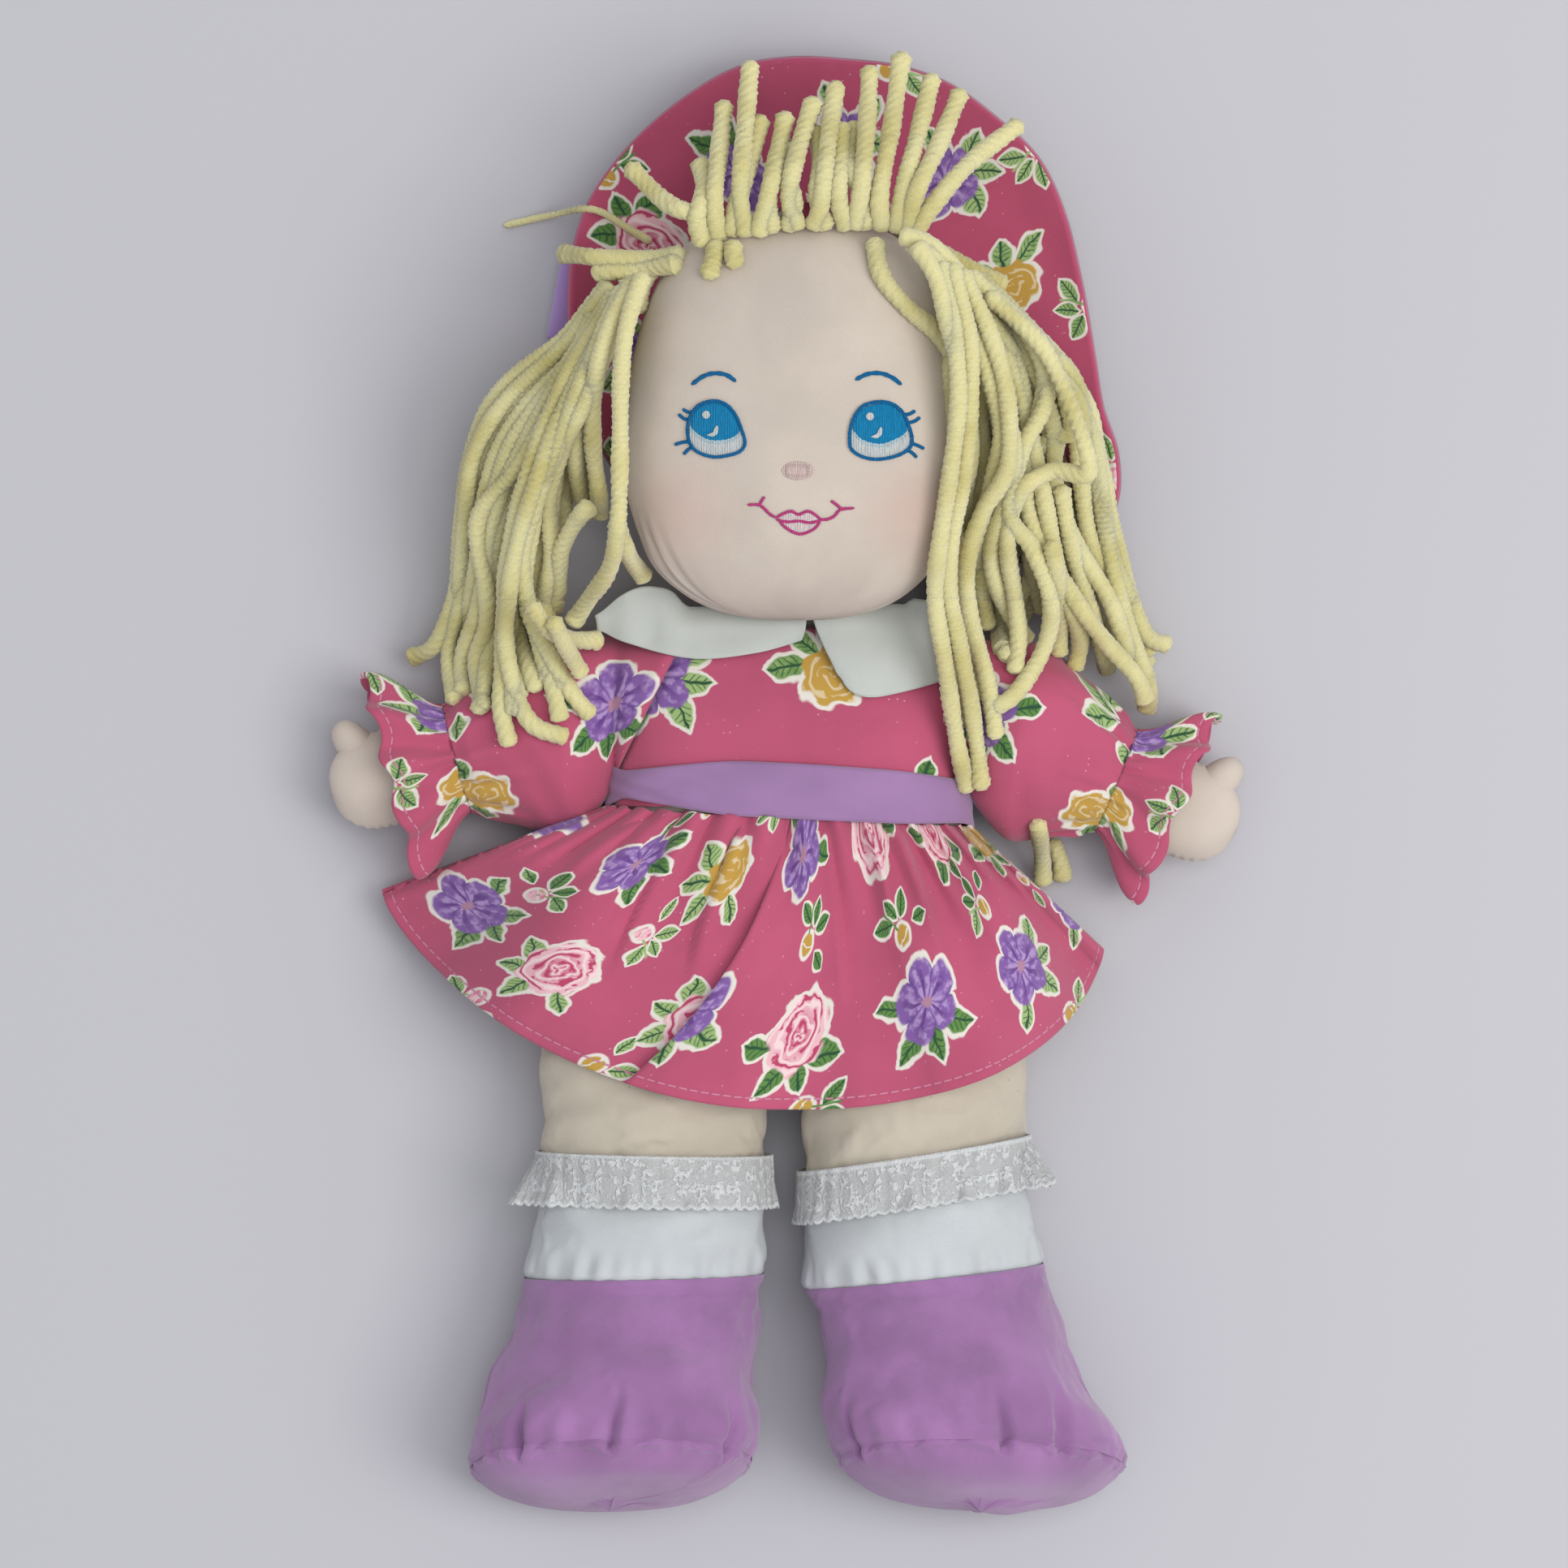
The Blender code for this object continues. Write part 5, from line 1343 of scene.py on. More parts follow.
@dataclass
class Skirt:
    """The gathered skirt, in two halves that lap at the front pleat."""

    waist_width: float = 0.0895
    waist_depth: float = 0.0207
    centre_x: float = 0.0015
    centre_z: float = 0.0205
    waist_y: float = -0.0082
    waist_slope: float = -0.05
    length: float = 0.071
    lengths: dict[Side, float] = field(default_factory=lambda: {Side.LEFT: 0.045, Side.RIGHT: 0.060})
    drops: dict[Side, float] = field(default_factory=lambda: {Side.LEFT: 43.0, Side.RIGHT: 20.0})
    front_z: float = 0.0465
    back_z: float = 0.0005
    side_z: float = 0.0085
    level_x: float = 0.0456
    power: float = 2.3
    wall: float = 0.0010
    wide_folds: int = 12
    tight_folds: int = 37
    lap: float = 0.012
    pleat_step: dict[Side, float] = field(default_factory=lambda: {Side.LEFT: 0.0024, Side.RIGHT: -0.0020})
    pleat_edge: float = 0.0014
    pleats: tuple[tuple[float, float, float, Path], ...] = (
        (0.0040, 0.011, 1.0, ((912, 1009), (886, 1078), (867, 1126), (843, 1215))),
        (0.0032, 0.010, -1.0, ((1077, 1017), (1097, 1087), (1105, 1180))),
        (0.0038, 0.011, -1.0, ((1112, 1017), (1136, 1085), (1175, 1200))),
        (0.0034, 0.011, 1.0, ((800, 1004), (750, 1032), (680, 1085))),
        (0.0030, 0.010, 1.0, ((850, 1008), (800, 1090), (740, 1220))),
        (0.0030, 0.009, -1.0, ((1180, 1010), (1235, 1062), (1300, 1140))),
        (0.0032, 0.011, -1.0, ((1020, 1012), (1034, 1110), (1048, 1260))),
    )

    def pleat(self, point: Vector) -> float:
        """How high the laid pleats raise a point of the front."""
        raised = 0.0
        for height, width, way, path in self.pleats:
            line = [PLAN.at(*spot, point.z) for spot in path]
            whole = (line[-1] - line[0]).xy
            share = (point - line[0]).xy.dot(whole) / whole.length_squared
            if not 0 < share < 1:
                continue
            across = (spline(line, share) - point).xy.cross(whole.normalized()) * way
            if 0 < across < width:
                fade = ease((1 - share) * 2.5) * ease(share * 6)
                raised += height * (1 - across / width) ** 2 * ease(across / self.pleat_edge) * fade
        return raised

    def ring_point(self, angle: float, w: float, fine: bool = True) -> Vector:
        """A point of the whole ring.

        Args:
            angle: the turn, from the doll's left over the front.
            w: the share of the way from waist to hem.
            fine: whether the folds are added.

        Returns:
            The point.
        """
        c, s = math.cos(angle), math.sin(angle)
        swell = (abs(c) ** self.power + abs(s) ** self.power) ** (-1 / self.power)
        waist_x = self.waist_width / 2 * c * swell
        waist_z = self.centre_z + self.waist_depth * s * swell
        side = Side.LEFT if c > 0 else Side.RIGHT
        lean = c * math.radians(90 - self.drops[side])
        reach = mix(self.length, self.lengths[side], abs(c) ** 2.5) * w
        x = waist_x + reach * math.sin(lean)
        y = self.waist_y + waist_x * self.waist_slope - reach * math.cos(lean)
        widest = self.waist_width / 2 + self.lengths[side]
        fall = ease((widest - abs(x)) / (widest - self.level_x))
        spread = ease(w * 1.8)
        if s > 0:
            between = 0.006 * hump(x, 0.002, 0.016) * w
            z = mix(waist_z, mix(self.side_z, self.front_z, fall) - between, spread)
        else:
            z = mix(waist_z, mix(self.side_z, self.back_z, held(abs(s) * 4)), spread)
        if fine:
            z += self.fold(angle, w) * (held(s * 2.5 + 0.25) if s > -0.1 else 0.0)
            y += 0.0012 * w * Ripple(53, 5, 3, 8).ring(angle / math.tau)
        return Vector((self.centre_x + x, y, max(z, self.back_z)))

    def fold(self, angle: float, w: float) -> float:
        """Height of the gathers and folds over the plain form."""
        turn = angle / math.tau
        wander = 0.018 * Ripple(51, 4, 2, 5).ring(turn)
        wide = math.sin(math.tau * self.wide_folds * (turn + wander))
        wide = math.copysign(abs(wide) ** 0.75, wide)
        tight = math.sin(math.tau * self.tight_folds * (turn + wander * 0.6) + 1.0)
        strength = 0.65 + 0.45 * Ripple(52, 4, 2, 6).ring(turn)
        top = hump(w, 0.06, 0.50)
        return 0.0034 * wide * ease(w * 1.9) * strength + 0.0014 * tight * top

    def half_point(self, side: Side, u: float, v: float) -> Vector:
        """A point of one half: u from the back seam to the front pleat, v from hem to waist."""
        w = 1 - v
        front = math.pi / 2 + math.radians(16) * w
        lap = self.lap * w
        if side is Side.LEFT:
            angle = mix(-math.pi / 2, front + lap * 3.2, u)
        else:
            angle = mix(math.pi * 1.5, front - lap * 2.0, u)
        point = self.ring_point(angle, w)
        point.z += self.pleat_step[side] * hump(1 - u, 0, 0.12) * ease(w * 2.5)
        if point.z > self.centre_z:
            point.z += self.pleat(point)
        return point

    def follow_legs(self, obj: Piece) -> None:
        """Works out how much of the leg's turn each point would take, and keeps none of it.

        It is none at the waist, at the middle of the front and on the floor, and all of it
        over the thigh.

        Args:
            obj: one half of the skirt.
        """
        for vert in obj.data.vertices:
            x, y, z = vert.co
            out = abs(x - self.centre_x)
            down = ease((-0.012 - y) / 0.030)
            across = ease((out - 0.002) / 0.018) * (1 - 0.75 * ease((out - 0.058) / 0.036))
            above = ease((z - 0.004) / 0.022)
            down * across * above

    def build(self) -> list[Piece]:
        """Makes the two halves.

        Returns:
            The two pieces.
        """
        halves = []
        for side in Side:
            corner = (0.0 if side is Side.LEFT else 0.41, 0.0)
            bm = shaped_grid(250, 92, partial(self.half_point, side), (0.7, 0.0), corner)
            obj = sewn(f"skirt_half_{side.word}", bm, Finishes.dress, "skirt", wall=self.wall)
            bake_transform(obj)
            self.follow_legs(obj)
            halves.append(obj)
        return halves


# The limbs.


@dataclass
class Arm:
    """One arm with its mitten hand, its sleeve and the sleeve's frill."""

    side: Side
    drop: float
    torso: Torso
    seam: tuple[Spot, Spot]
    fall: float = 5.0
    length: float = 0.0725
    radius: float = 0.0105
    seam_width: float = 0.024
    seam_depth: float = 0.003
    wrist_radius: float = 0.0080
    hand_length: float = 0.026
    hand_width: float = 0.024
    hand_depth: float = 0.0145
    thumb_radius: float = 0.0045
    thumb_length: float = 0.0165
    thumb_lean: float = 62.0
    sleeve_length: float = 0.0400
    sleeve_width: float = 0.0455
    sleeve_top_share: float = 0.86
    wrist_width: float = 0.0300
    sleeve_depth: float = 0.0360
    wrist_depth: float = 0.0225
    frill_length: float = 0.0170
    frill_width: float = 0.0500
    frill_depth: float = 0.0290
    frill_waves: int = 9
    frill_wave: float = 0.0019
    sleeve_wall: float = 0.0010
    frill_wall: float = 0.0009
    shoulder: Vector = field(init=False)
    along: Vector = field(init=False)
    across: Vector = field(init=False)

    def __post_init__(self) -> None:
        """Works out the arm's root and its two directions."""
        self.shoulder = Vector(SHOULDERS[self.side])
        drop, fall = math.radians(self.drop), math.radians(self.fall)
        level = Vector((self.side.value * math.cos(drop), -math.sin(drop), 0))
        self.along = level * math.cos(fall) - Z_AXIS * math.sin(fall)
        self.across = Vector((self.side.value * math.sin(drop), math.cos(drop), 0))

    def spot(
        self, way: float, width: float, depth: float, turn: float, power: float = 2.0, square: float = 1.0
    ) -> Vector:
        """A point round the arm.

        Args:
            way: the distance from the shoulder seam.
            width: half the width there.
            depth: half the depth there.
            turn: the share of the way round.
            power: how boxy the section is.
            square: 0 keeps the section parallel to the shoulder seam.

        Returns:
            The point, never under the floor.
        """
        across = (Y_AXIS * (1 - square) + self.across * square).normalized()
        point = section(self.shoulder + self.along * way, across, Z_AXIS, width, depth, turn, power)
        point.z = max(point.z, FLOOR_GAP)
        return point

    def hand_point(self, u: float, v: float) -> Vector:
        """A point of the arm and mitten: once round, then from the shoulder to the tip."""
        way = mix(0.0006, self.length, v)
        wrist = self.length - self.hand_length
        root = held(way / 0.014)
        width = mix(self.seam_width / 2, self.radius, ease(root))
        depth = mix(self.seam_depth / 2, self.radius * 0.9, root**0.6)
        to_wrist = ease((way - wrist * 0.55) / (wrist * 0.45))
        width = mix(width, self.wrist_radius, to_wrist)
        depth = mix(depth, self.wrist_radius * 0.86, to_wrist)
        t = (way - wrist) / self.hand_length
        if t > 0:
            spread = ease(t * 2.4)
            tip = superellipse((t - 0.45) / 0.55, 2.3) if t > 0.45 else 1.0
            width = mix(width, self.hand_width / 2, spread) * tip
            depth = mix(depth, self.hand_depth / 2, spread) * tip
            edge = abs(math.cos(math.tau * u)) ** 30
            pucker = math.sin(way * 2600) * 0.0003 * edge
            width += pucker - 0.0003 * edge
        width += 0.0004 * Ripple(61, 4, 1, 3).ring(u, v * 4, 2)
        return self.spot(way, width, depth, u, 2.2, ease(root))

    def thumb_point(self, u: float, v: float) -> Vector:
        """A point of the thumb: once round, then from its root to its tip."""
        lean = math.radians(self.thumb_lean)
        along = self.along * math.cos(lean) + self.across * math.sin(lean)
        across = self.across * math.cos(lean) - self.along * math.sin(lean)
        root = self.shoulder + self.along * (self.length - self.hand_length * 0.55)
        tip = superellipse((v - 0.55) / 0.45, 2.2) if v > 0.55 else 1.0
        radius = self.thumb_radius * mix(1.1, 1.0, v) * tip
        centre = root + along * (self.thumb_length * 1.12 * v)
        return section(centre, across, Z_AXIS, radius, radius, u, 2.0)

    def sleeve_sizes(self, t: float) -> Pair:
        """Half the width and half the depth of the sleeve at a share of its length."""
        width = mix(self.sleeve_width * self.sleeve_top_share, self.sleeve_width, ease(t * 2.5))
        width = mix(width, self.wrist_width, ease((t - 0.4) / 0.6))
        return width / 2, mix(self.sleeve_depth, self.wrist_depth, ease(t)) / 2

    def sleeve_point(self, u: float, v: float) -> Vector:
        """A point of the sleeve: once round, then from the shoulder to the gather."""
        width, depth = self.sleeve_sizes(v)
        near = ease((v - 0.45) / 0.55)
        puff = 0.0016 * math.sin(math.pi * held((v - 0.15) / 0.85))
        gathers = Ripple(62 + self.side.value, 7, 11, 27).ring(u) * near
        drape = Ripple(65 + self.side.value, 6, 1.2, 4.5).ring(u, v * 1.2, 1.5)
        pinch = -0.0016 * hump(v, 1.0, 0.10)
        grow = 0.0008 * gathers * (1 - 0.3 * hump(v, 1.0, 0.08)) + 0.0011 * drape * (1 - 0.5 * near)
        grow = grow + puff + pinch
        crease = 0.0012 * hump(v, 0.10, 0.16) * Ripple(67 + self.side.value, 5, 3, 8).ring(u)
        way = mix(-0.0042, self.sleeve_length, v)
        point = self.spot(way, width + grow + crease, depth + grow + crease, u, 2.2, ease(v))
        return self.from_seam(point, u, v)

    def from_seam(self, point: Vector, u: float, v: float) -> Vector:
        """Draws the front of the sleeve's start inwards, to the slanting seam on the bodice."""
        pull = (1 - ease(v / 0.42)) * ease(2.2 * math.sin(math.tau * u) + 0.35)
        if pull <= 0:
            return point
        top, low = (PLAN.at(*end) for end in self.seam)
        share = held((top.y - point.y) / (top.y - low.y))
        x = mix(point.x, mix(top.x, low.x, share), pull * (1 - 0.15 * v))
        y = mix(point.y, mix(top.y, low.y, share), pull * pull)
        base = self.torso.front(x, y, self.torso.bodice_grow)
        lift = 0.0005 + 0.0022 * ease(v / 0.12) * (1 - 0.4 * ease(v / 0.42))
        z = mix(point.z, base + lift, pull)
        return Vector((x, y, max(z, mix(point.z, base + 0.0004, ease(pull * 3)))))

    def frill_point(self, u: float, v: float) -> Vector:
        """A point of the frill: once round, then from its free edge to the gather."""
        t = 1 - v
        width, depth = self.sleeve_sizes(1)
        width = mix(width - 0.0016, self.frill_width / 2, ease(t) ** 0.8)
        depth = mix(depth - 0.0016, self.frill_depth / 2, ease(t) ** 0.8)
        wander = 0.030 * Ripple(71 + self.side.value, 4, 1, 3).ring(u)
        wave = math.sin(math.tau * self.frill_waves * (u + wander))
        fine = Ripple(73 + self.side.value, 6, 14, 31).ring(u)
        grow = self.frill_wave * wave * ease(t * 1.3) + 0.0007 * fine * hump(t, 0.05, 0.6)
        sway = 0.0011 * t * math.sin(math.tau * (self.frill_waves * (u + wander) + 0.25))
        way = self.sleeve_length + self.frill_length * t + sway
        return self.spot(way, width + grow, depth + grow, u, 2.1)

    def build(self) -> list[Piece]:
        """Makes the hand, the sleeve and the frill.

        Returns:
            The three pieces.
        """
        word = self.side.word
        body = f"{word}_arm"
        bm = shaped_grid(64, 110, self.hand_point, ends=Ends.FILLED)
        thumb = shaped_grid(32, 40, self.thumb_point)
        spare = bpy.data.meshes.new("thumb")
        thumb.to_mesh(spare)
        bm.from_mesh(spare)
        bpy.data.meshes.remove(spare)
        thumb.free()
        hand = sewn(f"mitten_hand_{word}", bm, Finishes.hands, f"arm_{word}", body)
        bm = shaped_grid(240, 70, self.sleeve_point, corner=(0.013, 0.05))
        sleeve = sewn(f"puffed_sleeve_{word}", bm, Finishes.dress, f"sleeve_{word}", wall=self.sleeve_wall)
        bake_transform(sleeve)
        bm = shaped_grid(420, 22, self.frill_point, measure=(0.25, 0.0), corner=(0.007, 0.0))
        frill = sewn(f"sleeve_frill_{word}", bm, Finishes.dress, f"ruffle_{word}", body, self.frill_wall)
        return [hand, sleeve, frill]


@dataclass
class Leg:
    """One leg: the calico bag, the sock with its lace, and the shoe with its stuffed sole."""

    side: Side
    sock_slant: float
    shoe_slant: float
    shoe_outward: float
    tucks: tuple[Triple, ...]
    hip_x: float = 0.0290
    middle_x: float = 0.0015
    hip_y: float = -0.0354
    hip_z: float = 0.0205
    x: float = 0.0320
    width: float = 0.0545
    depth: float = 0.0385
    bottom: float = 0.0026
    seam_width: float = 0.046
    seam_depth: float = 0.003
    taper: float = 0.025
    sock_y: float = -0.0965
    shoe_y: float = -0.1215
    sock_width: float = 0.0585
    sock_depth: float = 0.0395
    sock_outward: float = 0.0025
    sole_y: float = -0.1672
    sole_width: float = 0.0700
    sole_depth: float = 0.0580
    sole_tilt: float = 17.0
    sole_bulge: float = 0.0118
    shoe_lean: float = 0.16
    lace_length: float = 0.0125
    lace_flare: float = 0.0024
    lace_over: float = 0.45
    lace_waves: int = 11
    scallops: int = 30
    scallop_depth: float = 0.0007
    power: float = 2.15
    swells: tuple[float, ...] = (0.0008, 0.0005, 0.0022, 0.0016)
    lace_wall: float = 0.0005

    def spot(self, y: float, out: float, width: float, depth: float, slant: float, turn: float) -> Vector:
        """A point round the leg.

        Args:
            y: the place of the section's middle.
            out: how far outwards its middle is moved.
            width: half its width.
            depth: half its depth.
            slant: its slant, in degrees, towards the doll's outer side.
            turn: the share of the way round.

        Returns:
            The point, never under the floor.
        """
        angle = math.radians(slant) * self.side.value
        across = Vector((math.cos(angle), math.sin(angle), 0))
        centre = Vector((self.side.value * (self.x + out), y, self.bottom + depth))
        point = section(centre, across, Z_AXIS, width, depth, turn, self.power)
        point.z = max(point.z, FLOOR_GAP)
        return point

    def side_seam(self, turn: float) -> float:
        """How deep the seams down both sides press in."""
        return max(hump(turn % 0.5, 0.0, 0.012), hump(turn % 0.5, 0.5, 0.012))

    def bag_point(self, u: float, v: float) -> Vector:
        """A point of the leg's bag: once round, then from the sock up to the hip."""
        y = mix(self.sock_y, self.hip_y, v)
        t = held((self.hip_y - y) / self.taper)
        uneven = 0.0006 * Ripple(81 + self.side.value, 5, 0.8, 2.6).ring(u, v * 3, 2)
        pucker = 0.0005 * hump(v, 0, 0.16) * Ripple(83, 7, 14, 34).ring(u) - 0.0007 * self.side_seam(u)
        gather = 0.0008 * hump(v, 1, 0.3) * Ripple(84, 6, 8, 20).ring(u)
        grow = uneven + pucker
        if t < 1:
            width = mix(self.seam_width, self.width, ease(t)) / 2
            depth = mix(self.seam_depth, self.depth, math.sin(t * math.pi / 2) ** 1.15) / 2
            inward = self.side.value * (self.middle_x + self.side.value * self.hip_x) - self.x
            x = self.side.value * (self.x + inward * (1 - t))
            z = mix(self.hip_z, self.bottom + self.depth / 2, t)
            grow = (grow + gather) * t
            centre = Vector((x, y, z))
            return section(centre, X_AXIS, Z_AXIS, width + grow, depth + grow, u, self.power)
        knee = self.hip_y - self.taper
        slant = self.sock_slant * ease((knee - y) / (knee - self.sock_y))
        return self.spot(y, 0, self.width / 2 + grow, self.depth / 2 + grow, slant, u)

    def sock_point(self, u: float, v: float) -> Vector:
        """A point of the sock: once round, then from the shoe up to its top."""
        t = 1 - v
        width = mix(self.width, self.sock_width, ease(t)) / 2
        depth = mix(self.depth, self.sock_depth, ease(t)) / 2
        wrinkle = 0.0005 * Ripple(86 + self.side.value, 5, 0.8, 3).ring(u, v * 1.5, 2)
        pucker = 0.0006 * (hump(t, 0.86, 0.25) + hump(t, 0, 0.3)) * Ripple(88, 7, 15, 36).ring(u)
        pucker, wrinkle = pucker * (1 - ease(t * 8 - 7)), wrinkle * (1 - ease(t * 8 - 7))
        dent = -0.0010 * ease(t * 10 - 9) - 0.0006 * self.side_seam(u)
        grow = 0.0003 + wrinkle + pucker + dent
        slant = mix(self.sock_slant, self.shoe_slant, t)
        y = mix(self.sock_y, self.shoe_y - 0.0010, t)
        return self.spot(y, self.sock_outward * t, width + grow, depth + grow, slant, u)

    def lace_point(self, u: float, v: float) -> Vector:
        """A point of the lace: once round, then from its free edge to its gathered one."""
        t = 1 - v
        wander = 0.035 * Ripple(91 + self.side.value, 4, 1, 3).ring(u)
        wave = math.sin(math.tau * self.lace_waves * (u + wander))
        fine = Ripple(92, 6, 22, 45).ring(u)
        flare = self.lace_flare * t**1.4 + 0.0006
        outer = ease(self.side.value * math.cos(math.tau * u) * 3 - 2)
        grow = flare * 0.55 + 0.0013 * wave * t + 0.0005 * fine * (1 - 0.4 * t) + 0.0052 * t * outer
        grow = max(grow, 0.0015 + 0.0004 * t + 0.0002 * fine)
        scallop = self.scallop_depth * abs(math.sin(math.tau * self.scallops * u)) * ease(t * 2 - 1)
        y = self.sock_y + self.lace_length * (self.lace_over - t) - scallop
        return self.spot(y, 0, self.width / 2 + grow, self.depth / 2 + grow, self.sock_slant, u)

    def shoe_spot(self, u: float, t: float, bulge: float, share: float, grow: float) -> Vector:
        """A point round the shoe.

        Args:
            u: the share of the way round.
            t: 0 at the ankle, 1 at the sole's seam.
            bulge: how far past the seam's plane.
            share: the share of the section's size.
            grow: a length added to its size.

        Returns:
            The point, never under the floor.
        """
        tilt = math.radians(self.sole_tilt) * t
        width = mix(self.sock_width, self.sole_width, ease(t) ** 0.8) / 2
        full = mix(self.sock_depth, self.sole_depth, ease(t) ** 0.9) / 2
        bottom = mix(self.bottom, 0.0, ease(t * 1.6))
        x = self.side.value * (self.x + mix(self.sock_outward, self.shoe_outward, t))
        y = mix(self.shoe_y + 0.0003, self.sole_y, t)
        centre = Vector((x, y, bottom + full * math.cos(tilt)))
        slant = math.radians(self.shoe_slant) * self.side.value * (1 - t)
        across = Vector((math.cos(slant), math.sin(slant), 0))
        rise = Vector((-self.side.value * self.shoe_lean * t, math.sin(tilt), math.cos(tilt))).normalized()
        down = Vector((0, -math.cos(tilt), math.sin(tilt)))
        centre += down * bulge
        point = section(centre, across, rise, width * share + grow, full * share + grow, u, self.power)
        point.z = max(point.z, FLOOR_GAP)
        return point

    def shoe_pucker(self, u: float) -> float:
        """The gathers round the sole's seam."""
        return Ripple(95 + self.side.value, 9, 13, 40).ring(u)

    def shoe_lumps(self, u: float, v: float) -> float:
        """The slow lumps of the shoe's filling."""
        return Ripple(96 + self.side.value, 5, 0.6, 2.2).ring(u, v, 2)

    def tuck(self, u: float) -> float:
        """How deep the few tucks at the sole's seam are at a share of the way round."""
        return sum(deep * 1.5 * hump(u, turn, wide) for turn, wide, deep in self.tucks)

    def seam_swell(self, u: float) -> float:
        """How far the sole's seam lies outside the plain form, for both of its sides."""
        swell = 0.00055 * self.shoe_pucker(u) + 0.0006 * self.shoe_lumps(u, 2)
        return swell - 0.0008 - 0.0006 * self.side_seam(u) - self.tuck(u)

    def shoe_point(self, u: float, v: float) -> Vector:
        """A point of the shoe: once round, then from the ankle to the sole's seam."""
        near = hump(v, 1, 0.34)
        grow = 0.0009 * near * self.shoe_pucker(u) * (1 - 0.4 * near)
        grow += 0.0008 * self.shoe_lumps(u, v * 2)
        grow *= ease(v * 6)
        grow += 0.0005 * hump(v, 0, 0.10) - 0.0008 * hump(v, 1, 0.05) - 0.0006 * self.side_seam(u)
        grow += 0.0006 * hump(v, 0.22, 0.2) * Ripple(97, 7, 12, 30).ring(u)
        grow -= self.tuck(u + 0.010 * (1 - v)) * hump(v, 1, 0.40)
        dents = Ripple(99 + self.side.value, 4, 1.0, 2.4).ring(u, v * 0.9, 2)
        grow += 0.0014 * math.sin(math.pi * v) * dents
        grow = mix(grow, self.seam_swell(u), ease(v * 20 - 19))
        return self.shoe_spot(u, v, 0, 1, grow)

    def sole_point(self, u: float, v: float) -> Vector:
        """A point of the sole: once round, then from its seam to its middle."""
        angle = v * math.pi / 2
        share = 0.998 * math.cos(angle) ** 0.62 if v < 1 else 0.0
        grow = (self.seam_swell(u) + 0.0006 * ease(v * 6)) * hump(v, 0, 0.40) * share
        bulge = self.sole_bulge * math.sin(angle) - 0.0007
        bulge += 0.0006 * Ripple(98 + self.side.value, 4, 0.5, 2).ring(u, v * 2) * share * v
        return self.shoe_spot(u, 1, bulge, share, grow)

    def build(self) -> list[Piece]:
        """Makes the bag, the sock, the lace, the shoe and the sole.

        Returns:
            The five pieces.
        """
        word = self.side.word
        bag = shaped_grid(160, 64, self.bag_point, ends=Ends.FILLED)
        made = [
            mesh_object(f"leg_bag_{word}", bag, Finishes.calico),
            mesh_object(f"sock_{word}_cloth", shaped_grid(200, 32, self.sock_point), Finishes.sock),
            mesh_object(f"shoe_{word}_upper", shaped_grid(240, 60, self.shoe_point), Finishes.shoe),
            mesh_object(f"sole_{word}_bag", shaped_grid(240, 36, self.sole_point), Finishes.shoe),
        ]
        for obj, limit in zip(made, self.swells):
            Stuffing(limit=limit).fill(obj)
        plane = made[3].data.uv_layers["cloth"].data
        for loop in made[3].data.loops:
            spot = made[3].data.vertices[loop.vertex_index].co
            plane[loop.index].uv = (spot.x, spot.z)
        for obj, node in zip(made, ("leg", "sock", "shoe", "sole")):
            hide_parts(f"{node}_{word}")
            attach(obj, f"{word}_leg")
        bm = shaped_grid(480, 18, self.lace_point, measure=(0.25, 0.0))
        lace = sewn(f"lace_{word}_frill", bm, Finishes.lace, f"lace_{word}", f"{word}_leg", self.lace_wall)
        return [*made, lace]


# The hat.


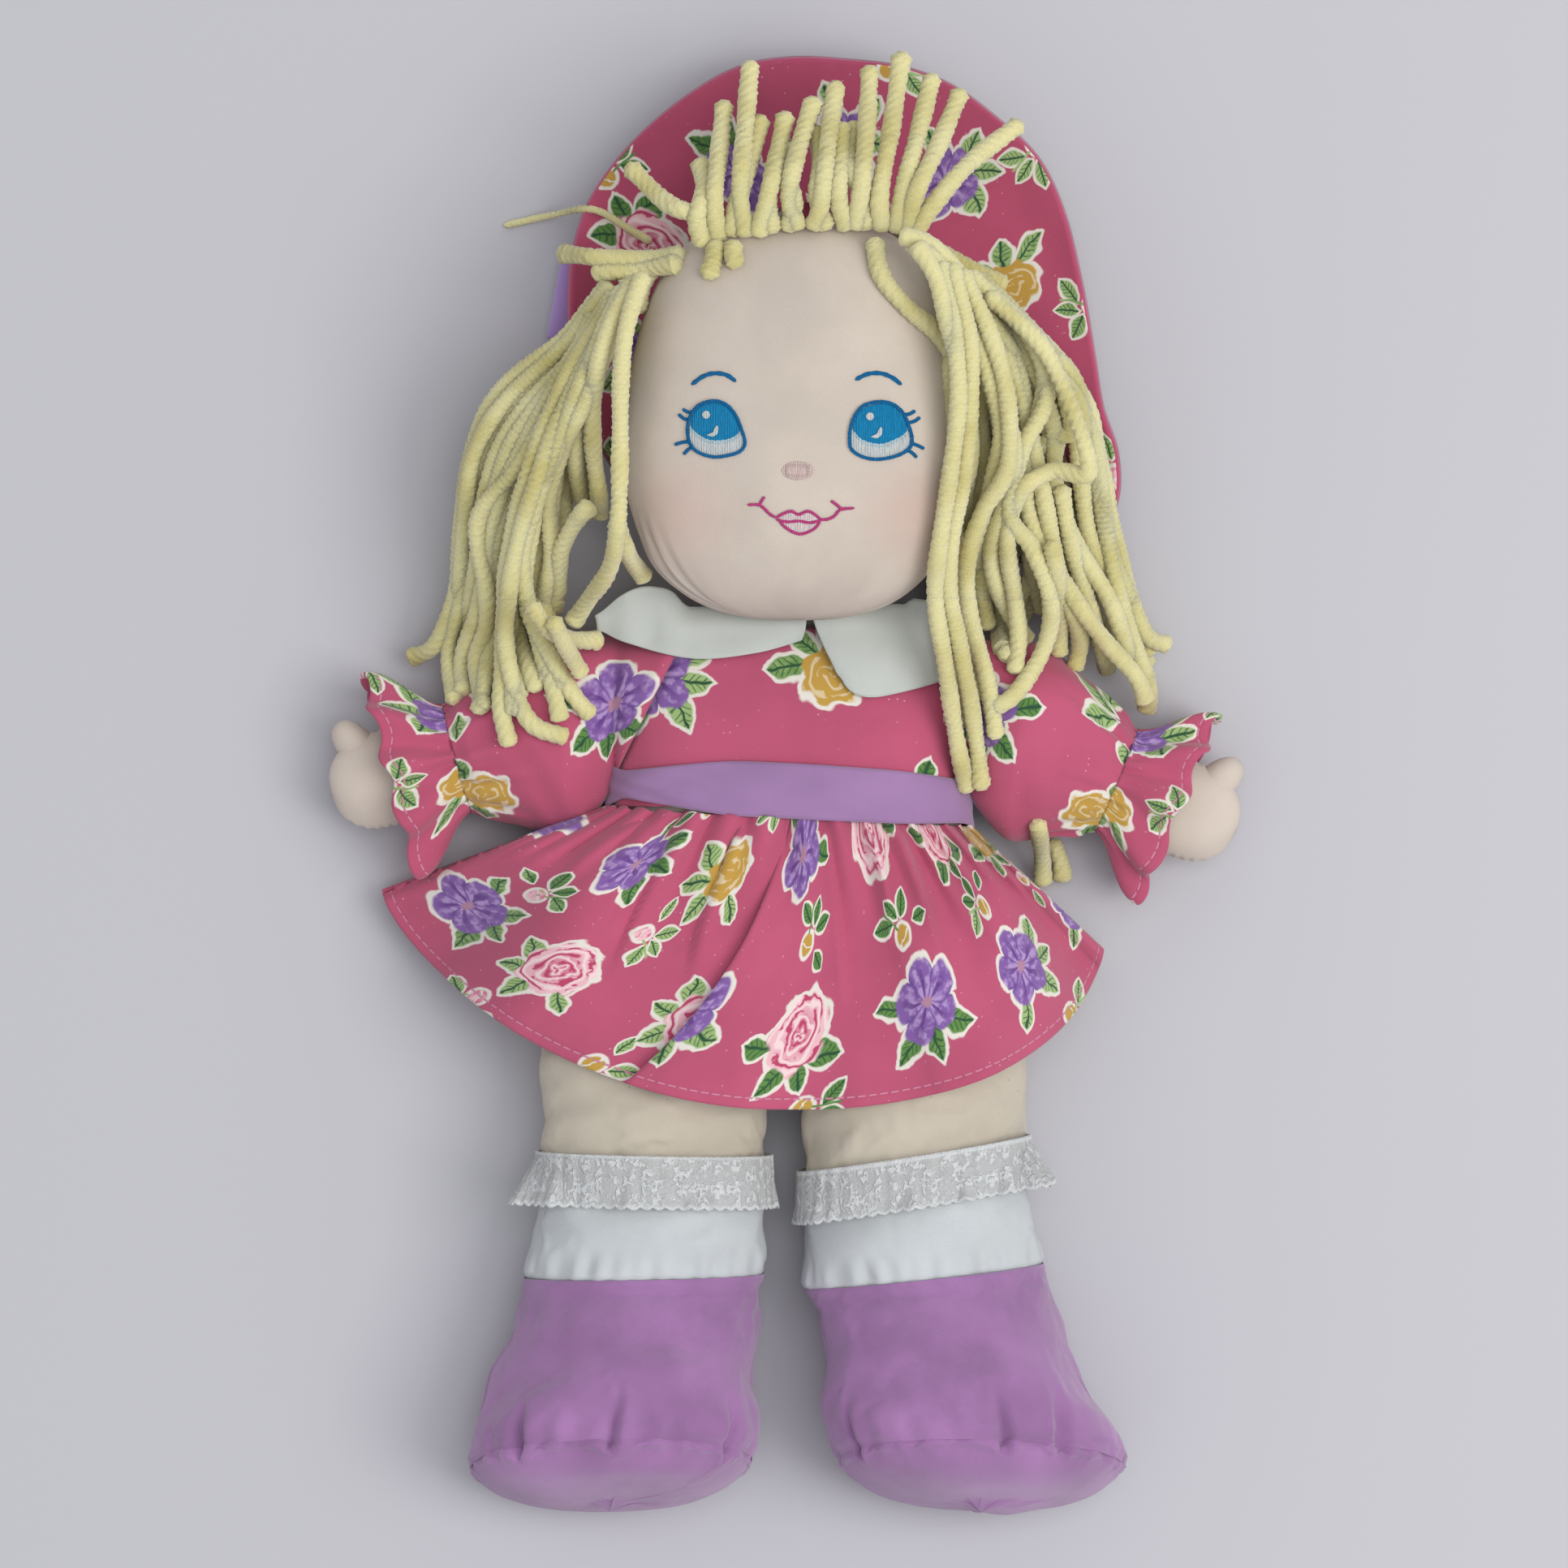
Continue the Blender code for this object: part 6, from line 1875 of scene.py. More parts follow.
@dataclass
class Hat:
    """The soft sun hat behind the head: crown, band, brim and the bow's loop."""

    outline: Path = (
        (1376, 620), (1378, 560), (1359, 500), (1347, 431), (1333, 345), (1313, 262), (1280, 195),
        (1229, 145), (1172, 103), (1110, 80), (1044, 72), (977, 70), (909, 82), (842, 120),
        (779, 175), (730, 238), (707, 300), (702, 370), (708, 450), (730, 530), (780, 605),
        (870, 665), (990, 690), (1130, 700), (1260, 690), (1345, 665),
    )
    centre: Vector = field(default_factory=lambda: PLAN.at(1024, 408))
    crown_share: float = 0.60
    crown_height: float = 0.0130
    crown_turn: float = math.pi * 0.62
    band_top: float = 0.78
    band_width: float = 0.0052
    band_wall: float = 0.0005
    brim_z: float = 0.0185
    brim_wall: float = 0.0030
    brim_filled: float = 0.86
    brim_waves: int = 5
    turn_up: float = 0.0040
    inner_share: float = 0.48
    bow_root: Vector = field(default_factory=lambda: PLAN.at(845, 388))
    bow_tip: Vector = field(default_factory=lambda: PLAN.at(680, 358))
    bow_widths: Pair = (0.0046, 0.0108)
    bow_depths: Pair = (0.0018, 0.0030)
    edge: list[Vector] = field(init=False)

    def __post_init__(self) -> None:
        """Lays the outline out on the floor."""
        self.edge = [PLAN.at(*place) for place in self.outline]
        for point in self.edge:
            point.z = 0
        self.centre.z = 0

    def rim(self, turn: float) -> Vector:
        """The outline's point at a share of the way round, seen from the centre."""
        return spline(self.edge, turn, True) - self.centre

    def crown_point(self, u: float, v: float) -> Vector:
        """A point of the crown: once round, then from its middle on the floor to its top edge."""
        angle = mix(0, self.crown_turn, v)
        share = self.crown_share * min(1.0, math.sin(min(angle, math.pi / 2)) ** 0.55)
        share *= 1 - 0.04 * max(0, v - 0.8)
        height = self.crown_height * (1 - math.cos(angle)) / (1 - math.cos(self.crown_turn))
        wrinkle = 0.0010 * Ripple(101, 6, 1, 5).ring(u, v * 2, 3) * math.sin(math.pi * held(v))
        gathers = 0.0007 * Ripple(102, 7, 14, 36).ring(u) * hump(v, 1, 0.5)
        point = self.centre + self.rim(u) * share
        point += self.rim(u).normalized() * (wrinkle + gathers)
        point.z = max(0.0, height + wrinkle * 0.5)
        return point

    def band_point(self, u: float, v: float) -> Vector:
        """A point of the band: once round, then from its low edge to its high one."""
        high = self.crown_height * self.band_top
        point = self.centre + self.rim(u) * self.crown_share
        swell = 0.0014 + 0.0005 * math.sin(math.pi * held(v)) + 0.0002 * Ripple(103, 4, 4, 12).ring(u, v)
        point += self.rim(u).normalized() * swell
        point.z = mix(high - self.band_width, high, v)
        return point

    def brim_point(self, u: float, v: float) -> Vector:
        """A point of the brim's cloth: once round, then from its edge inwards."""
        t = 1 - v
        share = mix(self.inner_share, 1.0, t)
        base = self.crown_height + 0.0003 + self.brim_wall / 2
        lift = mix(0, self.brim_z - base - self.brim_wall / 2, ease(t)) + self.turn_up * t**4
        waves = 0.0012 * t * t * math.sin(math.tau * self.brim_waves * u)
        waves += 0.0007 * t * Ripple(105, 5, 3, 9).ring(u)
        soft = 0.0004 * Ripple(106, 6, 1, 4).ring(u, v * 0.7, 2)
        point = self.centre + self.rim(u) * share
        point += self.rim(u).normalized() * (0.0003 * Ripple(107, 5, 4, 9).ring(u) * t**3)
        point.z = base + lift + waves + soft
        return point

    def bow_point(self, u: float, v: float) -> Vector:
        """A point of the bow's loop: once round, then from the knot to the fold."""
        along = self.bow_tip - self.bow_root
        across = Vector((-along.y, along.x, 0)).normalized()
        width = mix(*self.bow_widths, ease(v * 1.2)) * (1 + 0.05 * Ripple(108, 3, 1, 2).at(v))
        depth = mix(*self.bow_depths, ease(v)) * (superellipse((v - 0.8) / 0.2, 2.2) if v > 0.8 else 1)
        depth = max(depth, 0.0004)
        centre = self.bow_root + along * v
        centre.z = self.brim_z / 2 - 0.0030 + 0.0006 * math.sin(v * 7)
        crease = 0.0004 * Ripple(109, 5, 6, 15).ring(u) * (1 - v)
        return section(centre, across, Z_AXIS, width + crease, depth + crease, u, 3.0)

    def build(self) -> list[Piece]:
        """Makes the crown, the band, the brim and the bow's loop.

        Returns:
            The four pieces.
        """
        bm = shaped_grid(260, 40, self.crown_point, measure=(0.1, 1.0), corner=(0.01, 0.12))
        crown = sewn("sun_hat_crown", bm, Finishes.hat, "hat_crown", "head")
        bm = shaped_grid(200, 8, self.band_point, measure=(0.1, 0.5))
        band = sewn("sun_hat_band", bm, Finishes.ribbon, "hat_band", "head", self.band_wall)
        bm = shaped_grid(360, 50, self.brim_point, measure=(0.1, 0.0))
        brim = sewn("sun_hat_brim", bm, Finishes.hat, "hat_brim", "head")
        thicken(brim, self.brim_wall * self.brim_filled, 0.0, Finishes.plain_pink)
        bm = shaped_grid(64, 40, self.bow_point, ends=Ends.FILLED)
        bow = sewn("ribbon_bow_loop", bm, Finishes.ribbon, "hat_bow", "head")
        return [crown, band, brim, bow]


# The face.


def oval(centre: Spot, width: float, height: float, count: int, power: float = 1.0) -> Path:
    """The points of an oval, in pixels.

    Args:
        centre: its centre.
        width: half its width.
        height: half its height.
        count: how many points.
        power: 1 is an ellipse, less is boxier.

    Returns:
        The points, once round.
    """
    turns = [k * math.tau / count for k in range(count)]
    shares = [(math.cos(turn), math.sin(turn)) for turn in turns]
    if power != 1.0:
        shares = [tuple(math.copysign(abs(part) ** power, part) for part in pair) for pair in shares]
    return tuple((centre[0] + width * c, centre[1] + height * s) for c, s in shares)


@dataclass
class Face:
    """The embroidery of the face, sewn on the front of the head."""

    head: BVHTree
    lift: float = 0.00022
    outline: float = 0.00085
    brow: float = 0.00105
    lip: float = 0.00075
    nose_line: float = 0.0005
    tries: int = 4
    comma: Path = ((1, 25), (7, 23), (12, 14), (15, 15), (14, 23), (8, 27))
    nose: Spot = (983, 580)

    def on_head(self, px: float, py: float, lift: float) -> Vector:
        """The point over the head's surface that the camera sees at a pixel."""
        point = PLAN.at(px, py, 0.07)
        for _ in range(self.tries):
            point = PLAN.at(px, py, top_of(self.head, point.x, point.y, 0.06) + lift)
        return point

    def stitched(
        self, name: str, bm: Grid, finish: Finish, lay: Callable[[bmesh.types.BMLoop, Vector], Vector]
    ) -> Piece:
        """Makes a piece of embroidery and puts it on the head.

        Args:
            name: the piece's name.
            bm: the mesh, which is freed.
            finish: its thread.
            lay: the place on the thread's map, from a corner of a face and its place so far.

        Returns:
            The piece.
        """
        face_up(bm)
        layer = bm.loops.layers.uv.active
        for loop in (loop for face in bm.faces for loop in face.loops):
            loop[layer].uv = lay(loop, loop[layer].uv.copy())
        obj = mesh_object(name, bm, finish)
        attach(obj, "head")
        return obj

    def line(
        self, name: str, path: Path, width: float, finish: Finish, level: int = 2, closed: bool = False
    ) -> Piece:
        """A raised line of stitches.

        Args:
            name: the piece's name.
            path: its middle, in pixels.
            width: its full width in metres.
            finish: its thread.
            level: how many layers of thread it lies over.
            closed: whether it returns to its start.

        Returns:
            The piece.
        """
        knots = [Vector((x, y, 0)) for x, y in path]
        pixels = width / PLAN.pixel

        def place(u: float, v: float) -> Vector:
            """A point of the line: across it, then along it."""
            here = spline(knots, v, closed)
            if not closed and v > 0.99:
                step = (here - spline(knots, v - 0.004)).normalized()
            else:
                step = (spline(knots, v + 0.004, closed) - here).normalized()
            end = 1.0 if closed else min(1.0, 0.35 + 12 * min(v, 1 - v))
            ragged = 1 + 0.10 * math.sin(v * 410) + 0.06 * math.sin(v * 173)
            side = (u - 0.5) * pixels * end * ragged
            round_top = math.sin(math.pi * mix(0.02, 0.98, u))
            lift = self.lift * level + 0.00030 * round_top - 0.0001
            return self.on_head(here.x - step.y * side, here.y + step.x * side, lift)

        bm = shaped_grid(6, max(40, 12 * len(knots)), place, measure=(0.5, 0.5))
        return self.stitched(name, bm, finish, lambda loop, uv: uv.yx)

    def patch(
        self, name: str, path: Path, finish: Finish, level: int = 1, ragged: float = 0.0
    ) -> Piece:
        """A filled patch of satin stitches.

        Args:
            name: the piece's name.
            path: its outline, in pixels.
            finish: its thread.
            level: how many layers of thread it lies over.
            ragged: how far its edge wanders, in pixels.

        Returns:
            The piece.
        """
        knots = [Vector((x, y, 0)) for x, y in path]
        centre = sum(knots, Vector()) / len(knots)

        def place(u: float, v: float) -> Vector:
            """A point of the patch: once round, then from its edge to its middle."""
            edge = spline(knots, u, True)
            if ragged:
                edge = edge + Vector((0, ragged * math.sin(u * 530) * math.sin(u * 91), 0))
            spot = centre + (edge - centre) * (1 - v) ** 0.8
            puff = 0.00025 * superellipse(1 - v, 3)
            return self.on_head(spot.x, spot.y, self.lift * level + puff - 0.00012)

        bm = shaped_grid(96, 14, place)
        return self.stitched(name, bm, finish, lambda loop, uv: loop.vert.co.xy)

    def eye(self, word: str, outline: Path, iris: Path, spot: Spot) -> list[Piece]:
        """One eye: white, iris, pale edge, highlights and outline.

        Args:
            word: which eye.
            outline: the eye's outline, in pixels.
            iris: the iris's outline, in pixels.
            spot: the centre of the round highlight, in pixels.

        Returns:
            The pieces.
        """
        x, y = spot
        round_spot = oval(spot, 5, 5, 8)
        comma = tuple((x + dx, y + dy) for dx, dy in self.comma)
        shade = tuple((px, py + 5) for px, py in iris)
        return [
            self.patch(f"eye_white_{word}", outline, Finishes.white, 1),
            self.patch(f"eye_shade_{word}", shade, Finishes.ice_blue, 2, 1.6),
            self.patch(f"iris_{word}", iris, Finishes.blue, 3, 0.9),
            self.patch(f"eye_spark_{word}", round_spot, Finishes.white, 5),
            self.patch(f"eye_comma_{word}", comma, Finishes.white, 5),
            self.line(f"eye_outline_{word}", outline, self.outline, Finishes.deep_blue, 4, True),
        ]

    def build(self) -> list[Piece]:
        """Sews the eyes, the brows, the lashes, the nose and the mouth.

        Returns:
            The pieces.
        """
        right_eye = (
            (847, 530), (850, 514), (860, 500), (878, 494), (894, 498), (906, 511), (914, 530),
            (918, 546), (912, 556), (898, 561), (879, 563), (860, 557), (850, 546),
        )
        left_eye = (
            (1047, 541), (1048, 528), (1053, 513), (1064, 500), (1083, 495), (1100, 498), (1113, 509),
            (1120, 525), (1124, 541), (1120, 553), (1104, 562), (1080, 566), (1061, 562), (1049, 553),
        )
        right_iris = (
            (851, 524), (853, 513), (862, 501), (878, 496), (893, 500), (904, 512), (911, 528),
            (909, 534), (900, 540), (887, 543), (874, 542), (864, 537), (856, 531),
        )
        left_iris = (
            (1051, 528), (1055, 514), (1065, 502), (1083, 497), (1099, 500), (1111, 511), (1118, 527),
            (1113, 535), (1101, 542), (1088, 547), (1075, 546), (1062, 541), (1055, 534),
        )
        made = self.eye("right", right_eye, right_iris, (870, 511))
        made += self.eye("left", left_eye, left_iris, (1072, 513))
        strokes = {
            "brow_right": ((852, 474), (866, 464), (880, 460), (895, 462), (907, 470)),
            "brow_left": ((1054, 468), (1069, 461), (1085, 460), (1099, 465), (1111, 474)),
            "lash_right_1": ((857, 506), (849, 508), (841, 504)),
            "lash_right_2": ((850, 517), (843, 516), (836, 510)),
            "lash_right_3": ((850, 544), (841, 545), (831, 548)),
            "lash_right_4": ((854, 550), (848, 554), (842, 560)),
            "lash_left_1": ((1113, 511), (1121, 510), (1128, 506)),
            "lash_left_2": ((1119, 521), (1127, 519), (1134, 514)),
            "lash_left_3": ((1122, 546), (1131, 549), (1139, 553)),
            "lash_left_4": ((1117, 554), (1124, 558), (1130, 564)),
        }
        for name, path in strokes.items():
            width = self.brow if name.startswith("brow") else self.outline
            made.append(self.line(f"stitched_{name}", path, width, Finishes.deep_blue, 2))
        mouth = {
            "smile_right": ((921, 622), (934, 622), (941, 626), (948, 633), (956, 638)),
            "fork_right": ((942, 612), (938, 618), (936, 623)),
            "smile_left": ((1010, 640), (1019, 640), (1028, 636), (1036, 628), (1053, 626)),
            "fork_left": ((1024, 617), (1031, 622), (1038, 628)),
            "lip_top": ((956, 638), (965, 633), (975, 630), (984, 634), (995, 630), (1004, 634),
                        (1011, 640)),
            "lip_middle": ((956, 640), (970, 643), (984, 642), (998, 644), (1012, 641)),
            "lip_bottom": ((960, 642), (968, 650), (978, 656), (987, 658), (997, 655), (1005, 650),
                           (1011, 642)),
        }
        lips = (
            (958, 639), (974, 631), (984, 634), (996, 631), (1010, 640), (1004, 650), (987, 657), (968, 650)
        )
        made.append(self.patch("lips_fill", lips, Finishes.lip, 1))
        for name, path in mouth.items():
            made.append(self.line(f"stitched_{name}", path, self.lip, Finishes.magenta, 2))
        made.append(self.patch("nose_satin", oval(self.nose, 20, 11.5, 12), Finishes.rosy, 1))
        ring = oval(self.nose, 13.5, 6.5, 16, 0.35)
        made.append(self.line("nose_ring", ring, self.nose_line, Finishes.rosy, 2, True))
        return made


# The hair.


@dataclass
class Strand:
    """One length of yarn: its route in pixels and its radius."""

    route: Path
    radius: float = 0.0023


@dataclass
class Yarn:
    """Lays yarns on what is under them and makes them plied tubes."""

    under: BVHTree
    cell: float = 0.001
    spacing: float = 0.0011
    pitch: float = 0.0105
    squeeze: float = 0.62
    samples: int = 60
    drape_rounds: int = 26
    soft_rounds: int = 3
    floor: dict[tuple[int, int], float] = field(default_factory=dict)
    tops: dict[tuple[int, int], float] = field(default_factory=dict)

    def bare(self, key: tuple[int, int]) -> float:
        """Height of what lies under all yarn, at a cell."""
        if key not in self.floor:
            self.floor[key] = top_of(self.under, key[0] * self.cell, key[1] * self.cell, 0.0)
        return self.floor[key]

    def ground(self, x: float, y: float) -> float:
        """Height of the top so far over a place."""
        key = (round(x / self.cell), round(y / self.cell))
        return max(self.bare(key), self.tops.get(key, 0.0))

    def rest(self, x: float, y: float, radius: float) -> float:
        """Height of a yarn's middle where it just rests at a place."""
        reach = radius * 0.7
        spots = ((0, 0), (reach, 0), (-reach, 0), (0, reach), (0, -reach))
        best = self.ground(x, y)
        for dx, dy in spots[1:]:
            best = max(best, self.ground(x + dx, y + dy) - radius * 0.3)
        return best + radius * self.squeeze

    def lay(self, strand: Strand, guide: Callable[[float], float], room: float = 0.05) -> list[Vector]:
        """Works out a strand's route over everything laid before it.

        Args:
            strand: the strand.
            guide: the height that its middle keeps at least, at a share of its length.
            room: how far over the guide other strands may push it.

        Returns:
            Points along its middle, evenly spaced.
        """
        flat = [PLAN.at(*place) for place in strand.route]
        rough = [spline(flat, k / self.samples) for k in range(self.samples + 1)]
        total = lengths(rough)[-1]
        count = max(6, round(total / self.spacing))
        pixels = [Vector((x, y, 0)) for x, y in strand.route]
        points = [PLAN.at(*spline(pixels, k / count).xy, 0.04) for k in range(count + 1)]
        for _ in range(2):
            low = []
            for k, p in enumerate(points):
                least = guide(k / count)
                key = (round(p.x / self.cell), round(p.y / self.cell))
                pushed = min(self.rest(p.x, p.y, strand.radius), least + room)
                low.append(max(self.bare(key) + strand.radius * 0.85, least, pushed))
            high = low[:]
            for _ in range(self.drape_rounds):
                sides = [high[0], *high, high[-1]]
                high = [max(l, (a + b) / 2) for l, a, b in zip(low, sides, sides[2:])]
            for _ in range(self.soft_rounds):
                sides = [high[0], *high, high[-1]]
                high = [(a + 2 * h + b) / 4 for h, a, b in zip(high, sides, sides[2:])]
            points = [PLAN.at(*spline(pixels, k / count).xy, z) for k, z in enumerate(high)]
        self.press(points, strand.radius)
        return points

    def press(self, points: Sequence[Vector], radius: float) -> None:
        """Raises the top so far to the strand's own."""
        reach = math.ceil(radius / self.cell)
        for point in points:
            kx, ky = round(point.x / self.cell), round(point.y / self.cell)
            for i in range(-reach, reach + 1):
                for j in range(-reach, reach + 1):
                    away = (i * i + j * j) * self.cell**2
                    if away < radius**2:
                        top = point.z + math.sqrt(radius**2 - away)
                        key = (kx + i, ky + j)
                        self.tops[key] = max(top, self.tops.get(key, 0.0))

    def profile(self, radius: float, plies: int = 4) -> Piece:
        """The yarn's section: round lobes, one for each ply."""
        data = bpy.data.curves.new("yarn_section", "CURVE")
        data.dimensions = "2D"
        line = data.splines.new("POLY")
        count = 4 * plies
        line.points.add(count - 1)
        for k in range(count):
            angle = math.tau * k / count
            reach = radius * (0.96 + 0.05 * math.cos(plies * angle))
            line.points[k].co = (reach * math.cos(angle), reach * math.sin(angle), 0, 1)
        line.use_cyclic_u = True
        return placed("yarn_section", data)

    def tubes(self, name: str, routes: Sequence[tuple[Sequence[Vector], float]], finish: Finish) -> Piece:
        """Makes plied tubes along routes, with cut ends a little spread.

        Args:
            name: the piece's name.
            routes: each route's points and its radius.
            finish: the yarn.

        Returns:
            One mesh piece with all of them.
        """
        data = bpy.data.curves.new(name, "CURVE")
        data.dimensions = "3D"
        data.twist_mode = "MINIMUM"
        data.use_fill_caps = True
        section_obj = self.profile(1.0)
        data.bevel_mode = "OBJECT"
        data.bevel_object = section_obj
        chance = random.Random(len(routes))
        for points, radius in routes:
            line = data.splines.new("POLY")
            line.points.add(len(points) - 1)
            turn = chance.uniform(0, math.tau)
            way = lengths(points)
            for k, point in enumerate(points):
                knot = line.points[k]
                knot.co = (*point, 1)
                knot.tilt = turn + math.tau * way[k] / self.pitch
                ends = min(way[k], way[-1] - way[k])
                fray = (1 + 0.10 * hump(ends, 0.001, 0.004)) * (1 - 0.5 * hump(ends, 0, 0.0009))
                knot.radius = radius * fray * (1 + 0.05 * math.sin(way[k] * 330 + turn))
            line.use_smooth = True
        curve = placed(name + "_curve", data)
        bpy.context.view_layer.update()
        graph = bpy.context.evaluated_depsgraph_get()
        mesh = bpy.data.meshes.new_from_object(curve.evaluated_get(graph))
        bpy.data.objects.remove(curve)
        bpy.data.objects.remove(section_obj)
        mesh.name = name
        mesh.shade_smooth()
        mesh.materials.clear()
        mesh.materials.append(finish.material())
        obj = placed(name, mesh)
        return obj


@dataclass
class Hair:
    """The two bunches of yarn at the temples and the fringe over the hat."""

    yarn: Yarn
    cut_y: float = 0.045
    fade_down: float = 0.024
    fade_out: float = 0.018
    face_edges: dict[Side, float] = field(default_factory=lambda: {Side.LEFT: 1180, Side.RIGHT: 764})
    reach: float = 190
    outer: tuple[float, ...] = (0.048, 0.045, 0.033, 0.025, 0.017, 0.006)
    inner: tuple[float, ...] = (0.070, 0.070, 0.066, 0.058, 0.047, 0.024)
    layer_drops: Pair = (0.016, 0.010)
    short_drop: float = 0.006
    whole_count: int = 6
    fringe_heights: Triple = (0.058, 0.063, 0.050)
    fringe_radius: float = 0.0024
    fibre_radius: float = 0.0010
    right: tuple[Path, ...] = (
        ((752, 347), (694, 418), (621, 476), (585, 544), (569, 635), (562, 726), (537, 793), (503, 812)),
        ((757, 354), (703, 427), (630, 504), (589, 576), (578, 658), (571, 730), (553, 793), (560, 866)),
        ((766, 359), (712, 440), (639, 531), (608, 612), (603, 680), (589, 748), (571, 807), (571, 855)),
        ((757, 363), (716, 431), (666, 522), (630, 603), (610, 680), (614, 739), (603, 807), (589, 880)),
        ((734, 386), (694, 467), (644, 567), (589, 639), (599, 726), (599, 771), (587, 816), (596, 877)),
        ((771, 350), (734, 431), (714, 486), (708, 549), (714, 603), (728, 637)),
        ((730, 621), (712, 639), (691, 680), (688, 726), (680, 753)),
        ((784, 341), (752, 399), (734, 463), (730, 540), (737, 603), (741, 639)),
        ((775, 359), (748, 431), (716, 504), (694, 549), (676, 612), (680, 680), (671, 730), (666, 766)),
        ((766, 386), (730, 440), (703, 504), (676, 567), (657, 639), (648, 739), (685, 821),
         (707, 857), (730, 884)),
        ((771, 359), (739, 440), (712, 504), (680, 567), (648, 658), (644, 712), (662, 784),
         (680, 843), (691, 889)),
        ((757, 372), (712, 440), (680, 504), (644, 603), (626, 685), (621, 748), (619, 821),
         (617, 870), (628, 920)),
        ((653, 744), (676, 775), (707, 788), (743, 789)),
        ((680, 762), (698, 798), (719, 834)),
        ((766, 363), (730, 431), (694, 504), (657, 603), (635, 680), (626, 739), (623, 793),
         (635, 852), (657, 893),
         (700, 909)),
        ((757, 639), (775, 685), (796, 714)),
        ((793, 336), (773, 399), (765, 467), (764, 544), (762, 635), (752, 698), (725, 739), (703, 771)),
    )
    left: tuple[Path, ...] = (
        ((1278, 1011), (1284, 1051), (1285, 1092)),
        ((1296, 1034), (1307, 1063), (1310, 1087)),
        ((1204, 345), (1278, 420), (1324, 471), (1345, 552), (1359, 632), (1376, 724), (1399, 799),
         (1416, 850),
         (1411, 879)),
        ((1204, 339), (1261, 397), (1307, 448), (1339, 500), (1353, 557), (1370, 644), (1388, 718),
         (1411, 781),
         (1442, 796)),
        ((1210, 368), (1290, 460), (1319, 494), (1330, 575), (1342, 661), (1370, 724), (1393, 804)),
        ((1307, 598), (1319, 667), (1342, 747), (1359, 804), (1365, 827)),
        ((1296, 667), (1307, 747), (1304, 810)),
        ((1192, 362), (1244, 448), (1273, 552), (1290, 632), (1307, 718), (1330, 781), (1324, 827)),
        ((1198, 351), (1255, 420), (1296, 517), (1301, 603), (1330, 678), (1365, 735), (1388, 793),
         (1416, 839)),
        ((1181, 362), (1221, 460), (1250, 552), (1238, 621), (1221, 678), (1233, 735), (1267, 793)),
        ((1187, 345), (1238, 414), (1267, 517), (1267, 632), (1319, 730), (1359, 787), (1399, 833),
         (1413, 868)),
        ((1175, 345), (1210, 437), (1233, 529), (1221, 598), (1204, 667), (1210, 718)),
        ((1192, 345), (1261, 402), (1290, 483), (1261, 552), (1244, 632), (1273, 678), (1295, 747),
         (1284, 804),
         (1250, 856), (1221, 873)),
        ((1192, 336), (1250, 391), (1278, 431), (1287, 477), (1267, 540), (1244, 598), (1221, 644),
         (1210, 718),
         (1218, 776)),
        ((1215, 362), (1290, 437), (1342, 575), (1296, 580), (1255, 609), (1241, 667), (1250, 735),
         (1255, 787),
         (1250, 830)),
        ((1184, 333), (1221, 414), (1241, 488), (1241, 575), (1210, 632), (1192, 690), (1195, 758),
         (1215, 833),
         (1228, 911)),
        ((1172, 325), (1195, 420), (1195, 506), (1187, 586), (1172, 667), (1169, 724), (1184, 804),
         (1198, 879),
         (1210, 974)),
        ((1158, 322), (1174, 402), (1181, 488), (1172, 575), (1158, 667), (1152, 735), (1164, 816),
         (1178, 908),
         (1192, 977)),
        ((1120, 296), (1150, 318), (1180, 372), (1206, 430), (1226, 500), (1240, 560), (1230, 610)),
        ((1108, 290), (1142, 300), (1176, 330), (1214, 385), (1250, 440), (1275, 500), (1280, 570)),
        ((1128, 300), (1152, 340), (1168, 400), (1186, 470), (1196, 540), (1190, 600), (1180, 680)),
    )
    fringe: tuple[Path, ...] = (
        ((880, 300), (862, 268), (822, 250), (773, 203)),
        ((952, 288), (946, 246), (958, 200), (965, 168)),
        ((970, 286), (978, 250), (968, 212), (974, 176)),
        ((1018, 284), (1006, 240), (1012, 200), (1006, 156)),
        ((1068, 284), (1058, 232), (1046, 196), (1054, 150)),
        ((900, 292), (908, 250), (924, 200), (938, 142)),
        ((868, 304), (858, 270), (868, 230), (862, 196)),
        ((884, 300), (880, 250), (886, 190), (893, 124)),
        ((920, 292), (912, 240), (918, 160), (925, 75)),
        ((932, 292), (944, 250), (956, 200), (969, 138)),
        ((984, 284), (972, 240), (985, 180), (1004, 120)),
        ((1000, 284), (1012, 250), (1020, 180), (1031, 100)),
        ((1046, 284), (1034, 250), (1036, 200), (1039, 151)),
        ((1052, 284), (1060, 240), (1068, 160), (1072, 81)),
        ((1088, 286), (1084, 240), (1098, 160), (1112, 64)),
        ((1104, 288), (1112, 240), (1130, 170), (1150, 91)),
        ((1116, 290), (1128, 240), (1156, 180), (1185, 110)),
        ((1124, 292), (1152, 250), (1196, 200), (1259, 151)),
    )
    loose: tuple[Path, ...] = (
        ((1077, 293), (1086, 339), (1118, 379), (1152, 408), (1174, 437)),
        ((839, 325), (784, 332), (730, 335)),
        ((843, 313), (793, 319), (748, 318), (689, 312)),
        ((1129, 293), (1158, 310), (1198, 333), (1241, 352)),
        ((830, 316), (806, 330), (792, 352), (786, 386)),
        ((884, 296), (880, 316), (872, 344)),
        ((905, 296), (903, 312), (908, 330)),
    )
    fallen: Path = ((802, 298), (775, 282), (730, 258), (676, 266), (621, 278))

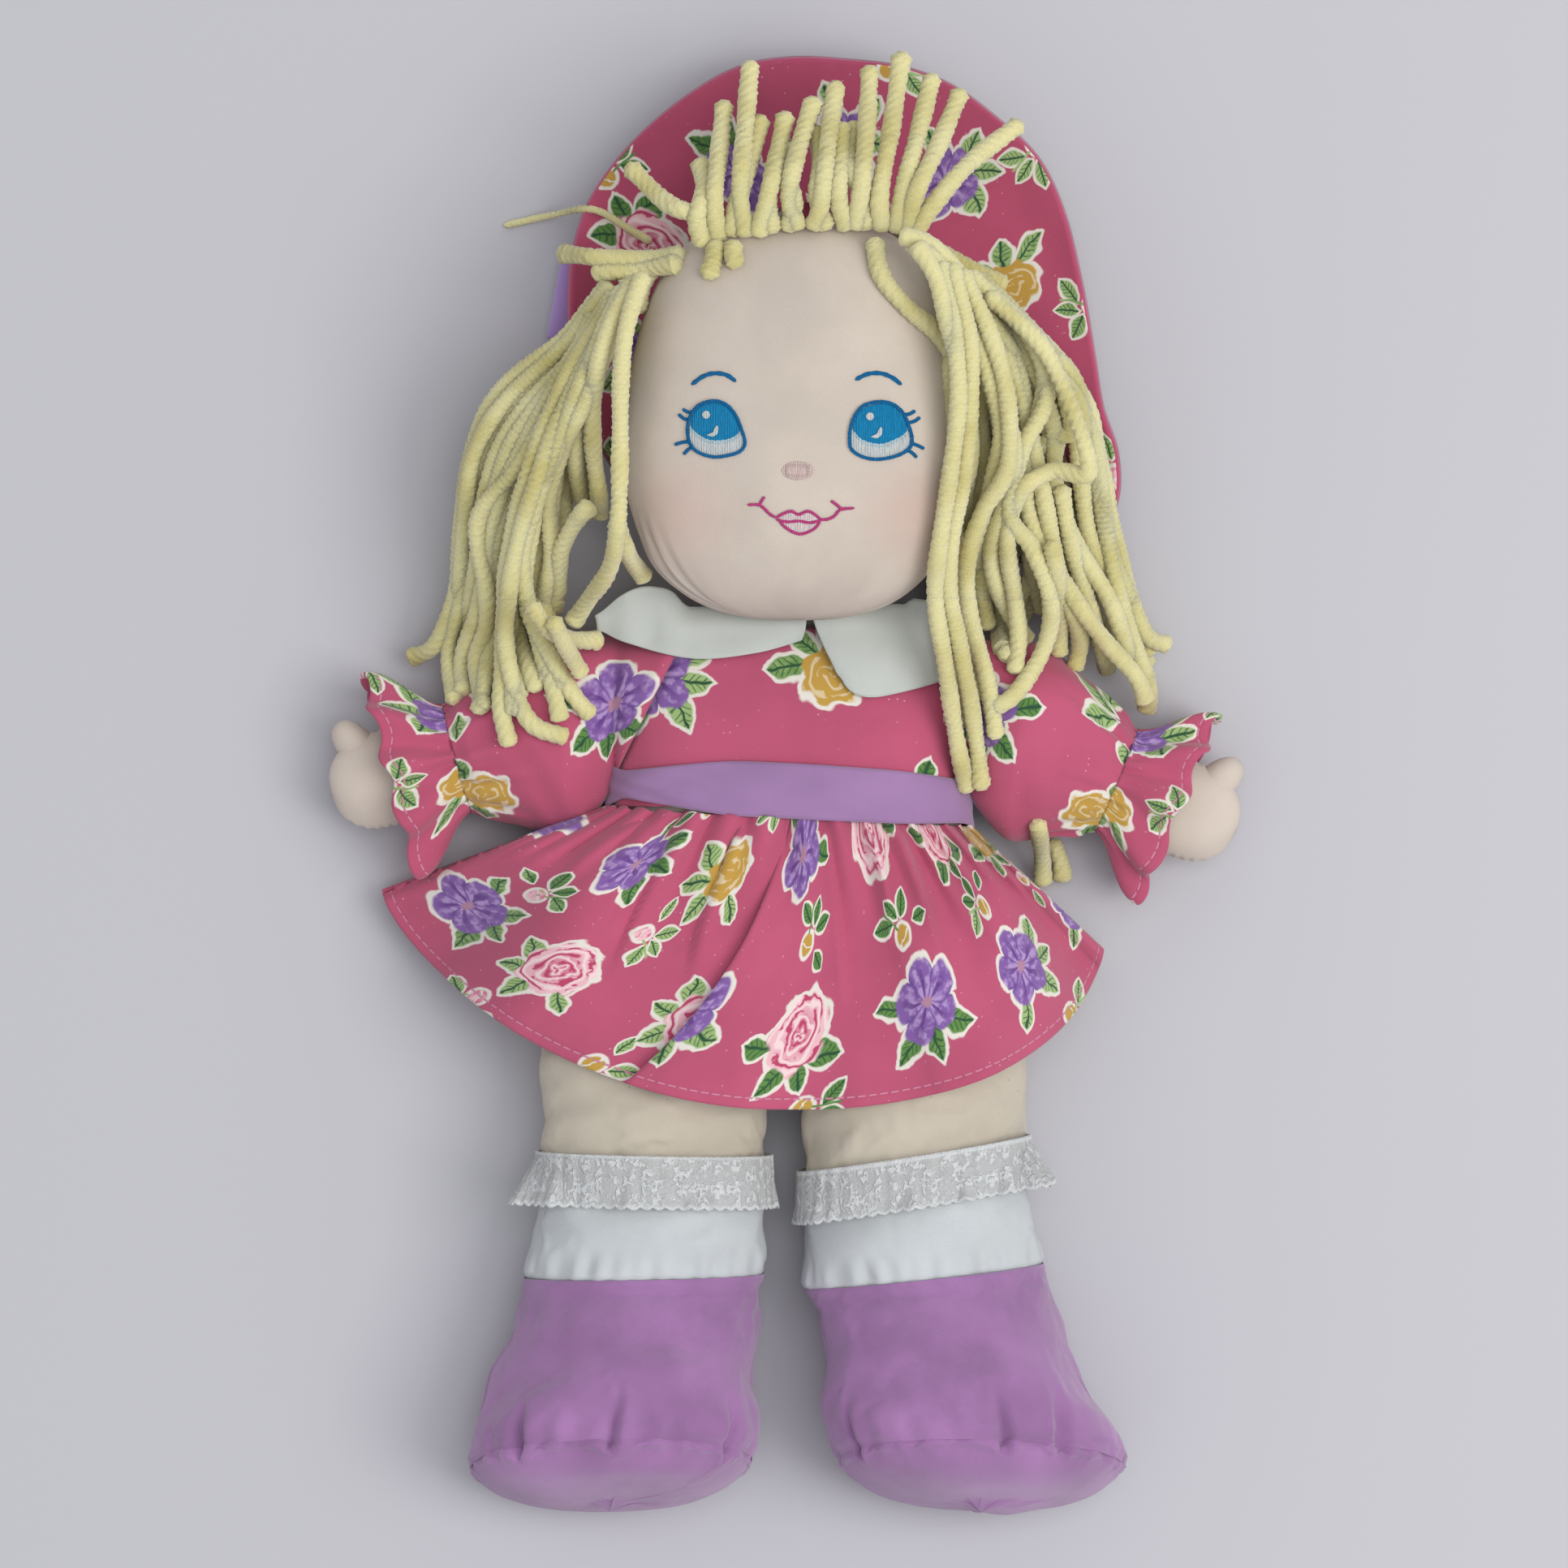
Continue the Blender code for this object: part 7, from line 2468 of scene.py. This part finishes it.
    def guide(self, inward: float, drop: float) -> Callable[[float], float]:
        """The least height along a strand: it leaves the temple high and comes down outwards.

        Args:
            inward: 0 for the outermost strand, 1 for the one beside the face.
            drop: how much lower the strand lies, for one of the layers under the top.

        Returns:
            The least height at a share of the strand's length.
        """
        last = len(self.outer) - 1

        def least(t: float) -> float:
            """The least height at one share."""
            place = held(t) * last
            k = min(int(place), last - 1)
            low = mix(self.outer[k], self.outer[k + 1], place - k)
            high = mix(self.inner[k], self.inner[k + 1], place - k)
            return max(0.0021, mix(low, high, inward) - drop)

        return least

    def bunch(self, side: Side) -> list[tuple[list[Vector], float]]:
        """Lays one bunch, from its lowest layer to its top one.

        Args:
            side: which bunch.

        Returns:
            Each strand's points and radius.
        """
        paths = self.right if side is Side.RIGHT else self.left
        whole = [path for path in paths if len(path) >= self.whole_count]
        chance = random.Random(7 + side.value)
        laid = []
        for drop in self.layer_drops:
            for first, second in zip(whole, whole[1:]):
                share = chance.uniform(0.3, 0.7)
                count = min(len(first), len(second))
                route = []
                for k in range(count):
                    a = first[round(k * (len(first) - 1) / (count - 1))]
                    b = second[round(k * (len(second) - 1) / (count - 1))]
                    wander = 5 if 0 < k < count - 1 else 2
                    x = mix(a[0], b[0], share) + chance.uniform(-wander, wander)
                    route.append((x, mix(a[1], b[1], share)))
                if abs(route[2][0] - route[1][0]) > 150:
                    continue
                strand = Strand(tuple(route[:-1]))
                laid.append((self.yarn.lay(strand, self.guide(share, drop), 0.003), strand.radius))
        for k, path in enumerate(paths):
            middle = path[len(path) // 2][0]
            inward = held(1 - abs(middle - self.face_edges[side]) / self.reach)
            low = len(path) == 3 and path[0][1] > 1000
            strand = Strand(path)
            drop = self.short_drop if len(path) < self.whole_count else 0.0
            least = (lambda t: 0.004) if low else self.guide(inward, drop)
            room = mix(0.001, 0.007, k / len(paths))
            laid.append((self.yarn.lay(strand, least, room), strand.radius))
        return laid

    def stand(self, t: float) -> float:
        """The least height of a fringe yarn: it rises over the head's seam and leans back."""
        low, high, end = self.fringe_heights
        return mix(low, high, ease(t * 2)) - (high - end) * ease(t * 2 - 1)

    def split(self, obj: Piece, side: Side) -> list[Piece]:
        """Cuts a bunch in its upper part and the part over the sleeve.

        Args:
            obj: the whole bunch, which becomes its upper part.
            side: which bunch.

        Returns:
            The upper and the lower part.
        """
        parts = [obj, obj.copy()]
        parts[1].data = obj.data.copy()
        parts[1].name = f"yarn_ends_{side.word}"
        bpy.context.scene.collection.objects.link(parts[1])
        for part, outer in zip(parts, (False, True)):
            bm = bmesh.new()
            bm.from_mesh(part.data)
            bmesh.ops.bisect_plane(
                bm,
                geom=[*bm.verts, *bm.edges, *bm.faces],
                plane_co=(0, self.cut_y, 0),
                plane_no=(0, 1, 0),
                clear_outer=outer,
                clear_inner=not outer,
            )
            bm.to_mesh(part.data)
            bm.free()
        return parts

    def follow_arm(self, obj: Piece, shoulder_x: float) -> None:
        """Works out how much of the arm's turn each point would take, and keeps none of it.

        It is none where the bunch was cut, and all of it on the sleeve.

        Args:
            obj: the lower part of a bunch.
            shoulder_x: how far out the shoulder is.
        """
        for vert in obj.data.vertices:
            down = ease((self.cut_y - vert.co.y) / self.fade_down)
            out = ease((abs(vert.co.x) - shoulder_x) / self.fade_out)
            down * out

    def build(self) -> list[Piece]:
        """Lays the bunches, then the fringe and the loose yarns.

        Returns:
            The pieces.
        """
        made = []
        for side in Side:
            whole = self.yarn.tubes(f"yarn_bunch_{side.word}", self.bunch(side), Finishes.yarn)
            upper, lower = self.split(whole, side)
            for part in (upper, lower):
                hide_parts(f"hair_{side.word}")
            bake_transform(upper)
            x, y, _ = SHOULDERS[side]
            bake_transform(lower)
            self.follow_arm(lower, abs(x))
            made += [upper, lower]
        level = [(self.yarn.lay(Strand(p), self.stand, 0.002), self.fringe_radius) for p in self.fringe]
        level += [(self.yarn.lay(Strand(p), lambda t: 0.0), self.fringe_radius) for p in self.loose]
        fringe = self.yarn.tubes("yarn_fringe", level, Finishes.yarn)
        fibre = self.yarn.lay(Strand(self.fallen, self.fibre_radius), lambda t: 0.0)
        fallen = self.yarn.tubes("loose_fibre", [(fibre, self.fibre_radius)], Finishes.yarn)
        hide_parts("hair_fringe")
        for obj in (fringe, fallen):
            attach(obj, "head")
        return [*made, fringe, fallen]


# The studio, and the order of the work.


@dataclass
class Studio:
    """The pale floor, the soft lights and the camera straight above."""

    sensor: float = 36.0
    reach: float = 2.5
    farthest: float = 10.0
    floor: Colour = (0.52, 0.515, 0.54)
    warm: Colour = (1.0, 0.985, 0.96)
    cool: Colour = (0.96, 0.97, 1.0)
    sky: Colour = (0.93, 0.94, 1.0)
    sky_strength: float = 0.62

    def lamp(
        self, name: str, place: Vector, target: Vector, size: float, watts: float, tint: Colour
    ) -> None:
        """Adds one square soft light.

        Args:
            name: its name.
            place: where it stands.
            target: what it faces.
            size: the length of its side.
            watts: its power.
            tint: its colour.
        """
        data = bpy.data.lights.new(name, "AREA")
        data.shape = "SQUARE"
        data.size = size
        data.energy = watts
        data.color = tint
        obj = placed(name, data)
        obj.location = place
        obj.rotation_euler = (target - place).to_track_quat("-Z", "Y").to_euler()

    def build(self) -> None:
        """Builds the floor, the lights, the world and the camera."""
        bm = bmesh.new()
        bmesh.ops.create_grid(bm, x_segments=2, y_segments=2, size=self.reach)
        mesh = bpy.data.meshes.new("studio_floor")
        bm.to_mesh(mesh)
        bm.free()
        floor = placed("studio_floor", mesh)
        material = bpy.data.materials.new("studio_paper")
        material.use_nodes = True
        shader = material.node_tree.nodes["Principled BSDF"]
        preset(shader, Base_Color=(*self.floor, 1), Roughness=0.95, Specular_IOR_Level=0.1)
        mesh.materials.append(material)
        middle = Vector((0, 0, 0.02))
        self.lamp("key_light", Vector((1.00, -0.15, 1.45)), middle, 0.9, 13.0, self.warm)
        self.lamp("fill_light", Vector((0.30, 0.10, 2.3)), middle, 1.1, 14.0, self.cool)
        world = bpy.data.worlds.new("studio_world")
        world.use_nodes = True
        preset(world.node_tree.nodes["Background"], Color=(*self.sky, 1), Strength=self.sky_strength)
        bpy.context.scene.world = world
        data = bpy.data.cameras.new("camera")
        data.sensor_width = self.sensor
        frame_width = PLAN.pixel * PICTURE_PIXELS
        data.lens = self.sensor * (PLAN.eye_height - PLAN.level) / frame_width
        data.clip_end = self.farthest
        camera = placed("camera", data)
        camera.location = Vector((0, 0, PLAN.eye_height))
        bpy.context.scene.camera = camera
        bpy.context.scene.view_settings.view_transform = "Standard"


def main() -> None:
    """Builds the doll, piece by piece, logs each piece's faces and area, and builds the studio."""
    logging.basicConfig(level=logging.INFO, format="%(message)s")
    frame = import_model()
    made = []
    torso = Torso().build()
    head = Head().build()
    arms = [
        Arm(Side.LEFT, 23.0, Torso(), ((1150, 790), (1190, 962))).build(),
        Arm(Side.RIGHT, 15.0, Torso(), ((842, 790), (755, 962))).build(),
    ]
    dress = surface_over([torso[1], arms[0][1], arms[1][1]])
    collars = [
        Collar(
            Side.LEFT,
            ((1000, 770), (1060, 758), (1110, 748), (1160, 738)),
            ((1030, 830), (1055, 857), (1095, 857), (1172, 836)),
            (0.0400, 0.0225),
        ).build(dress),
        Collar(
            Side.RIGHT,
            ((994, 772), (950, 758), (862, 740), (792, 724), (734, 760)),
            ((988, 790), (930, 806), (862, 813), (795, 800), (738, 776)),
            (0.0560, 0.0145),
        ).build(dress),
    ]
    skirt = Skirt().build()
    left_tucks = ((0.205, 0.012, 0.0022), (0.133, 0.016, 0.0020), (0.395, 0.010, 0.0014))
    right_tucks = ((0.268, 0.010, 0.0024), (0.385, 0.014, 0.0020), (0.12, 0.010, 0.0012))
    legs = [
        Leg(Side.LEFT, 9.0, 6.0, 0.0165, left_tucks).build(),
        Leg(Side.RIGHT, 1.0, -1.0, 0.0105, right_tucks).build(),
    ]
    hat = Hat().build()
    face = Face(surface_over([head[0]])).build()
    under = surface_over([torso[1], head[0], hat[2], *(arm[1] for arm in arms), *collars])
    hair = Hair(Yarn(under)).build()
    for group in (torso, head, *arms, collars, skirt, *legs, hat, face, hair):
        made += group
    for piece in made:
        area = sum(face.area for face in piece.data.polygons)
        LOG.info("%s: %s faces, %.4f square metres", piece.name, len(piece.data.polygons), area)
    Studio().build()


if __name__ == "__main__":
    main()
